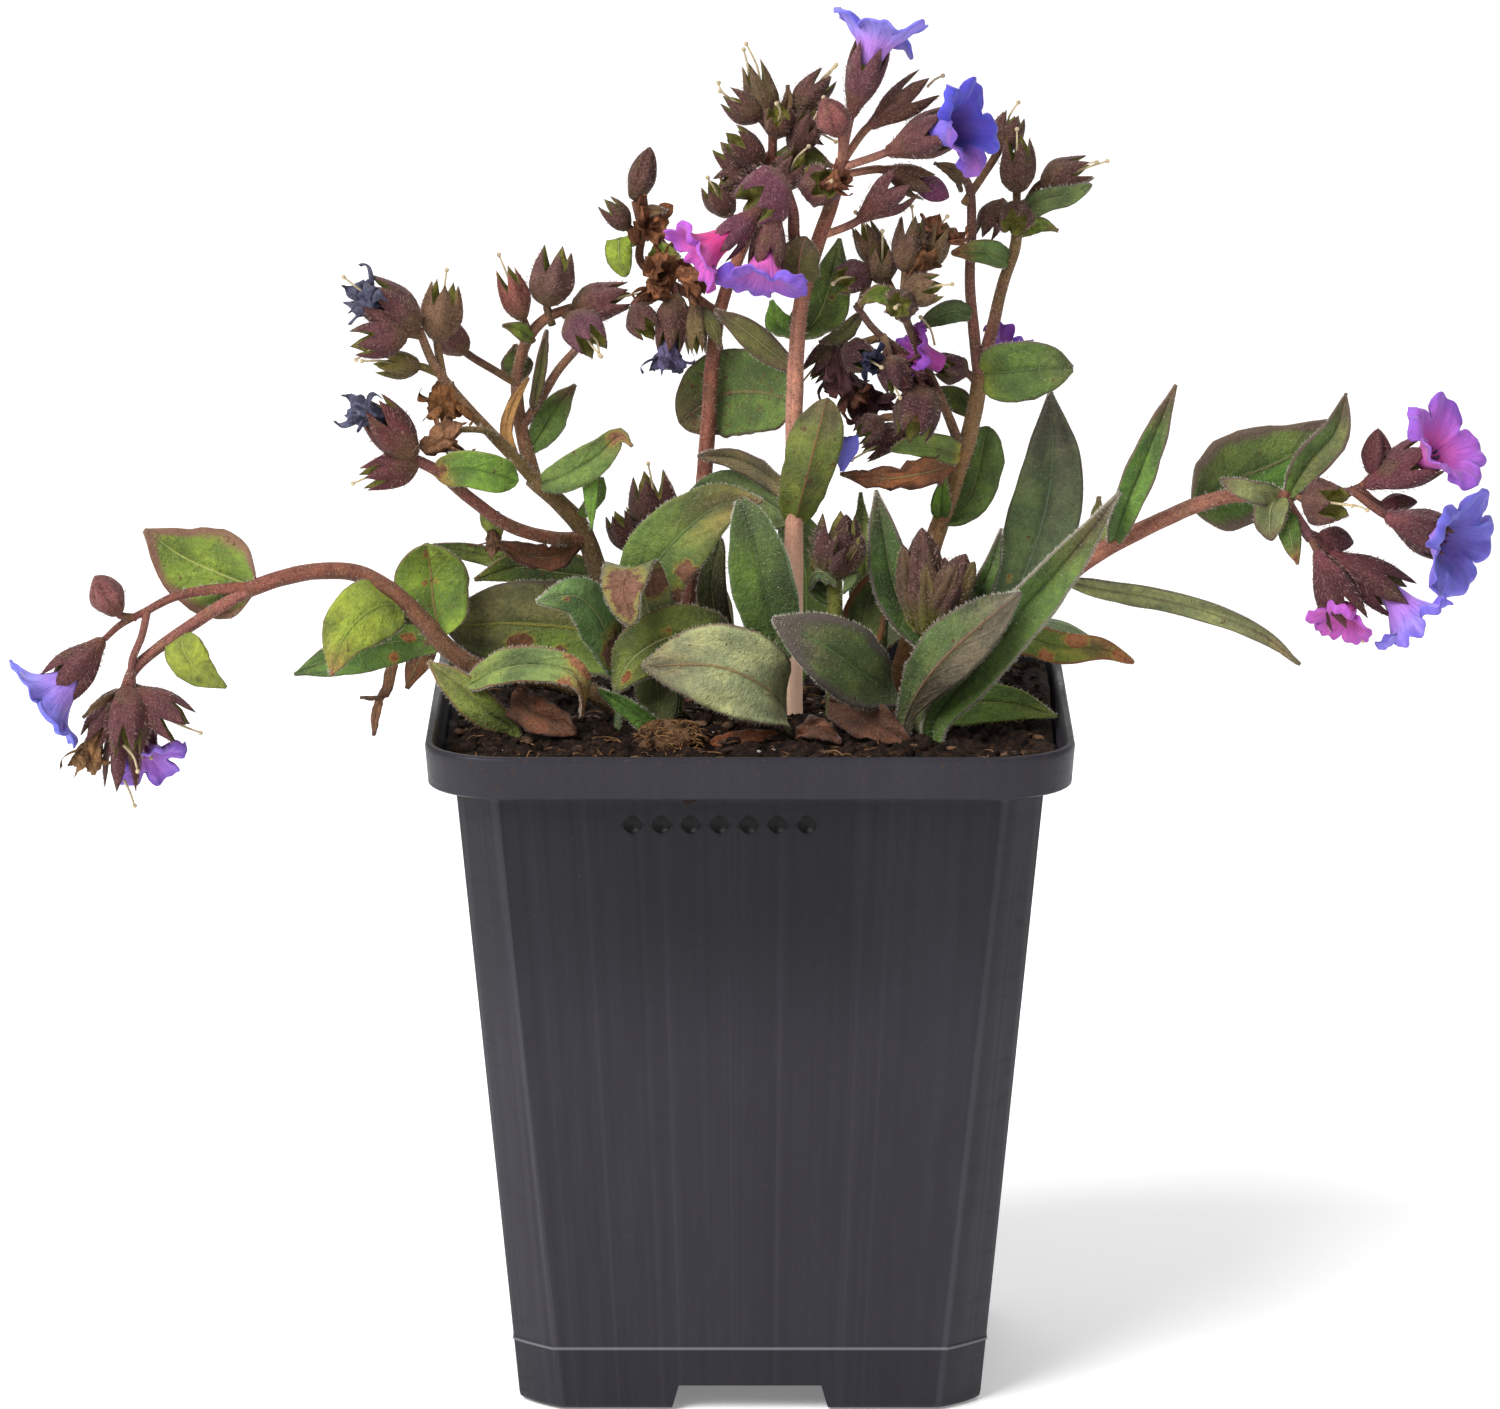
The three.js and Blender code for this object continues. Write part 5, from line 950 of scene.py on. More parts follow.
# each leaf's colours, on the side that faces the front; spots of rust and burnt patches by their place
leafLooks = {
    "trail": {"tone": (124, 150, 58), "tip": (116, 138, 58), "edge": (142, 96, 82), "rim": 0.34,
        "rust": 0.5, "rib": (158, 164, 88)},
    "lime": {"tone": (140, 156, 60), "edge": (122, 116, 62), "rim": 0.12, "rib": (166, 170, 90)},
    "twig": {"tone": (108, 82, 56), "edge": (86, 62, 50), "rim": 0.2},
    "bright": {"tone": (140, 160, 58), "tip": (150, 128, 74), "edge": (120, 88, 66), "rim": 0.05,
        "rib": (118, 136, 52), "patches": [(0.97, 0, 1.6)], "burnt": (150, 98, 74)},
    "rusted": {"tone": (88, 124, 52), "tip": (78, 104, 56), "base": (112, 142, 44), "edge": (112, 78, 58),
        "rim": 0.05, "patches": [(0.24, 0.2, 1.5), (0.36, -0.7, 1.4)], "burnt": (168, 102, 62)},
    "roundLeaf": {"tone": (122, 152, 52), "tip": (132, 158, 62), "half": (108, 138, 52),
        "rib": (136, 96, 62), "edge": (122, 96, 62), "rim": 0.05, "rust": 0.4, "patches": [(0.62, 0.12, 1),
        (0.58, -0.2, 0.8), (0.9, -0.1, 1)], "burnt": (142, 92, 58)},
    "curl": {"tone": (132, 92, 72), "tip": (118, 78, 58), "edge": (96, 66, 52), "rim": 0.2, "hair": 0.3},
    "rustHang": {"tone": (138, 90, 62), "tip": (112, 70, 50), "base": (104, 102, 56), "edge": (96, 62, 46),
        "rim": 0.15, "hair": 0.4},
    "sprig": {"tone": (118, 142, 52), "tip": (128, 112, 62), "edge": (118, 90, 62), "rim": 0.1},
    "sprigDark": {"tone": (98, 120, 50), "tip": (106, 96, 62), "edge": (106, 78, 66), "rim": 0.24},
    "oliveFold": {"tone": (92, 92, 46), "base": (86, 68, 50), "tip": (88, 72, 52), "edge": (92, 66, 52),
        "rim": 0.25},
    "greyTwist": {"tone": (88, 118, 50), "tip": (112, 86, 68), "edge": (128, 128, 96), "rim": 0.1},
    "tan": {"tone": (178, 136, 88), "tip": (166, 122, 74), "edge": (140, 98, 62), "rim": 0.2, "hair": 0.3},
    "lanceGreen": {"tone": (106, 134, 66), "tip": (138, 100, 72), "edge": (128, 140, 84), "rim": 0.08,
        "rib": (122, 148, 76), "patches": [(0.88, 0, 2.6)], "burnt": (140, 98, 72), "rust": 0.3},
    "yellowBased": {"tone": (102, 140, 48), "tip": (106, 148, 52), "base": (128, 84, 54),
        "edge": (140, 150, 60), "rim": 0.08, "rib": (80, 106, 40), "patches": [(0.06, 0, 2)],
        "burnt": (122, 80, 54)},
    "narrowGreen": {"tone": (98, 140, 48), "edge": (96, 108, 50), "rim": 0.08},
    "limeTwig": {"tone": (122, 136, 62), "tip": (118, 104, 62), "edge": (108, 88, 60), "rim": 0.15},
    "brownTorn": {"tone": (118, 72, 50), "tip": (134, 84, 56), "torn": 0.5, "edge": (96, 58, 44),
        "rim": 0.25, "crinkle": 0.5, "hair": 0.4},
    "darkGreen": {"tone": (72, 94, 34), "tip": (112, 130, 46), "half": (62, 82, 32), "edge": (130, 108, 52),
        "rim": 0.12, "rust": 0.4},
    "purpleEdged": {"tone": (112, 130, 62), "edge": (112, 88, 76), "rim": 0.14, "rust": 0.6},
    "brightSprig": {"tone": (132, 156, 48), "edge": (92, 96, 50), "rim": 0.14},
    "pinkRibbed": {"tone": (110, 106, 60), "tip": (112, 92, 70), "rib": (156, 104, 92),
        "edge": (96, 78, 60), "rim": 0.12, "under": True, "back": (92, 108, 52)},
    "tallGreen": {"tone": (84, 108, 38), "tip": (84, 100, 56), "edge": (96, 90, 62), "rim": 0.06,
        "patches": [(0.5, 0.25, 0.8)], "burnt": (86, 52, 36)},
    "brownSpecked": {"tone": (88, 116, 48), "tip": (98, 88, 50), "base": (88, 116, 44),
        "rib": (112, 92, 56), "edge": (92, 72, 50), "rim": 0.1, "rust": 0.7, "under": True},
    "claspingLeaf": {"form": "tongue", "tone": (104, 118, 50), "tip": (108, 100, 70),
        "base": (118, 136, 48), "rib": (124, 84, 52), "edge": (118, 104, 60), "rim": 0.06, "rust": 0.55,
        "under": True, "hair": 0.5},
    "brownGrey": {"tone": (106, 96, 68), "tip": (118, 96, 72), "edge": (84, 68, 52), "rim": 0.2},
    "greyGreen": {"tone": (96, 116, 68), "edge": (96, 100, 70), "rim": 0.08},
    "uprightGreen": {"form": "broad", "tone": (88, 116, 52), "tip": (96, 112, 60), "rib": (66, 90, 42),
        "edge": (104, 88, 72), "rim": 0.08, "base": (128, 146, 56)},
    "roundGreen": {"form": "tongue", "tone": (90, 120, 58), "tip": (98, 126, 66), "edge": (98, 88, 60),
        "rim": 0.05, "half": (98, 126, 64), "rust": 0.35},
    "brownTipGreen": {"tone": (88, 120, 50), "tip": (136, 92, 68), "edge": (110, 100, 52), "rim": 0.08,
        "patches": [(0.97, 0, 1.6)], "burnt": (132, 82, 62)},
    "deepGreen": {"tone": (66, 90, 42), "tip": (82, 88, 56), "edge": (86, 82, 58), "rim": 0.08},
    "yellowToGreen": {"tone": (104, 130, 60), "base": (206, 190, 84), "edge": (120, 104, 56), "rim": 0.1},
    "tornOrange": {"tone": (138, 84, 52), "tip": (110, 64, 44), "torn": 0.9, "edge": (104, 62, 44),
        "rim": 0.2, "crinkle": 0.4, "hair": 0.3},
    "trailFold": {"tone": (78, 116, 44), "tip": (112, 92, 74), "edge": (118, 92, 80), "rim": 0.1,
        "half": (88, 124, 52)},
    "longGrey": {"tone": (128, 138, 96), "tip": (124, 108, 82), "rib": (108, 78, 66),
        "edge": (112, 104, 80), "rim": 0.14, "under": True},
    "trailBroad": {"tone": (94, 116, 56), "half": (84, 132, 46), "tip": (92, 92, 64), "edge": (110, 86, 76),
        "rim": 0.34, "rib": (106, 98, 62)},
    "foldedTip": {"tone": (84, 112, 50), "half": (100, 108, 66), "tip": (98, 84, 70), "edge": (108, 86, 76),
        "rim": 0.2},
    "greyPurple": {"tone": (126, 136, 92), "tip": (108, 96, 82), "edge": (104, 78, 70), "rim": 0.14,
        "under": True},
    "shootLeaf": {"tone": (66, 96, 40), "half": (74, 104, 48), "tip": (82, 86, 62), "edge": (102, 86, 80),
        "rim": 0.16, "hair": 2},
    "broadLeft": {"tone": (118, 146, 62), "half": (128, 130, 90), "base": (108, 146, 52),
        "tip": (116, 112, 78), "rib": (150, 142, 60), "edge": (104, 90, 76), "rim": 0.12, "hair": 1.6,
        "rust": 0.3, "patches": [(0.72, -0.5, 2.6), (0.56, -0.6, 2), (0.36, 0.1, 1.5)],
        "burnt": (118, 72, 52)},
    "rimLeaf": {"tone": (124, 142, 68), "tip": (132, 136, 80), "edge": (132, 98, 62), "rim": 0.16,
        "hair": 1.5},
    "rimHook": {"tone": (116, 140, 84), "tip": (152, 98, 68), "base": (132, 152, 80), "edge": (140, 96, 72),
        "rim": 0.1, "hair": 2, "patches": [(0.72, -1, 2.6), (0.72, 1, 2.6), (0.97, 0, 3.6)],
        "burnt": (150, 96, 68)},
    "paleBent": {"tone": (176, 186, 146), "tip": (122, 118, 96), "base": (186, 184, 118),
        "rib": (128, 94, 62), "edge": (122, 96, 80), "rim": 0.07, "under": True, "back": (104, 118, 66),
        "rust": 0.25, "hair": 0.8},
    "darkFront": {"tone": (88, 108, 60), "tip": (96, 88, 76), "rib": (86, 116, 60), "edge": (94, 82, 76),
        "rim": 0.3, "hair": 2, "base": (84, 104, 60)},
    "longFolded": {"tone": (80, 112, 48), "half": (94, 124, 60), "tip": (130, 110, 92),
        "edge": (150, 142, 124), "rim": 0.13, "hair": 2.4, "rib": (88, 126, 56)},
    "greyFront": {"tone": (124, 116, 104), "half": (88, 112, 62), "rib": (126, 80, 66),
        "edge": (112, 96, 86), "rim": 0.1, "under": True, "hair": 1.6, "base": (96, 92, 66)},
    "lowRight": {"tone": (88, 120, 48), "rib": (150, 146, 70), "edge": (132, 138, 52), "rim": 0.08,
        "base": (90, 108, 42), "tip": (98, 112, 52)},
    "brownTipped": {"tone": (100, 120, 40), "tip": (168, 112, 76), "edge": (132, 84, 48), "rim": 0.2,
        "patches": [(0.72, -0.6, 2.2), (0.96, 0, 3.2), (0.6, 0.7, 1.4)], "burnt": (158, 98, 62),
        "hair": 0.6},
    "bigGrey": {"tone": (92, 116, 76), "half": (102, 118, 88), "tip": (108, 106, 98), "rib": (104, 122, 96),
        "edge": (96, 78, 66), "rim": 0.05, "rust": 0.3, "patches": [(0.3, 0.35, 1.6), (0.42, -0.4, 0.9)],
        "burnt": (150, 92, 62)},
    "uprightHairy": {"tone": (96, 126, 56), "half": (70, 92, 46), "tip": (80, 102, 54), "rib": (62, 84, 42),
        "edge": (112, 136, 92), "rim": 0.07, "hair": 3},
    "brownPatched": {"tone": (98, 124, 60), "tip": (128, 116, 68), "edge": (126, 140, 70), "rim": 0.05,
        "hair": 1.4, "rib": (78, 96, 52), "patches": [(0.46, 0.85, 4.4), (0.62, 1, 3), (1, 0, 3.4)],
        "burnt": (116, 74, 58)},
    "spotted": {"tone": (96, 134, 76), "tip": (100, 132, 80), "base": (92, 84, 56), "edge": (104, 132, 84),
        "rim": 0.08, "hair": 2.4, "patches": [(0.42, 0.2, 4.2), (0.86, -0.2, 0.8)], "burnt": (124, 82, 66)},
    "drooping": {"tone": (116, 126, 84), "tip": (152, 106, 82), "edge": (118, 104, 80), "rim": 0.1,
        "patches": [(0.86, 0, 5), (0.6, 0.6, 3)], "burnt": (124, 82, 68), "hair": 2},
    "yellowLow": {"tone": (98, 112, 46), "edge": (112, 96, 50), "rim": 0.1, "base": (78, 96, 42),
        "patches": [(0.5, -0.5, 1.4), (0.66, 0.2, 1.2), (0.92, -0.4, 1.8)], "burnt": (134, 72, 40),
        "hair": 1.5},
    "smallSoil": {"tone": (84, 128, 46), "edge": (96, 118, 60), "rim": 0.1, "hair": 2},
    "brownEdged": {"tone": (98, 114, 64), "edge": (156, 98, 60), "rim": 0.3, "hair": 1.4},
    "greenUpright": {"tone": (112, 130, 64), "rib": (96, 112, 60), "edge": (96, 104, 62), "rim": 0.06,
        "hair": 1.4},
    "darkBack": {"tone": (66, 74, 38), "half": (50, 46, 30), "edge": (70, 52, 38), "rim": 0.1},
    "backGreen": {"tone": (90, 116, 54), "edge": (102, 86, 62), "rim": 0.08, "rib": (120, 140, 76)},
    "backOlive": {"tone": (102, 118, 62), "edge": (112, 86, 62), "rim": 0.12, "rib": (128, 132, 82),
        "rust": 0.4},
    "dryBrown": {"tone": (104, 62, 42), "tip": (118, 70, 44), "torn": 0.3, "edge": (84, 52, 40),
        "rim": 0.15, "crinkle": 0.7, "hair": 0, "rib": (80, 50, 36), "rust": 0},
    "dryPlum": {"tone": (96, 58, 42), "tip": (88, 48, 32), "torn": 0.3, "edge": (98, 72, 66), "rim": 0.1,
        "crinkle": 0.7, "hair": 0, "rib": (84, 54, 42), "rust": 0},
    "dryOrange": {"tone": (128, 72, 42), "tip": (112, 60, 34), "torn": 0.3, "edge": (110, 62, 40),
        "rim": 0.1, "crinkle": 0.3, "hair": 0, "rib": (130, 74, 44), "rust": 0},
}
print("the plant's plan: points as they look from in front, in mm")

# stems: points, width at the foot and at the tip, and whether it roots in the soil
# leaves: points, width, form, way across, fold, wave and look
# heads: kind, where the stalk starts, foot, tip and width
stemPlans = {}
stemPlans["left_trailing_stem"] = {
    "stems": [
        ([(-18, 93, 0), (-27, 97.6, -2), (-36, 98.8, -3), (-42, 101.8, -4), (-46.5, 106.8, -4),
         (-51, 111, -4), (-56, 113.5, -3), (-61, 113.7, -3), (-66, 112.8, -3), (-71, 111, -3)], 3, 2.3,
         True),
        ([(-70, 111.3, -3), (-76, 111, -3), (-81, 110.1, -3), (-85.5, 107.9, -3), (-89.2, 105.9, -3),
         (-91.4, 103.9, -3)], 1.7, 0.9),
        ([(-70, 111, -3), (-75, 108.6, -3), (-80, 105.3, -3), (-84.5, 102.1, -3), (-87.4, 99.4, -3),
         (-88.6, 96.6, -2)], 1.9, 1.5),
        ([(-85.3, 107.9, -3), (-86.2, 104.2, -4), (-87.6, 100.6, -4), (-87.6, 97, -3)], 1.1, 1.1),
    ],
    "leaves": [
        ([(-70, 111.8, -2.4), (-74.5, 113, -0.6), (-80, 115.6, 0), (-85.6, 119.6, -1)], 12.8, "ovate",
         (0.25, 0, 1), 0.12, 0.02, "trail"),
        ([(-81.4, 106.4, -4), (-80.4, 102.6, -5), (-78.4, 99.4, -5), (-74.3, 96.9, -4)], 6, "ovate",
         (0.9, 0, 0.5), 0.2, 0, "lime"),
        ([(-89.6, 96.8, -3), (-92, 95, -5), (-94.7, 92.5, -5.5)], 1.5, "small", (0.5, 0, 0.8), 0.25, 0,
         "twig"),
        ([(-48, 110, -5), (-53, 108.4, -8), (-57.2, 104.6, -10), (-59.4, 98.6, -9)], 9.4, "ovate",
         (0.7, 0, -0.7), 0.18, 0.02, "bright"),
        ([(-43.6, 102.6, -4), (-50, 103.6, -3), (-57, 101.6, -3), (-64.6, 98.8, -2)], 6.8, "lance",
         (0, -0.1, 1), 0.15, 0.03, "rusted"),
        ([(-44.2, 104, -2.6), (-44.8, 109, 0), (-45.2, 114, 1.4), (-45.8, 117.6, 0)], 10.6, "round",
         (1, 0, 0), 0.18, 0.02, "roundLeaf"),
        ([(-50, 102.4, -3), (-50.9, 99.4, -2), (-52, 95.8, -1), (-55.3, 95.4, -2)], 1.6, "strap",
         (1, 0, 0.2), 0.3, 0, "curl"),
        ([(-52.2, 96.2, -1), (-53.1, 93, -1), (-53.4, 89.9, -1)], 1.2, "strap", (1, 0, 0), 0, 0, "curl"),
        ([(-46.4, 102.6, -3), (-47.4, 99.8, -3), (-48.7, 96.7, -3)], 3.8, "small", (1, 0, 0), 0.3, 0,
         "rustHang"),
    ],
    "heads": [
        ("bud", (-87, 107.2, -3), (-89.4, 107.4, -3.5), (-92.7, 113, -5), 5.3),
        ("bell", None, (-91.4, 103.9, -3), (-98.7, 96.4, -4), 6.8),
        ("bell", None, (-88.4, 97.3, -2), (-80, 90.6, -4), 6.6),
        ("urn", None, (-88.6, 97.3, -3), (-88.6, 86.5, -8), 6.2),
        ("bell", None, (-89.6, 95, -1), (-89.2, 81.6, -2), 5.8),
        ("urn", None, (-87.9, 96.8, 0), (-85.4, 87.6, 3), 5.4),
        ("urn", None, (-89.4, 96.4, -2), (-94, 88.5, -3), 5),
        ("withered", None, (-92, 91.4, -2.8), (-95.4, 83.8, -3.2), 4.6),
    ],
}

stemPlans["left_middle_stem"] = {
    "stems": [
        ([(-14, 93.5, 5), (-17, 100, 6), (-20, 108, 6), (-21.8, 114.5, 5), (-24, 120.2, 4), (-27, 123.6, 3),
         (-30.8, 127.1, 2)], 3.4, 2.5, True),
        ([(-30, 126.4, 2), (-33, 129.6, 0), (-38, 135, -2), (-42, 139.6, -4), (-44.6, 143.4, -6),
         (-46.6, 148.3, -7)], 1.9, 1.2),
        ([(-30.2, 126.6, 2), (-32.2, 134, 5), (-32.8, 141, 6), (-31.2, 147, 7), (-28.4, 150, 7.5),
         (-25, 151.3, 8)], 2.1, 1.4),
        ([(-23.4, 118.2, 4), (-28.6, 118.5, -1), (-34, 120.2, -5), (-39, 123.7, -8), (-44.5, 128.3, -10),
         (-47.6, 129.8, -11)], 2, 1.6),
        ([(-31.2, 134.4, 6), (-29.4, 138.6, 6), (-27, 142.5, 4), (-24, 146, 2.5)], 1.4, 1.2),
        ([(-35.6, 132.2, -1), (-37.4, 133.8, -4), (-41.4, 134, -7)], 1, 0.9),
    ],
    "leaves": [
        ([(-31, 147.3, 6.6), (-33, 148.4, 4), (-34.8, 148.9, 3)], 2.6, "small", (0, 0, 1), 0.25, 0,
         "sprig"),
        ([(-32.7, 140.8, 6.6), (-32.9, 143.5, 8.6), (-33, 146.2, 9)], 4.8, "small", (1, 0, 0), 0.25, 0,
         "sprigDark"),
        ([(-30.6, 137, 6.4), (-29.6, 142, 3.5), (-28.6, 148.2, 2)], 1.8, "strap", (1, 0, 0), 0.4, 0,
         "oliveFold"),
        ([(-31.6, 130.6, 3.6), (-29, 134, 6), (-27, 137.5, 8), (-24.6, 140.4, 8)], 4.8, "lance",
         (1, 0, -0.6), 0.25, 0, "greyTwist"),
        ([(-33, 129.6, 0.6), (-34.4, 133.4, 2.4), (-33.4, 137.6, 3), (-31.2, 141.4, 3)], 1.8, "strap",
         (1, 0, 0), 0.2, 0, "tan"),
        ([(-30, 126, 2), (-26, 127.4, -2), (-21.5, 130.2, -3), (-18.2, 133.2, -3), (-16.6, 131.6, -4)], 5.2,
         "lance", (0, 0, -1), 0.15, 0.02, "lanceGreen"),
        ([(-44.2, 128.2, -10), (-40, 128.4, -12), (-36, 127.6, -12), (-32.8, 126.6, -10)], 5.4, "round",
         (0, 0, -1), 0.15, 0, "yellowBased"),
        ([(-23, 121.2, 3.4), (-21.6, 125, 0), (-22.4, 127.4, -1.6), (-22.4, 119.6, -3.4)], 2.8, "lance",
         (1, 0, 0), 0.1, 0, "narrowGreen"),
        ([(-37.6, 122.8, -6.8), (-36.4, 120.6, -5), (-35.6, 117.6, -4)], 3.4, "small", (1, 0, 0), 0.25, 0,
         "limeTwig"),
        ([(-24, 117.6, 3.4), (-28, 115.6, 1), (-32, 116.2, 0), (-35.8, 117.8, 0)], 3.6, "strap",
         (0, 0.2, 1), 0.3, 0.06, "brownTorn"),
        ([(-21.4, 113, 6), (-27, 113.4, 9), (-33, 114.2, 10), (-39, 112.4, 9)], 6.6, "ovate", (0, 0.1, 1),
         0.15, 0.03, "darkGreen"),
        ([(-30, 113.8, 10), (-37, 115.8, 11), (-45, 117.4, 10)], 2.8, "strap", (0, 0, 1), 0.1, 0,
         "purpleEdged"),
    ],
    "heads": [
        ("urn", None, (-46.6, 148.2, -7), (-55, 154.2, -9), 7.2),
        ("withered", None, (-50.8, 151, -8), (-56.4, 154, -10), 4.8),
        ("urn", (-43.4, 141.6, -5), (-44, 146.5, -5), (-42.8, 155.3, -5), 6.2),
        ("urn", (-46.2, 147, -7), (-48.2, 147.6, -9), (-56.2, 146.4, -12), 5.6),
        ("urn", (-43.4, 141.4, -5), (-46.4, 143, -7), (-53, 143.6, -9), 4.4),
        ("urn", (-33.2, 140.2, 6), (-40, 145, 3), (-44.4, 149.6, 1), 4.8),
        ("withered", None, (-43, 141, -4.4), (-43.2, 134.8, -3), 4.6),
        ("urn", (-31.1, 147, 7), (-31.9, 149.6, 6), (-34.6, 157, 4), 4.4),
        ("urn", (-28.6, 149.8, 7.5), (-28.6, 151.6, 7), (-27.2, 160, 6), 6.6),
        ("urn", None, (-25.2, 151.2, 8), (-16.4, 153.2, 8), 5.6),
        ("urn", (-26.6, 150.8, 7.8), (-24.8, 150.4, 6), (-21.6, 145.4, 0.5), 6.2),
        ("withered", None, (-46.6, 131.2, -9.4), (-40.2, 133.9, -7), 4.4),
        ("withered", None, (-36.4, 119.6, -5.2), (-36.2, 116, -4), 2.4),
        ("urn", None, (-47.2, 129.9, -11), (-53.8, 138.2, -13), 6.4),
        ("urn", None, (-46.8, 129, -11), (-55, 126.6, -13), 5.2),
        ("withered", None, (-51.4, 135.2, -12), (-57.4, 137.2, -14), 4),
    ],
}

stemPlans["back_middle_stem"] = {
    "stems": [
        ([(-8, 94.5, 12), (-9, 103, 11), (-8.6, 112, 9), (-7, 122, 7.5), (-6, 134, 7), (-5.2, 145, 7),
         (-4.4, 151, 7)], 2.8, 2, True),
        ([(-4.5, 150, 7), (-3, 155, 8), (-1, 160, 9), (1.4, 166, 9), (3, 172, 8), (3.2, 178, 8)], 1.9, 1.2),
        ([(-4.8, 150.4, 7), (-8, 153, 8), (-12, 155.2, 8), (-15.4, 158, 8), (-15.2, 162, 8),
         (-16.2, 166.5, 8)], 1.6, 1),
    ],
    "leaves": [
        ([(-15.6, 164.6, 7.6), (-13.4, 165.2, 6.6), (-11.5, 165, 6)], 1.8, "small", (0, 0, -1), 0.25, 0,
         "twig"),
        ([(-15.6, 160.6, 7.4), (-18.2, 161.2, 5), (-18.4, 158.6, 4), (-17.4, 155.8, 4)], 3.9, "round",
         (1, 0, 0.2), 0.3, 0, "brightSprig"),
        ([(-14.6, 158, 7.4), (-12, 159.6, 6), (-9.8, 158.4, 5.6)], 2.4, "small", (0, 0, -1), 0.25, 0,
         "sprig"),
        ([(-6.4, 151.6, 7.4), (-5.4, 149, 4), (-4, 145.4, 4)], 2.6, "small", (1, 0, 0), 0.25, 0,
         "oliveFold"),
        ([(3.4, 177.6, 7.6), (5.2, 180, 7), (5.3, 182.9, 7)], 1.9, "small", (1, 0, 0), 0.25, 0, "twig"),
        ([(3, 171.6, 8), (7.4, 173, 7), (11.6, 171.4, 7)], 3.8, "small", (0, 0, -1), 0.25, 0, "sprigDark"),
    ],
    "heads": [
        ("bud", None, (-16, 166.8, 8), (-14, 174.2, 8), 4.2),
        ("urn", (-15.4, 161.6, 8), (-17, 162.6, 7), (-20.6, 166.4, 6), 3.8),
        ("withered", None, (-15.6, 162.4, 8), (-13, 163.2, 5), 4.4),
        ("withered", None, (-14.6, 157.6, 7.6), (-10.6, 156.4, 4), 4.4),
        ("withered", None, (-10.4, 156.8, 6), (-5.4, 153.8, 4), 3.4),
        ("withered", None, (-13, 156, 7), (-13.4, 151.6, 4.6), 3.6),
        ("urn", (-11, 155, 8), (-10.4, 153.4, 6), (-11.6, 144.4, 4), 4.8),
        ("withered", None, (-11.2, 147, 4.6), (-11.8, 141.4, 3.6), 3.6),
        ("urn", (-12.6, 155.4, 8), (-16.4, 151.4, 6.6), (-13.6, 147.6, 2.6), 4.8),
        ("urn", (-8, 152.8, 8), (-8, 152, 6), (-7.4, 144.4, 4), 3.8),
        ("urn", None, (2.6, 177.4, 8), (0.2, 186.4, 8), 4.9),
        ("urn", (3.2, 176, 8), (1.6, 178, 7), (-3.6, 181.6, 6), 4.6),
        ("urn", (3.3, 177, 8), (6.2, 179.2, 8), (11.2, 184.8, 8.5), 5),
        ("urn", (3, 173, 8), (1.6, 171.8, 6.4), (-3, 176, 4), 5.2),
        ("urn", (3.2, 175.4, 8), (4.2, 176, 7), (3.8, 179.6, 3.4), 4.6),
        ("urn", (3.3, 176.6, 8), (6.4, 178.4, 8), (11.2, 175.4, 7), 4.4),
        ("urn", (2.4, 170, 8.6), (-0.6, 170.8, 7), (-4.8, 168.6, 5), 4),
    ],
}

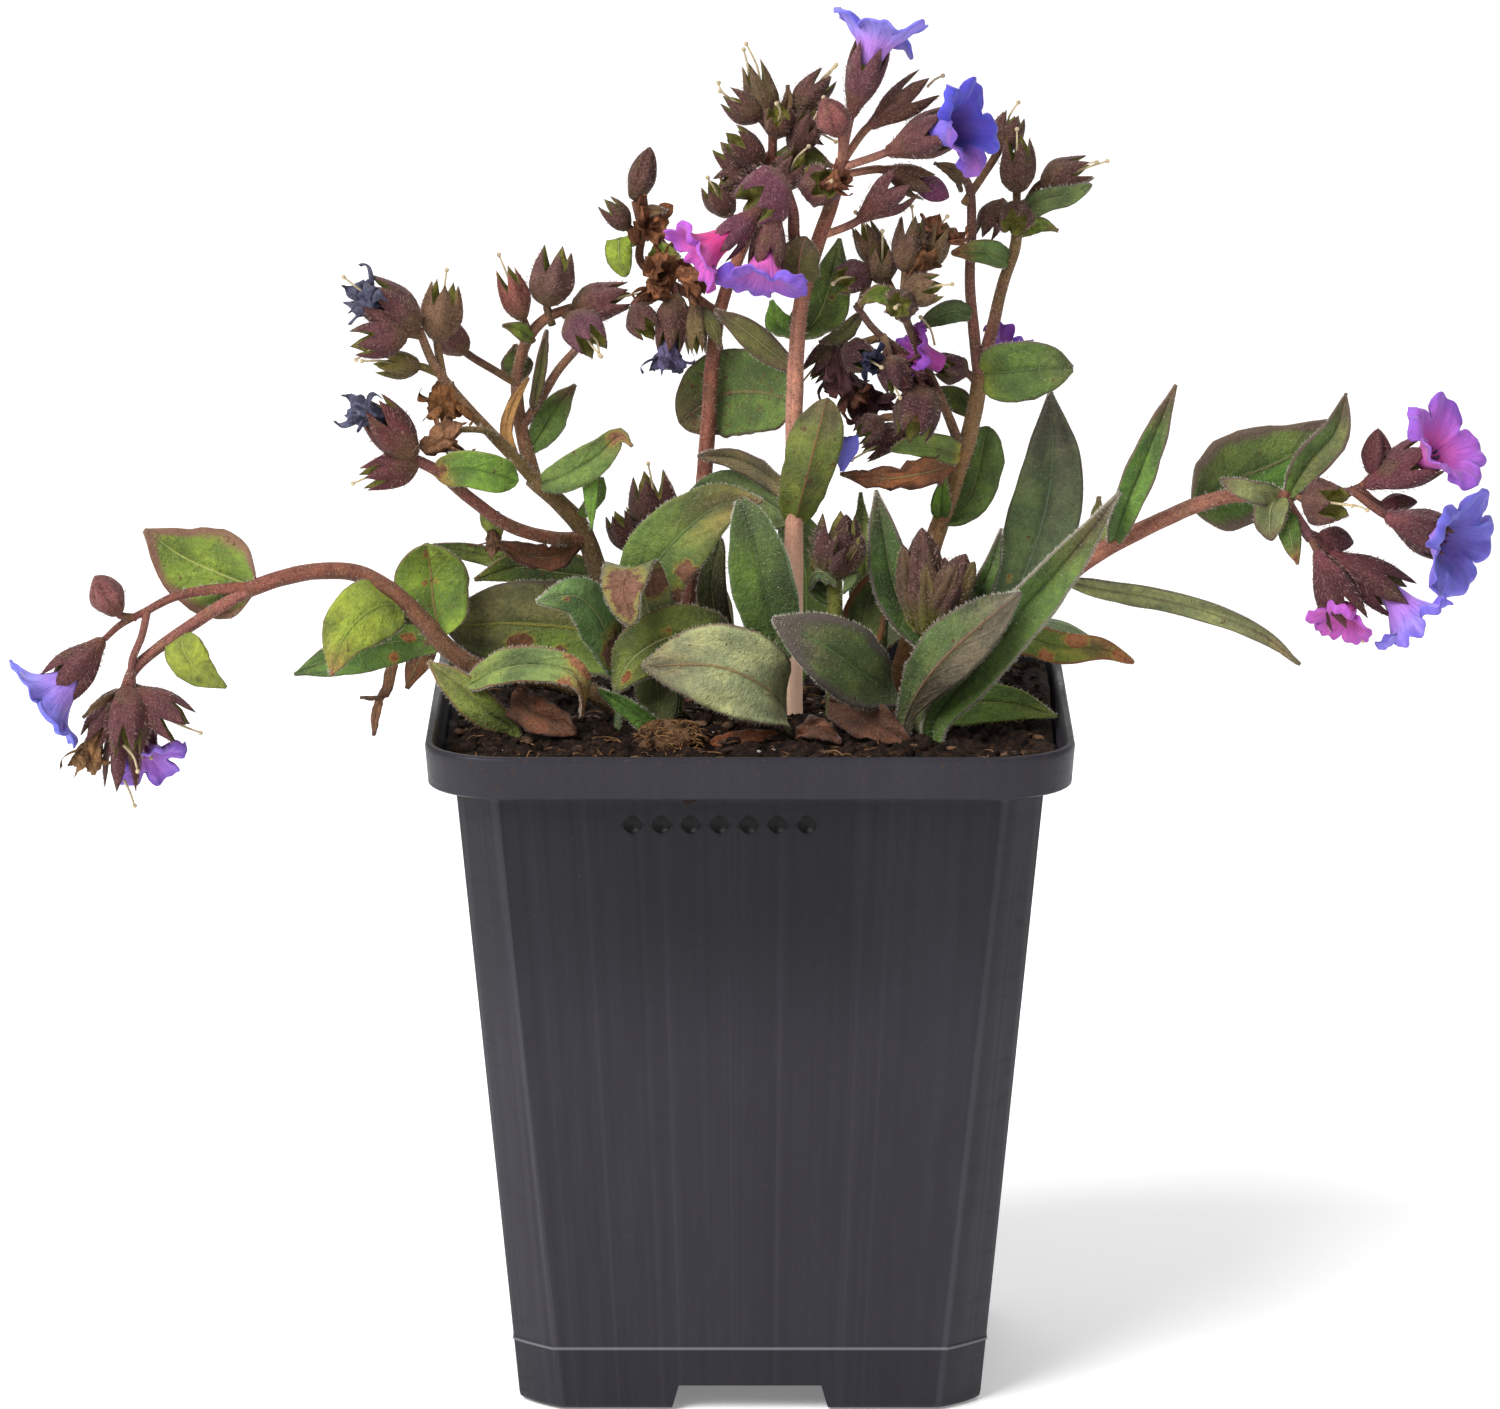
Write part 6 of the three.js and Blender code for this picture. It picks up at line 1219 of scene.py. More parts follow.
stemPlans["tall_stem"] = {
    "stems": [
        ([(6, 92, -3), (6, 104, -4), (6.2, 116, -4), (6.2, 130, -4), (6.4, 142, -4), (7.2, 152, -3),
         (9, 159, -2), (11.4, 166, -1), (13, 172.4, -1)], 3, 1.9, True),
        ([(7.4, 155.6, -3), (6.3, 161, -4), (6, 165, -5), (4.8, 169, -6)], 1.9, 1.5),
    ],
    "leaves": [
        ([(7, 154.8, -4), (6.8, 157, -6), (7.2, 159.4, -6.6), (7.8, 161.4, -6)], 5.6, "round", (-1, 0, 0),
         0.15, 0, "pinkRibbed"),
        ([(7.2, 147, -3), (9.6, 150, 0), (11.2, 154.6, 1.6), (12.6, 161.2, 2)], 7.4, "ovate", (1, 0, 0),
         0.2, 0, "tallGreen"),
        ([(6, 147, -3), (4, 149, -1), (3, 152.4, 0)], 4, "small", (1, 0, 0), 0.2, 0, "narrowGreen"),
        ([(5.6, 142.4, -3.4), (2.6, 145.4, -2), (-1, 148.4, -0.6), (-5, 151, 1)], 4.2, "lance", (0.5, 0, 1),
         0.2, 0, "oliveFold"),
        ([(5.6, 138.4, -3.4), (0.6, 139.4, 4), (-4.6, 138.6, 10), (-9.9, 135, 12)], 12.4, "round",
         (0, 0.2, 1), 0.12, 0.02, "brownSpecked"),
        ([(6.6, 120, -5), (7.8, 126.4, -8), (9.6, 133.6, -9), (10.9, 138.4, -6)], 7.8, "round", (-1, 0, 0),
         0.25, 0, "claspingLeaf"),
        ([(5.6, 124.2, -3.6), (1.6, 128, 0), (-2.6, 129.9, 2), (-7.4, 130.2, 3)], 3.4, "strap", (0, 0, 1),
         0.3, 0, "brownGrey"),
        ([(5.4, 121, -3.6), (0.4, 124.6, 2), (-4.6, 126, 3.6), (-9.6, 124, 4)], 6.2, "ovate", (0, 0.2, 1),
         0.2, 0, "greyGreen"),
    ],
    "heads": [
        ("bell", (12.8, 171.6, -1), (14, 178, -2), (17.3, 189.4, -3.4), 5.8),
        ("bud", (13, 171.8, -1), (12.8, 175.8, -4), (10.2, 181, -6), 5),
        ("bell", (13, 171.8, -1), (16.4, 176.8, 0), (25.6, 183.2, 2), 5.6),
        ("bell", (13, 171, -1), (18.8, 173.2, -2), (28.6, 177.4, -4), 6.8),
        ("bell", (12.8, 170, -1), (18.4, 171, 1), (25.4, 168.6, 4), 4.8),
        ("bell", (10.2, 161.4, -1.6), (15, 163.6, -1), (22.3, 169.8, 0), 6),
        ("urn", (11.8, 167, -1), (8.6, 168.2, -2.4), (11.2, 169.2, -7.6), 6.2),
        ("withered", None, (9.8, 168.7, -4.8), (14.4, 169.8, -8.2), 3.4),
        ("urn", None, (5.6, 170, -6.2), (-0.8, 165.4, -10.6), 8.4),
        ("bell", (5.6, 166.8, -5.8), (1.6, 165.8, -9), (-5.2, 159.2, -12), 5),
        ("bell", (5.4, 167.4, -6), (3.6, 166, -8), (2, 156, -11), 5.6),
    ],
}

stemPlans["right_upright_stem"] = {
    "stems": [
        ([(20, 94, 8), (22.8, 104, 8), (25.4, 116, 7), (27.8, 123.6, 6.6), (29.8, 129.6, 6.4),
         (31.3, 135, 6.2), (32.4, 141.8, 6.5)], 3.2, 2.3, True),
        ([(32.3, 141, 6.4), (31.5, 148, 8), (30.9, 155, 9), (31.1, 163, 10), (30.7, 168.6, 10),
         (28.6, 171.4, 9)], 1.7, 1.2),
        ([(32.4, 141.4, 6.4), (34.2, 149, 10), (35.6, 155, 12), (37.2, 159.8, 13), (37.6, 164.4, 14)], 1.9,
         1.5),
        ([(30, 130.4, 6.2), (27.5, 137, 3), (25, 142.4, 1), (22.6, 148, -1), (21.2, 151.6, -2)], 1.5, 1.1),
        ([(25.2, 142.2, 1), (21.5, 145, 0.4), (17.5, 148.2, 0), (14.8, 151.8, 1)], 1.2, 1),
    ],
    "leaves": [
        ([(32.6, 141.6, 5.4), (37, 142.2, 3), (41.4, 142.7, 2), (45.5, 142.6, 2)], 8.7, "ovate", (0, 0, -1),
         0.15, 0.02, "uprightGreen"),
        ([(29.4, 120, 7.6), (30.8, 124, 9), (32.4, 129.4, 10), (33.4, 134.4, 10)], 7, "round", (1, 0, 0),
         0.15, 0, "roundGreen"),
        ([(36, 158.2, 12), (32.6, 159.4, 7.4), (28.3, 159.2, 6.4)], 3.6, "strap", (0, 0, 1), 0.2, 0,
         "brownTipGreen"),
        ([(31.4, 150.2, 8), (28.6, 150.9, 5.6), (26, 150, 4.6), (23.4, 148.2, 4.2)], 3.5, "lance",
         (0, 0, 1), 0.25, 0, "deepGreen"),
        ([(30.9, 136, 6.8), (28.6, 138.8, 9), (26.6, 140, 10)], 3.6, "small", (1, 0, 0.7), 0.25, 0,
         "sprigDark"),
        ([(30, 129.8, 5), (26.6, 131.4, 1), (23, 131.8, 0), (19.8, 131, -1)], 3.9, "strap", (0, 0, 1), 0.2,
         0.04, "yellowToGreen"),
        ([(30, 129.2, 5), (25.6, 128, 0), (19, 127, -2.4), (12.7, 127.6, -3)], 4, "lance", (0, 0.1, 1), 0.1,
         0.06, "tornOrange"),
        ([(26.6, 120.6, 5), (27, 124, 2.6), (27.4, 127.6, 2.4)], 3, "small", (1, 0, 0), 0.2, 0,
         "narrowGreen"),
        ([(37.6, 164, 13), (41.4, 166.6, 11.4), (45, 167.4, 11), (47.9, 168.9, 11)], 3.4, "strap",
         (0, 0, -1), 0.2, 0, "greyGreen"),
        ([(37.6, 161.4, 13), (40.4, 163.2, 12), (43.3, 162.3, 12)], 2.6, "small", (0, 0, -1), 0.25, 0,
         "sprig"),
        ([(30.8, 168.2, 9.6), (28.6, 170.6, 8), (25.8, 171.9, 7.4)], 2.2, "small", (0, 0, 1), 0.25, 0,
         "twig"),
        ([(20.6, 152.4, -1.6), (18, 153.4, -3), (15.3, 151.8, -3.6)], 2.8, "small", (0, 0, 1), 0.25, 0,
         "sprig"),
        ([(15.2, 150.2, 0.6), (12.6, 147.4, -1), (9.7, 146.4, -1)], 2.8, "small", (0, 0, 1), 0.25, 0,
         "oliveFold"),
    ],
    "heads": [
        ("urn", (31.4, 166.6, 10), (34.8, 173.6, 14), (37, 179, 15), 5),
        ("urn", (37.4, 163, 13.6), (37.4, 167.6, 13), (37.4, 175.9, 11), 5.4),
        ("urn", (37.5, 163.6, 14), (40.6, 168.8, 14), (48, 171.4, 14), 5.4),
        ("urn", (37.4, 162.4, 13.6), (37.6, 165.6, 12), (37, 162.6, 6.6), 5.4),
        ("urn", (37, 163.6, 13.6), (35, 166.6, 12), (32.8, 161, 12), 4),
        ("urn", (14.9, 150.8, 1), (16.8, 156.6, 2), (12.4, 155, -2), 5),
        ("urn", (14.9, 151.4, 1), (18.6, 154.8, 2), (18.6, 160.6, 0), 5),
        ("urn", (21.3, 151, -1.8), (21.8, 156.4, -1), (22.6, 164.6, 1), 5),
        ("withered", None, (22, 155.6, -0.8), (25.8, 160.8, 0), 4),
        ("urn", (21.3, 151, -1.8), (21.2, 153.2, -3), (27, 154.4, -5), 5),
        ("urn", (21.6, 150.2, -1.6), (21.8, 152, -4), (20.6, 151.4, -9), 5),
        ("urn", (31.2, 140.6, 6.4), (30.4, 142.2, 4.4), (26.2, 143.4, 0.4), 4.6),
        ("urn", (18.6, 147.2, 0), (19.6, 144.6, -3), (21, 139.2, -5), 5),
        ("urn", (25.8, 140.6, 1.4), (24.4, 140.4, -2), (22.6, 132.4, -6), 6.8),
        ("urn", (18.6, 147.2, 0), (13.4, 145.4, 0), (17.4, 143.4, -5), 5),
        ("withered", None, (15.6, 144.4, -3), (18.6, 143, -6), 3.8),
        ("withered", None, (12.6, 146, 0), (12.6, 137.4, -1), 4.6),
        ("withered", None, (12.8, 142.6, 0), (16, 136.6, 0), 4.2),
        ("urn", (24.2, 135.6, -3.4), (18.6, 135.6, -2), (15.2, 132.6, -4), 3.8),
    ],
}

stemPlans["right_trailing_stem"] = {
    "stems": [
        ([(25, 92.8, 1), (33, 101, 1), (40, 108.6, 0), (45, 113.2, -1), (50, 116.8, -2), (56, 119.9, -3),
         (62, 122.7, -4), (68, 124.5, -4), (76, 124.4, -4)], 3.2, 2, True),
        ([(75, 124.5, -4), (80, 125.9, -2.4), (84, 124.9, -3), (86.6, 125.8, -4)], 1.7, 1.3),
        ([(75.4, 124.2, -4), (77, 121.6, -5), (79.4, 118.2, -6)], 1.8, 1.6),
    ],
    "leaves": [
        ([(51.4, 116.6, -4), (52.6, 121.6, -6), (56, 130.4, -7), (60, 140.4, -6)], 5, "lance", (1, 0, -0.3),
         0.5, 0, "trailFold"),
        ([(50, 117.2, -1.6), (49.2, 120.4, 0), (49.3, 124.4, 1)], 2.6, "small", (1, 0, 0), 0.25, 0,
         "limeTwig"),
        ([(44.4, 112, -1), (50, 111, 1), (58, 109.6, 1), (66, 107.4, 0), (73, 104.2, -1), (78, 100.2, -2)],
         3.2, "strap", (0, 0, -1), 0.3, 0, "longGrey"),
        ([(62.6, 122.8, -3.4), (68, 126.4, 0), (76, 130, 1), (83.4, 135.5, 0)], 13.4, "ovate", (0.2, 0, -1),
         0.1, 0.015, "trailBroad"),
        ([(76, 125, -4.6), (79, 129.4, -6), (82.4, 133.4, -7), (84, 139.2, -6)], 5.4, "lance",
         (0.7, 0, -0.7), 0.4, 0, "foldedTip"),
        ([(75, 124.8, -5), (71.4, 125, -7.4), (66.4, 126.8, -7.4)], 3.2, "strap", (0, 0, 1), 0.3, 0,
         "greyPurple"),
        ([(74.6, 124.6, -5.4), (73.4, 121.8, -7.6), (73.6, 118.1, -8)], 5, "strap", (-1, 0, 0.2), 0.3, 0,
         "greyPurple"),
        ([(75.6, 123.6, -4.8), (76.2, 119.6, -7.4), (77.4, 114.6, -8)], 3.4, "lance", (1, 0, 0), 0.3, 0,
         "brownTipGreen"),
    ],
    "heads": [
        ("urn", (77, 124.8, -3.8), (78.6, 123.8, -6), (83.8, 123.2, -11.6), 6.8),
        ("bud", (86.2, 125.6, -4), (88, 127.4, -3.4), (88.6, 134.3, -3), 4.8),
        ("bell", None, (86.8, 125, -4), (97.2, 130.6, -5.4), 7.2),
        ("bell", (84.6, 124.8, -3), (89.6, 121.8, -5), (99.2, 117.6, -6), 6.8),
        ("bud", (86, 124.2, -3.6), (89, 123.2, -2), (94.3, 123.6, 0), 3),
        ("bell", (79, 118.8, -5.8), (80, 117, -7), (85.4, 105.6, -8), 6.6),
        ("bell", (79.2, 118.6, -5.8), (81.6, 116.6, -5), (93, 109.2, -4), 7),
        ("bud", (78.6, 119.4, -5.6), (80.4, 118.6, -4.4), (85.4, 117.8, -3), 3.8),
    ],
}

stemPlans["front_bud_shoot"] = {
    "stems": [
        ([(24.6, 95.6, -9), (25.4, 100.6, -10), (25.4, 105, -10)], 3, 2.6, True),
    ],
    "leaves": [
        ([(26, 103.4, -9), (31, 108.4, -10), (34, 114, -10), (35.5, 119.8, -9)], 3.4, "lance", (1, 0, -0.5),
         0.4, 0, "shootLeaf"),
        ([(24.6, 102.4, -9.6), (21, 109.6, -9), (19, 118, -8), (17.8, 125.3, -7)], 6.6, "lance",
         (1, 0, 0.3), 0.5, 0, "shootLeaf"),
    ],
    "heads": [
        ("bud", None, (25, 104, -10), (24.2, 120, -12), 6.8),
        ("bud", None, (26, 105, -10.6), (30.6, 116.2, -14), 6.4),
    ],
}

stemPlans["hairy_bud"] = {
    "stems": [
        ([(12, 95, -5), (12, 104, -7), (12, 113.4, -8)], 2.6, 2.2, True),
    ],
    "leaves": [
        ([(12.6, 113, -9), (14.2, 113, -11), (13.2, 110.4, -12)], 2.4, "small", (1, 0, 0.6), 0.25, 0,
         "greyGreen"),
        ([(11.4, 108.6, -8), (8.8, 112, -8), (10, 113.6, -10.6), (12.4, 111.6, -11)], 2.6, "strap",
         (0.3, 0.5, 1), 0.2, 0, "deepGreen"),
    ],
    "heads": [
        ("urn", None, (11.6, 112.4, -8), (12.4, 122, -9.6), 7.2),
        ("urn", None, (12, 112.6, -9), (14.2, 118.4, -13.4), 5),
    ],
}

soilLeaves = {  # leaves that rise from the soil; the same rows
    "broad_left_leaf": [([(-15.6, 97.6, 9), (-20.4, 104, 6), (-31, 106, 5), (-43, 105.8, 5)], 12.8, "round",
        (0, 0.1, 1), 0.1, 0.02, "broadLeft")],
    "left_rim_leaf": [([(-33.4, 90.4, -7), (-37.5, 93.4, -9), (-41, 96.8, -9), (-45.6, 100.6, -8)], 5.2,
        "basal", (0.7, 0, 0.7), 0.25, 0.02, "rimLeaf"), ([(-40, 97, -9.4), (-35, 99.6, -12),
        (-29, 100, -15), (-24.6, 98.4, -17), (-23.9, 92.6, -17)], 5.2, "strap", (0.1, 0.4, 1), -0.3, 0.03,
        "rimHook")],
    "pale_bent_leaf": [([(5.2, 90.6, -13), (3.2, 95.8, -18), (-4, 99.8, -21), (-15.3, 100, -20)], 12.6,
        "basal", (0.3, 0.2, 1), 0.15, 0.02, "paleBent")],
    "dark_front_leaf": [([(21.6, 94, -10), (16, 98.8, -17), (10, 103.2, -21), (3.2, 106.8, -21)], 10.4,
        "basal", (0.4, 0.25, 0.9), 0.12, 0.02, "darkFront")],
    "long_folded_leaf": [([(26, 91.8, -13), (31, 98.6, -14), (38, 107.4, -13), (45, 115.6, -10),
        (52.2, 125, -8)], 8, "lance", (0.7, 0.1, -0.7), 0.55, 0.02, "longFolded")],
    "grey_front_leaf": [([(21.8, 91.6, -15), (26, 99.4, -19), (32, 105.4, -19), (38.3, 110.6, -17)], 8.6,
        "basal", (-0.7, 0, 0.7), 0.2, 0.02, "greyFront")],
    "low_right_leaf": [([(27, 92.4, -8), (31, 94.4, -8), (37.6, 94.4, -8), (43.6, 92.6, -8)], 6, "lance",
        (0, -0.2, -1), 0.1, 0.02, "lowRight")],
    "brown_tipped_leaf": [([(31, 98.4, 7), (37, 104, 7), (44, 102.6, 8), (50, 102.4, 9), (54.4, 100.4, 9)],
        5, "strap", (0, -0.1, -1), 0.2, 0.05, "brownTipped")],
    "big_grey_leaf": [([(31, 98, 12), (36.4, 108, 12), (40.6, 118, 12), (42.6, 128, 12), (42.4, 139.4, 11)],
        10.4, "basal", (1, 0, -0.1), 0.15, 0.02, "bigGrey")],
    "upright_hairy_leaf": [([(2.4, 96, -8), (3.4, 104, -9.6), (1.6, 113, -11), (0, 120, -11),
        (-1.6, 124.6, -8)], 9.2, "basal", (1, 0, 0.1), 0.25, 0.02, "uprightHairy")],
    "brown_patched_leaf": [([(-11, 96, -3), (-13.4, 107, -5), (-13.6, 113.6, -7), (-9.2, 119.4, -8.6),
        (-4, 123.2, -9), (1.8, 123.8, -8)], 10.4, "basal", (0.75, -0.15, -0.6), 0.15, 0.02,
        "brownPatched")],
    "spotted_small_leaf": [([(-18.6, 94.6, -7), (-20.4, 105, -9), (-24.4, 110, -12), (-30.2, 109.2, -13)],
        7.2, "basal", (0.2, 0.25, 1), -0.15, 0.02, "spotted")],
    "drooping_leaf": [([(-13, 95, -9), (-14.6, 109, -9), (-16.8, 114, -12), (-18, 110.6, -16),
        (-16.6, 105.8, -17)], 7.4, "round", (1, 0, 0.1), -0.2, 0.02, "drooping")],
    "yellow_low_leaf": [([(-3, 96.6, -5), (-4, 103, -8), (-10.4, 104.4, -11), (-16.6, 101, -13),
        (-19.2, 96.4, -13)], 8.6, "round", (0.1, 0.3, 1), -0.15, 0.02, "yellowLow")],
    "small_soil_leaf": [([(-14, 90.6, -12), (-17, 93.6, -13), (-21.6, 96.6, -13)], 3, "strap", (0.5, 0, 1),
        0.3, 0.02, "smallSoil")],
    "brown_edged_leaf": [([(14, 96, -2), (15.4, 104, -4), (17, 110, -4), (19.4, 115, -3)], 6.4, "basal",
        (1, 0, -0.3), 0.2, 0.02, "brownEdged")],
    "green_upright_leaf": [([(17, 98, 2), (16.8, 108, 1), (16, 117, 0), (15.6, 125, 1)], 5.6, "lance",
        (1, 0, 0), 0.3, 0.02, "greenUpright")],
    "dark_back_leaf": [([(-2, 96, 6), (-4.8, 106.6, 4), (-5.4, 112, 3), (-4.2, 118.6, 3)], 4.4, "round",
        (1, 0, 0), 0.2, 0.02, "darkBack")],
    "back_left_leaf": [([(-10, 96, 20), (-20, 107, 28), (-30, 110, 34), (-38, 108, 38)], 11, "basal",
        (0.4, 0.9, 0.3), 0.2, 0.02, "backGreen")],
    "back_leaf": [([(-3, 96, 22), (-8, 110, 31), (-11, 116, 38), (-13, 114, 43)], 10, "basal", (1, 0, 0.1),
        -0.15, 0.02, "backOlive")],
    "back_upright_leaf": [([(6, 96, 16), (8, 108, 22), (7, 118, 27), (4, 124, 30)], 9, "basal",
        (-1, 0.2, 0), 0.25, 0.02, "backGreen")],
    "back_right_leaf": [([(14, 97, 20), (20, 107, 29), (27, 110, 36), (33, 107, 42)], 11, "basal",
        (0.8, -0.6, 0), -0.15, 0.02, "backOlive")],
    "back_side_leaf": [([(24, 98, 20), (33, 105, 25), (43, 106, 28), (53, 101, 30)], 8, "basal",
        (0, -1, -0.2), -0.2, 0.02, "backGreen")],
}

dryLeaves = {  # dead ones that lie on it
    "dry_leaf_left": [([(-33, 96.6, -6), (-31, 93.4, -10), (-28, 92, -12), (-24.6, 90.2, -14)], 5.6,
        "strap", (0.3, 0.2, 1), -0.4, 0.06, "dryBrown")],
    "dry_leaf_right": [([(11.4, 95, -11), (15, 93.4, -14), (19, 91, -16), (23.4, 88.4, -17)], 6.4, "ovate",
        (0.4, 0.3, 1), -0.25, 0.05, "dryPlum")],
    "dry_leaf_front": [([(-5.6, 88.9, -18), (-1, 89.6, -18), (4, 90.2, -16)], 2.2, "strap", (0, 0.5, 1),
        0.2, 0.03, "dryOrange")],
    "dry_leaf_curl": [([(6.6, 89.6, -16), (9.4, 90.9, -17), (13, 88.8, -18)], 3.4, "small", (0.2, 0.4, 1),
        -0.4, 0.06, "dryPlum")],
}


print("stems and their leaves")

skins = {
    "left_trailing_stem": {
        "stems": [((106, 84, 52), (122, 74, 60)), ((126, 76, 62), (112, 68, 60)),
                  ((144, 92, 78), (128, 82, 74)), ((130, 84, 72), (120, 76, 70))],
        "calyx": (102, 66, 66), "foot": (112, 80, 62), "dead": (112, 86, 62), "hair": 5,
        "heads": {0: (130, 86, 80), 7: (138, 104, 72)},
        "styles": [((-89, 83.5, -2), (-87.5, 79.7, -2)), ((-89, 88.5, -7), (-87, 84.7, -7)),
                   ((-82, 92, -4), (-78, 90.3, -4))],
    },
    "left_middle_stem": {
        "stems": [((76, 58, 46), (120, 98, 60)), ((124, 104, 60), (138, 100, 78)),
                  ((118, 84, 60), (140, 98, 76)), ((140, 92, 68), (128, 78, 72)),
                  ((128, 90, 70), (122, 86, 66)), ((118, 104, 54), (112, 92, 52))],
        "calyx": (112, 82, 74), "foot": (116, 98, 62), "dead": (104, 76, 58), "hair": 8, "crumpled": 1.5,
        "heads": {0: (98, 66, 62), 1: (88, 90, 112), 2: (124, 104, 72), 3: (98, 64, 64), 4: (118, 118, 56),
                  6: (140, 96, 60), 7: (146, 96, 78), 8: (112, 88, 76), 9: (110, 76, 72), 10: (110, 76, 84),
                  11: (136, 98, 72), 13: (98, 56, 52), 14: (98, 54, 56), 15: (92, 94, 118)},
        "styles": [((-52, 145.8, -11), (-55.5, 143.9, -12)), ((-22.8, 148, 3), (-21.2, 144.6, 0))],
    },
    "back_middle_stem": {
        "stems": [((122, 80, 62), (142, 88, 72)), ((142, 88, 70), (128, 78, 62)),
                  ((136, 90, 70), (122, 84, 62))],
        "calyx": (92, 66, 56), "foot": (96, 82, 54), "dead": (128, 84, 58), "hair": 6,
        "heads": {0: (92, 66, 54), 7: (92, 86, 118), 9: (112, 104, 62), 10: (104, 92, 62), 14: (108, 84, 62)},
        "crumpled": 1.7,
        "more": [("urn", (-6.4, 112, 9), (-12.6, 118.6, 9), (-14.2, 128, 8), 7.4),
                 ("urn", (-6.4, 110, 9), (-16.4, 116.4, 8), (-19, 122.4, 8), 5),
                 ("urn", (3, 172, 8), (6, 173, 7), (9.4, 179.4, 5), 4.8),
                 ("urn", (1.4, 166, 9), (4, 168.2, 6.4), (7.4, 173, 3.4), 5),
                 ("urn", (-1, 160, 9), (-2.8, 164.4, 7), (-5.6, 169.2, 5), 4.8),
                 ("urn", (1.4, 166, 9), (-1.4, 171, 7), (-4.4, 174.4, 6), 4.2)],
        "styles": [((-0.2, 184.6, 8), (-0.9, 187.9, 8)), ((9.4, 182.8, 8.4), (11.8, 185.4, 8.4)),
                   ((-3, 181, 6), (-4.4, 183.2, 6))],
    },
    "tall_stem": {
        # the foot's first tone is lighter than the flesh's own: painted light against the shade that falls on
        # it
        "stems": [((250, 208, 180), (206, 150, 124), (130, 80, 66)), ((140, 90, 76), (124, 76, 74))],
        "calyx": (104, 70, 68), "foot": (124, 84, 66), "dead": (122, 78, 58), "hair": 7,
        "heads": {0: (108, 72, 76), 1: (142, 92, 84), 2: (112, 86, 66), 4: (104, 84, 58), 8: (112, 70, 84),
                  9: (110, 66, 84)},
        "styles": [((24.8, 182.6, 2), (27, 184.2, 2))],
    },
    "right_upright_stem": {
        "stems": [((150, 112, 76), (142, 112, 74)), ((126, 84, 72), (112, 78, 68)),
                  ((134, 88, 74), (122, 104, 64)), ((118, 86, 64), (112, 84, 66)),
                  ((110, 78, 66), (102, 74, 64))],
        "calyx": (94, 70, 58), "foot": (106, 88, 58), "dead": (112, 76, 52), "hair": 7,
        "heads": {5: (86, 58, 62), 6: (98, 84, 58), 7: (92, 76, 54), 9: (118, 102, 68), 10: (86, 68, 54),
                  11: (74, 46, 52), 12: (72, 46, 50), 13: (76, 48, 48), 14: (70, 44, 48), 15: (58, 60, 84),
                  16: (78, 50, 52), 17: (92, 58, 44), 18: (74, 50, 46), 19: (100, 86, 58), 20: (104, 92, 60),
                  21: (132, 86, 62), 22: (78, 52, 52), 23: (76, 46, 48), 24: (92, 60, 58), 25: (70, 44, 44)},
        "more": [("urn", (21.3, 151, -1.8), (18.4, 157, 3), (15.4, 163.6, 2.4), 4.6),
                 ("urn", (21.3, 151, -1.8), (24.4, 156.6, 3), (27.4, 163.6, 3), 4.4),
                 ("withered", None, (24, 158.4, 4), (28, 164.6, 4), 5.4),
                 ("urn", (14.8, 145, -1), (12.6, 146.4, 2), (8, 141.4, 1), 4.6),
                 ("withered", None, (13.8, 141, 3), (19.2, 134, 2), 6),
                 ("withered", None, (19, 145.4, 2), (24.4, 139.4, -7), 4.6),
                 ("urn", (24.2, 135.6, -3.4), (22.2, 134.4, 2), (15.6, 130.4, 1), 4.4),
                 ("urn", (32.2, 141, 6.4), (32.8, 139.4, 13), (34.4, 144.2, 15.4), 4.4)],
        "crumpled": 1.3,
        "styles": [((46, 171.1, 13.6), (48.6, 172, 13.6)), ((26, 146, 1), (24, 150, 0))],
    },
    "right_trailing_stem": {
        "stems": [((150, 100, 80), (144, 96, 78)), ((136, 90, 80), (118, 76, 68)),
                  ((132, 84, 78), (110, 68, 72))],
        "calyx": (92, 58, 58), "foot": (124, 74, 78), "hair": 6,
        "heads": {0: (104, 78, 66), 1: (110, 68, 68), 2: (108, 66, 70)},
        "styles": [((84.6, 107.6, -8), (86.9, 103.6, -8.4)), ((83.8, 123.2, -11), (87.2, 122.4, -12))],
    },
    "front_bud_shoot": {
        "stems": [((120, 132, 78), (140, 152, 72))],
        "calyx": (92, 70, 58), "foot": (118, 134, 42), "hair": 9, "bracts": 5,
    },
    "hairy_bud": {
        "stems": [((92, 96, 52), (116, 124, 52))],
        "calyx": (76, 54, 48), "foot": (112, 120, 32), "hair": 9, "bracts": 4,
    },
}

for node, plan in stemPlans.items():
    flesh, spines = growFlesh(node + "_flesh", plan, skins[node])
    stand(flesh, node)
    stand(growLeaves(node + "_leaves", plan["leaves"], spines, False), node)
    print("grown:", node)


print("leaves that rise from the soil, and the dead ones on it")

for node, rows in soilLeaves.items():
    rootedRows = 1 if node == "left_rim_leaf" else True
    stand(growLeaves(node + "_blade", rows, [], rootedRows), node)

for node, rows in dryLeaves.items():
    stand(growLeaves(node + "_blade", rows, [], False), node)


print("flowers")

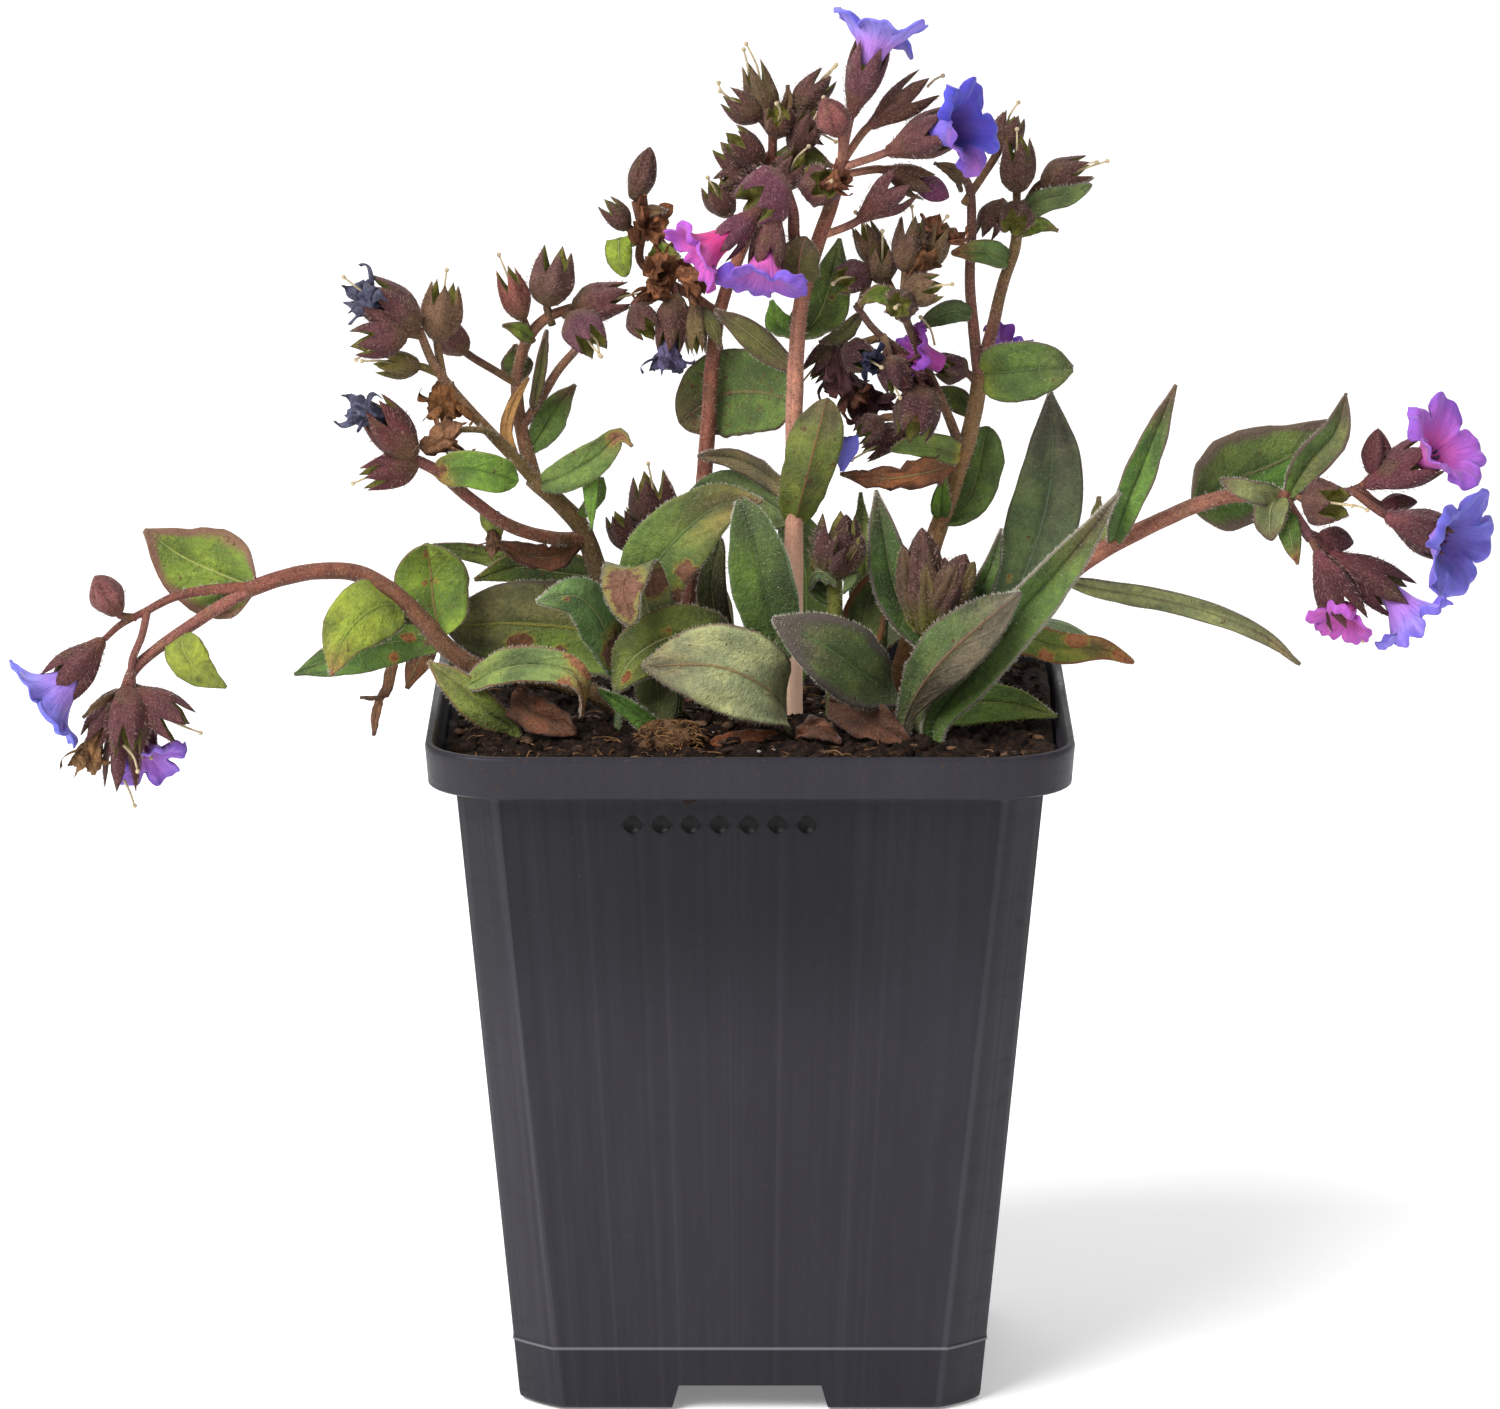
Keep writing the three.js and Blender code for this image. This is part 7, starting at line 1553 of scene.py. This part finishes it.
flowers = {  # seen in front: throat and mouth, width and turn, how far each lobe stands out, and
    # the colours from the tube out to the rim, of the back and of the face; odd lobes have their own
    "left_blue_flower": {
        "at": ((-95.4, 98.6, -3.8), (-100.6, 94.6, -4.8)), "size": (15.4, 0.05),
        "rises": (0.6, 0.4, 0.8, 0.2, 0.5),
        "back": ((150, 122, 208), (126, 124, 216), (96, 100, 204)),
        "face": ((170, 150, 220), (120, 122, 216), (92, 96, 204))},
    "left_violet_flower": {
        "at": ((-87.2, 90.2, 3.4), (-85.2, 85.4, 0.4)), "size": (11.4, 0),
        "rises": (0.4, 0, 0.6, 0, 0.4),
        "back": ((150, 96, 180), (140, 104, 196), (116, 90, 190)),
        "face": ((170, 120, 204), (152, 108, 204), (118, 92, 200))},
    "hanging_pink_flower": {
        "at": ((-2.6, 161.8, -11), (-7.8, 158.6, -12.6)), "size": (11.2, 0.1),
        "rises": (0.8, 0.4, 0.6, 0.6, 0.8),
        "back": ((206, 60, 128), (202, 84, 160), (148, 82, 184)),
        "face": ((214, 84, 160), (190, 84, 172), (140, 80, 190))},
    "hanging_violet_flower": {
        "at": ((2.4, 159.4, -9.8), (1.6, 154, -12)), "size": (13.8, 0.05),
        "rises": (-0.6, 0.2, -0.4, -0.8, 0.1),
        "back": ((204, 96, 172), (178, 104, 196), (110, 84, 196)),
        "face": ((190, 110, 190), (142, 96, 196), (104, 84, 200))},
    "top_flower": {
        "at": ((16.6, 185.6, -3.2), (18, 191.4, -2.4)), "size": (13.6, 0.1),
        "rises": (-0.6, 2, 0.2, 1.7, -1.6),
        "back": ((172, 122, 204), (144, 136, 220), (104, 102, 208)),
        "face": ((160, 120, 208), (130, 124, 218), (100, 100, 206))},
    "upper_blue_flower": {
        "at": ((25.6, 176, -3.6), (30.9, 177, -6.8)), "size": (14, 0.05),
        "rises": (0.5, 0.2, 0.8, 0.3, 0.6),
        "back": ((124, 104, 204), (114, 104, 210), (84, 84, 196)),
        "face": ((52, 50, 132), (72, 72, 184), (78, 78, 196)),
        "lobes": {0: (140, 88, 178), 1: (152, 92, 176)}},
    "middle_violet_flower": {
        "at": ((26.8, 143.4, 0), (22.4, 145.6, -2)), "size": (8.4, 0),
        "rises": (0.2, 0.4, 0, 0.3, 0.2),
        "back": ((156, 56, 138), (142, 60, 152), (116, 62, 158)),
        "face": ((160, 62, 144), (138, 62, 154), (112, 60, 160))},
    "right_pink_flower": {
        "at": ((94.8, 129.2, -4.8), (98.6, 132.2, -7.6)), "size": (14.8, 0.05),
        "rises": (0.4, 0.8, 0.2, 1, 0.4),
        "back": ((204, 96, 176), (188, 104, 190), (132, 82, 182)),
        "face": ((190, 90, 176), (160, 92, 190), (126, 84, 190))},
    "right_blue_flower": {
        "at": ((96, 119, -5.6), (100.6, 117.2, -9)), "size": (16.8, 0.1),
        "rises": (0.4, 0.9, 0.3, 0.5, 0.8),
        "back": ((150, 116, 206), (134, 120, 214), (98, 92, 192)),
        "face": ((84, 84, 166), (92, 94, 186), (104, 98, 196))},
    "low_pink_flower": {
        "at": ((84.6, 108.6, -7.6), (83.6, 105.8, -9.6)), "size": (10, 0.1),
        "rises": (0.8, 0.3, 0.6, 0.8, 0.4),
        "back": ((206, 88, 168), (192, 92, 178), (164, 78, 176)),
        "face": ((206, 96, 178), (188, 90, 180), (158, 78, 178))},
    "low_violet_flower": {
        "at": ((90.2, 111, -4.2), (94.4, 105.8, -5.4)), "size": (12.6, 0),
        "rises": (0.6, 0.2, 0.8, 0.4, 0.6),
        "back": ((166, 116, 206), (148, 128, 216), (108, 100, 206)),
        "face": ((150, 120, 212), (132, 120, 214), (100, 94, 204))},
}


def bloom(name, flower):
    # a cone that opens to five ruffled lobes, thin as a petal, with anthers in its throat
    start, centre = seen(flower["at"][0]), seen(flower["at"][1])
    width, turn = flower["size"]
    radius, length = width / 2 * mm, (centre - start).length
    number = len(name) * 1.7
    tones = {"petalTone": [], "innerTone": [], "veinTone": []}
    back = [tint(*colour) for colour in flower["back"]]
    face = [tint(*colour) for colour in flower["face"]]
    odd = {lobe: tint(*colour) for lobe, colour in flower.get("lobes", {}).items()}

    def place(u, v):
        angle = u * 2 * math.pi
        lobe = round(u * 5) % 5
        x = abs((u * 5 + 0.5) % 1 - 0.5) * 2  # 0 on a lobe's middle, 1 between two
        ring = spoke(angle)
        outline = 0.56 + 0.44 * max(0, 1 - x ** 3) ** 0.5
        outline *= 1 + 0.06 * noise.noise(ring * 4 + up * number) \
            + 0.07 * noise.noise(Vector((lobe * 3.1, number, 0)))
        valley = 0.62 - 0.13 * x ** 2
        reach = curveAt([[0, 1.25 * mm], [0.3, 0.34 * radius], [0.62, valley * radius],
                         [1, outline * radius]], v)
        raised = flower["rises"][lobe] * mm * (1 - x ** 3 * 0.4) - x ** 4 * 0.8 * mm
        rise = curveAt([[0, 0], [0.3, length * 0.46], [0.62, length * 0.84],
                        [1, length + raised]], v)
        loose = smooth(0.5, 1, v)
        rise += loose * 0.24 * mm * math.sin(u * 2 * math.pi * 15 + number + 2 * math.sin(angle))
        rise += loose * 0.9 * mm * noise.noise(ring * 2.6 + up * (v + number))
        rise += 0.5 * mm * noise.noise(ring * 1.4 + up * (v * 3 + number * 2)) * smooth(0.2, 0.6, v)
        rise -= 0.3 * mm * math.exp(-(x / 0.16) ** 2) * smooth(0.3, 0.7, v)  # the lobe's crease
        rise += 0.8 * mm * noise.noise(Vector((x * 1.5, lobe * 5.3, v * 2 + number))) * loose
        rise -= smooth(0.84, 1, v) ** 2 * (0.5 + 0.7 * math.sin(lobe * 2.3 + number)) * mm  # the rim rolls
        hue = 0.5 + 0.7 * noise.noise(ring * 1.6 + up * (number * 3 + v))
        for key, (tube, middle, rim) in (("petalTone", back), ("innerTone", face)):
            middle = shade(middle, odd[lobe], 1 - x ** 2) if lobe in odd else middle
            rim = shade(rim, odd[lobe], 0.6) if lobe in odd else rim
            body = shade(tube, middle, smooth(0.3, 0.72, v))
            tones[key].append(shade(body, rim, smooth(0.72, 1, v) * min(1, max(0.1, 0.35 + 0.65 * hue))))
        tones["veinTone"].append(tuple(c * 0.6 for c in back[2][:3]) + (1,))
        return ring * reach + up * rise

    piece = sheet(name, 90, 20, place)
    for key, values in tones.items():
        mark(piece, key, values)
    tidyFaces(piece, False)
    outward = sum(face.normal.dot(Vector((face.center.x, face.center.y, 0))) for face in piece.data.polygons
                  if (face.center - Vector((0, 0, face.center.z))).length < 0.4 * radius) > 0
    coat(piece, *((petalBack, petalFace) if outward else (petalFace, petalBack)))
    finishWith(piece, "SOLIDIFY", thickness=0.24 * mm, offset=0, use_rim=True, material_offset=1)
    anthers = []
    for i in range(5):
        bpy.ops.mesh.primitive_uv_sphere_add(segments=8, ring_count=6, radius=1)
        anther = bpy.context.object
        angle = (i / 5 + 0.1) * 2 * math.pi
        spot = Vector((math.cos(angle) * 0.8, math.sin(angle) * 0.8, length / mm * 0.42)) * mm
        anther.data.transform(Matrix.Translation(spot) @ Matrix.Diagonal((0.24 * mm, 0.24 * mm, 0.6 * mm, 1)))
        mark(anther, "petalTone", tint(92, 70, 104))
        mark(anther, "innerTone", tint(92, 70, 104))
        mark(anther, "veinTone", tint(60, 44, 70))
        anthers.append(coat(anther, petalBack))
    piece = joined(name, [piece] + anthers)
    piece.data.transform(turnedTo(start, centre - start, 1, 1, turn))
    return piece


for node, flower in flowers.items():
    stand(bloom(node + "_corolla", flower), node)

behindBranch = {  # a small bloom on the right stem; its rim shows beside the branch
    "at": ((34.7, 143, 14.6), (36.3, 147.2, 16.2)), "size": (7.6, 0.42),
    "rises": (1, 0.2, 0.5, 0.4, 0.9),
    "back": ((140, 70, 160), (120, 66, 170), (104, 60, 168)),
    "face": ((150, 66, 150), (112, 62, 166), (100, 60, 170))}
stand(bloom("right_upright_bloom", behindBranch), "right_upright_stem", False)

purpleBud = {"at": ((23.2, 169.2, 3.2), (28, 167, 5)), "width": 3.8, "turn": 0.37, "tone": (112, 52, 92)}
foot, tip = [seen(point) for point in purpleBud["at"]]
budPiece = copyOf(calyces["bud"], "purple_bud_corolla", turnedTo(
    foot, tip - foot, purpleBud["width"] * mm, (tip - foot).length, purpleBud["turn"]))
mark(budPiece, "tone", tint(*purpleBud["tone"]))
stand(budPiece, "purple_bud")

fallenPetal = {"tone": (104, 104, 206), "tip": (112, 110, 214), "edge": (88, 88, 196), "hair": 0}
leafLooks["bluePetal"] = fallenPetal
petalRow = ([(14.2, 131.4, -4), (13.8, 133, -5), (12.9, 128, -6.4)], 3.8, "small", (1, 0, 0.4),
            0.3, 0, "bluePetal")
petalPiece = growLeaves("blue_petal_lobe", [petalRow], [], False)
mark(petalPiece, "petalTone", tint(*fallenPetal["tone"]))
for i in range(len(petalPiece.data.materials)):
    petalPiece.data.materials[i] = petalBack
stand(petalPiece, "blue_petal")


print("the pot")

def wallAt(z):
    return pot["bodyBaseHalf"] + (pot["bodyTopHalf"] - pot["bodyBaseHalf"]) * z / rimFoot


def squareSpot(u, half, corner, roundness):
    # a point round a square with cut or rounded corners; u runs once round
    quarter = int(u * 4) % 4
    part = u * 4 - int(u * 4)
    run = half - corner
    side = 16 / 42  # of a quarter's columns, so that one falls on each of the corner's edges
    start = quarter * math.pi / 2
    one = spoke(start)
    other = Vector((-one.y, one.x, 0))
    if part < side:  # the half side before the corner
        return one * half + other * run * part / side
    if part >= 1 - side:
        return other * half + one * run * (1 - part) / side
    t = (part - side) / (1 - side * 2)
    flat = (one * corner).lerp(other * corner, t)
    return (one + other) * run + flat.lerp(spoke(start + t * math.pi / 2) * corner, roundness)


def squareLoft(name, rings):
    # rings of [half, corner, roundness, z], closed to a point at each end
    rows = len(rings) + 1

    def place(u, v):
        i = round(v * rows)
        half, corner, roundness, z = rings[min(max(i - 1, 0), len(rings) - 1)]
        if i in (0, rows):
            return Vector((0, 0, z)) * mm
        spot = squareSpot(u % 1, half, corner, roundness)
        return (spot + up * z) * mm

    piece = sheet(name, 168, rows, place)
    tidyFaces(piece)
    return piece


def ringsBetween(first, last, count):
    return [[a + (b - a) * i / count for a, b in zip(first, last)] for i in range(count)]


wallFoot, wallTop = [wallAt(1.1), 5.6, 0.12, 1.1], [wallAt(rimFoot - 1.4), 6, 0.12, rimFoot - 1.4]
seam = pot["seamHeight"]
outerRings = [[31.4, 5.5, 0.3, 0], [wallAt(0) - 0.35, 5.6, 0.3, 0.15], [wallAt(0.5) - 0.08, 5.6, 0.2, 0.5]]
outerRings += ringsBetween(wallFoot, [wallAt(seam - 0.4), 5.7, 0.12, seam - 0.4], 4)
outerRings += [[wallAt(seam - 0.3), 5.7, 0.12, seam - 0.3], [wallAt(seam) + 0.16, 5.7, 0.12, seam - 0.05],
               [wallAt(seam) + 0.16, 5.7, 0.12, seam + 0.1], [wallAt(seam + 0.3), 5.7, 0.12, seam + 0.35]]
outerRings += ringsBetween([wallAt(seam + 0.8), 5.7, 0.12, seam + 0.8], wallTop, 30)
outerRings += [wallTop, [wallAt(rimFoot - 0.8) + 0.1, 6.2, 0.15, rimFoot - 0.8],
               [wallAt(rimFoot) + 0.6, 7, 0.3, rimFoot - 0.35], [42.9, 9, 0.6, rimFoot - 0.15],
               [44.2, 10.8, 0.88, rimFoot - 0.02], [44.52, 11, 0.9, rimFoot + 0.25],
               [44.58, 11.1, 0.9, rimFoot + 0.8]]
outerRings += ringsBetween([44.62, 11.2, 0.92, rimFoot + 1.4], [44.94, 11.9, 1, 95], 4)
outerRings += [[44.96, 11.95, 1, 95.1], [44.98, 12, 1, 95.5], [44.86, 11.9, 1, 95.82], [44.6, 11.6, 1, 96]]
potPiece = squareLoft("pot_shell", outerRings)

floor = pot["wall"]
innerRings = [[wallAt(floor) - 1.6, 5, 0.1, floor], [wallAt(floor) - 1.2, 5, 0.1, floor + 0.4]]
innerRings += ringsBetween([wallAt(3) - 1.2, 5, 0.1, 3],
                           [wallAt(rimFoot - 1) - 1.2, 5.4, 0.1, rimFoot - 1], 8)
innerRings += [[wallAt(rimFoot - 1) - 1.15, 5.6, 0.2, rimFoot - 0.6], [42.8, 10, 0.8, rimFoot + 0.3],
               [43.1, 10.4, 0.9, rimFoot + 0.7], [43.5, 10.7, 0.95, 94], [43.66, 10.8, 1, 95.5],
               [43.9, 11, 1, 95.86], [44.3, 11.3, 1, 96.2], [44.3, 11.3, 1, 97]]
cavity = squareLoft("pot_cavity", innerRings)


def channelBar(name, wide, height, turned):
    # the gap under the base between two rows of feet
    bpy.ops.mesh.primitive_cube_add(size=1, location=(0, 0, (height - 1) / 2 * mm),
                                    scale=(120 * mm, 2 * mm, (height + 1) * mm))
    bar = bpy.context.object
    bar.name = name
    bpy.ops.object.transform_apply(location=True, scale=True)
    for point in bar.data.vertices:
        side = math.copysign(1, point.co.y)
        half = pot["channelTop"] if point.co.z > 0 else pot["channelBase"]
        point.co.y = side * (half + wide) * mm
    if turned:
        bar.data.transform(Matrix.Rotation(math.pi / 2, 4, "Z"))
    return bar


def cutWith(piece, tool):
    finishWith(piece, "BOOLEAN", object=tool, operation="DIFFERENCE", solver="EXACT")
    away(tool)


for turned in (False, True):
    cutWith(cavity, channelBar("raisedFloor", pot["wall"], pot["footHeight"] + pot["wall"], turned))
for turned in (False, True):
    cutWith(potPiece, channelBar("footGap", 0, pot["footHeight"], turned))
cutWith(potPiece, cavity)
spread = pot["drainSpread"]
for x, y in ((0, 0), (spread, 0), (-spread, 0), (0, spread), (0, -spread)):
    bpy.ops.mesh.primitive_cylinder_add(vertices=24, radius=pot["drain"] * mm, depth=8 * mm,
                                        location=(x * mm, y * mm, 4 * mm))
    hole = bpy.context.object
    bpy.ops.object.transform_apply(location=True)
    cutWith(potPiece, hole)
for i in range(pot["dimples"]):  # sink marks under the rim's front
    x = pot["firstDimple"] + i * pot["dimplePitch"]
    y = -wallAt(pot["dimpleHeight"]) - pot["dimpleOut"]
    bpy.ops.mesh.primitive_uv_sphere_add(segments=18, ring_count=10, radius=pot["dimpleSize"] * mm,
                                         location=(x * mm, y * mm, pot["dimpleHeight"] * mm))
    dimple = bpy.context.object
    bpy.ops.object.transform_apply(location=True)
    cutWith(potPiece, dimple)
potPiece.name = "pot_shell"
coat(potPiece, potPlastic)
stand(potPiece, "pot")
pick(potPiece)
bpy.ops.object.shade_smooth_by_angle(angle=math.radians(32))
bpy.ops.object.select_all(action="DESELECT")


print("the soil")

soil = {
    "level": 91.2, "crumbs": 3400, "fibres": 420, "chips": 320, "grit": 60, "relief": 2.2,
    "swells": [(2, 2, 2.4, 520), (38, 16, 4.6, 330)],  # place, height and spread
    "grains": [(0.55, 3, 0.5), (1.3, 9, 0.34), (2.7, 5, 0.16)],  # how fine, seed and share
}


def soilLevel(x, y):
    lumps = 0.55 * math.sin(x * 0.31 + 1) * math.sin(y * 0.27) + 0.4 * math.sin(x * 0.7 + y * 0.5)
    return soil["level"] + lumps + sum(high * math.exp(-((x - a) ** 2 + (y - b) ** 2) / spread)
                                       for a, b, high, spread in soil["swells"])


def crumble(x, y):
    return soil["relief"] * sum(share * noise.noise(Vector((x * fine, y * fine, seed)))
                                for fine, seed, share in soil["grains"])


soilRows = 64
skirtRows = 8


def soilPlace(u, v):
    i = round(v * (soilRows + skirtRows))
    if i < skirtRows:  # the skirt, from the floor's middle up to the edge
        steps = [(0, 5.03), (1, 5.03), (1, 6), (1, 30), (1, 60), (1, 86), (1, 89), (1.03, 90.9)]
        share, z = steps[i]
        half = (wallAt(z) - 1.2 - 0.35) * min(share, 1) if z < 90 else 42.6
        if share == 0:
            return Vector((0, 0, z)) * mm
        corner = 5 if z < 90 else 10.2
        return (squareSpot(u % 1, half, corner, 0.05 if z < 90 else 0.9) + up * z) * mm
    share = 1 - (i - skirtRows) / soilRows
    if share <= 0:
        return Vector((0, 0, soilLevel(0, 0) + crumble(0, 0))) * mm
    spot = squareSpot(u % 1, 42.75 * share, 10.4 * share, 0.9)
    rise = soilLevel(spot.x, spot.y) + crumble(spot.x, spot.y) * smooth(1, 0.97, share)
    return (spot + up * rise) * mm


soilPiece = sheet("soil_heap", 240, soilRows + skirtRows, soilPlace)
tidyFaces(soilPiece)
coat(soilPiece, peat)
stand(soilPiece, "potting_soil")


def lumpMaster(name, seed, flat, material):  # a small rough lump, about 1 across
    bpy.ops.mesh.primitive_ico_sphere_add(subdivisions=1, radius=0.5)
    lump = bpy.context.object
    lump.name = name
    for point in lump.data.vertices:
        point.co *= 1 + 0.5 * noise.noise(point.co * 2.3 + Vector((seed, seed * 2, 0)))
        point.co.z *= flat
    return coat(lump, material)


def soilSpot(edge=41):
    while True:
        x, y = random.uniform(-edge, edge), random.uniform(-edge, edge)
        if abs(x) + abs(y) < edge * 1.75:
            return Vector((x, y, soilLevel(x, y) + crumble(x, y))) * mm


def anyTurn():
    spin = Matrix.Rotation(random.uniform(0, 6.28), 4, "Z")
    return spin @ Matrix.Rotation(random.uniform(-0.6, 0.6), 4, "X")


def strewn(name, masters, count, sizes, sink, stretch=(1, 1)):
    pieces = []
    share = count // len(masters)
    for master in masters:
        matrices = []
        for _ in range(share):
            size = random.uniform(*sizes) * mm
            spot = soilSpot() - up * size * sink
            grow = Matrix.Diagonal((size * random.uniform(*stretch), size, size * random.uniform(0.7, 1), 1))
            matrices.append(Matrix.Translation(spot) @ anyTurn() @ grow)
        pieces.append(repeated(name, master, matrices))
        away(master)
    return joined(name, pieces)


crumbs = strewn("soil_crumbs", [lumpMaster("crumbA", 1, 0.8, peat), lumpMaster("crumbB", 5, 0.6, peat),
                                lumpMaster("crumbC", 9, 0.9, peat)],
                soil["crumbs"], (0.5, 2.9), 0.12)
stand(crumbs, "potting_soil")
chips = strewn("soil_bark", [lumpMaster("chipA", 3, 0.35, bark), lumpMaster("chipB", 6, 0.3, bark)],
               soil["chips"], (0.7, 2.3), -0.02, (1.2, 2.8))
stand(chips, "potting_soil")
gritPiece = strewn("soil_grit", [lumpMaster("gritA", 4, 0.8, grit)], soil["grit"], (0.4, 1), 0.1)
stand(gritPiece, "potting_soil")


def fibreMaster(name, bend):  # a thin bent strand, 1 long
    def place(u, v):
        angle = u * 2 * math.pi
        radius = 0 if v in (0, 1) else 0.035 * (1 - 0.4 * v)
        return Vector((v - 0.5, math.cos(angle) * radius + bend * math.sin(v * 4),
                       math.sin(angle) * radius + 0.16 * math.sin(v * math.pi)))
    strand = sheet(name, 5, 7, place)
    tidyFaces(strand)
    return coat(strand, fibre)


strands = strewn("soil_fibres", [fibreMaster("strandA", 0.05), fibreMaster("strandB", -0.09),
                                 fibreMaster("strandC", 0.02)],
                 soil["fibres"], (1.6, 4.4), -0.04)
stand(strands, "potting_soil")

tangle = {"at": (-11, -17, 93), "size": (4.6, 3.4, 2.4), "strands": 420}  # a matted tan clod
strand = fibreMaster("tangleStrand", 0.07)
matrices = []
for _ in range(tangle["strands"]):
    way = Vector([random.uniform(-1, 1) for _ in range(3)]).normalized()
    spot = Vector([a + b * c for a, b, c in zip(tangle["at"], way, tangle["size"])]) * mm
    size = random.uniform(1.4, 3) * mm
    matrices.append(Matrix.Translation(spot) @ anyTurn() @ Matrix.Diagonal((size, size, size, 1)))
clod = repeated("soil_tangle", strand, matrices)
away(strand)
bpy.ops.mesh.primitive_ico_sphere_add(subdivisions=3, radius=0.92)
core = bpy.context.object
for point in core.data.vertices:
    swell = 1 + 0.5 * noise.noise(point.co * 2.4)
    point.co = Vector([a + b * c * swell for a, b, c in zip(tangle["at"], point.co, tangle["size"])]) * mm
stand(joined("soil_tangle", [clod, coat(core, bark)]), "potting_soil")

for master in (bristle, *calyces.values(), *knots):
    away(master)


print("floor, light and camera")

view = {"eye": (0, -1.2739, 0.3536), "aim": (0, 0, 0.0944), "lens": 219.9}
bpy.ops.mesh.primitive_grid_add(x_subdivisions=60, y_subdivisions=60, size=12, location=(0, 4, 0))
floorPiece = bpy.context.object
floorPiece.name = "studio_floor"
bpy.ops.object.transform_apply(location=True)
for point in floorPiece.data.vertices:  # the sweep rises behind the plant
    point.co.z = max(0, point.co.y - 1.4) ** 2 * 0.35 - 0.0002
floorPaint = Paint("paleFloor", Roughness=0.9, Specular_IOR_Level=0.1, Emission_Strength=0.2)
floorPaint.feed("Base Color", floorPaint.mix(floorPaint.noise(6, 2), tint(244, 244, 244),
                                             tint(247, 247, 247)))
coat(floorPiece, floorPaint.material)

studio = bpy.data.worlds.new("studio")
studio.use_nodes = True
studio.node_tree.nodes["Background"].inputs[0].default_value = (1, 1, 1, 1)
studio.node_tree.nodes["Background"].inputs[1].default_value = 0.36
bpy.context.scene.world = studio

lights = {  # [place, size, watts]
    "keyLight": ((-1.0, -1.1, 1.4), 1.4, 56),
    "fillLight": ((1.4, -1.2, 0.7), 1.2, 3),
    "backLight": ((0.2, 1.2, 1.3), 1.4, 12),
}
for name, (spot, size, watts) in lights.items():
    bpy.ops.object.light_add(type="AREA", location=spot)
    lamp = bpy.context.object
    lamp.name = name
    lamp.data.shape = "DISK"
    lamp.data.size = size
    lamp.data.energy = watts
    aim = Vector((0, 0, 0.1)) - Vector(spot)
    lamp.rotation_euler = aim.to_track_quat("-Z", "Y").to_euler()

bpy.ops.object.camera_add(location=view["eye"])
camera = bpy.context.object
camera.name = "photoCamera"
camera.data.lens = view["lens"]
camera.data.sensor_width = 36
camera.data.clip_end = 30
camera.rotation_euler = (Vector(view["aim"]) - Vector(view["eye"])).to_track_quat("-Z", "Y").to_euler()
bpy.context.scene.camera = camera
bpy.context.scene.view_settings.view_transform = "Standard"
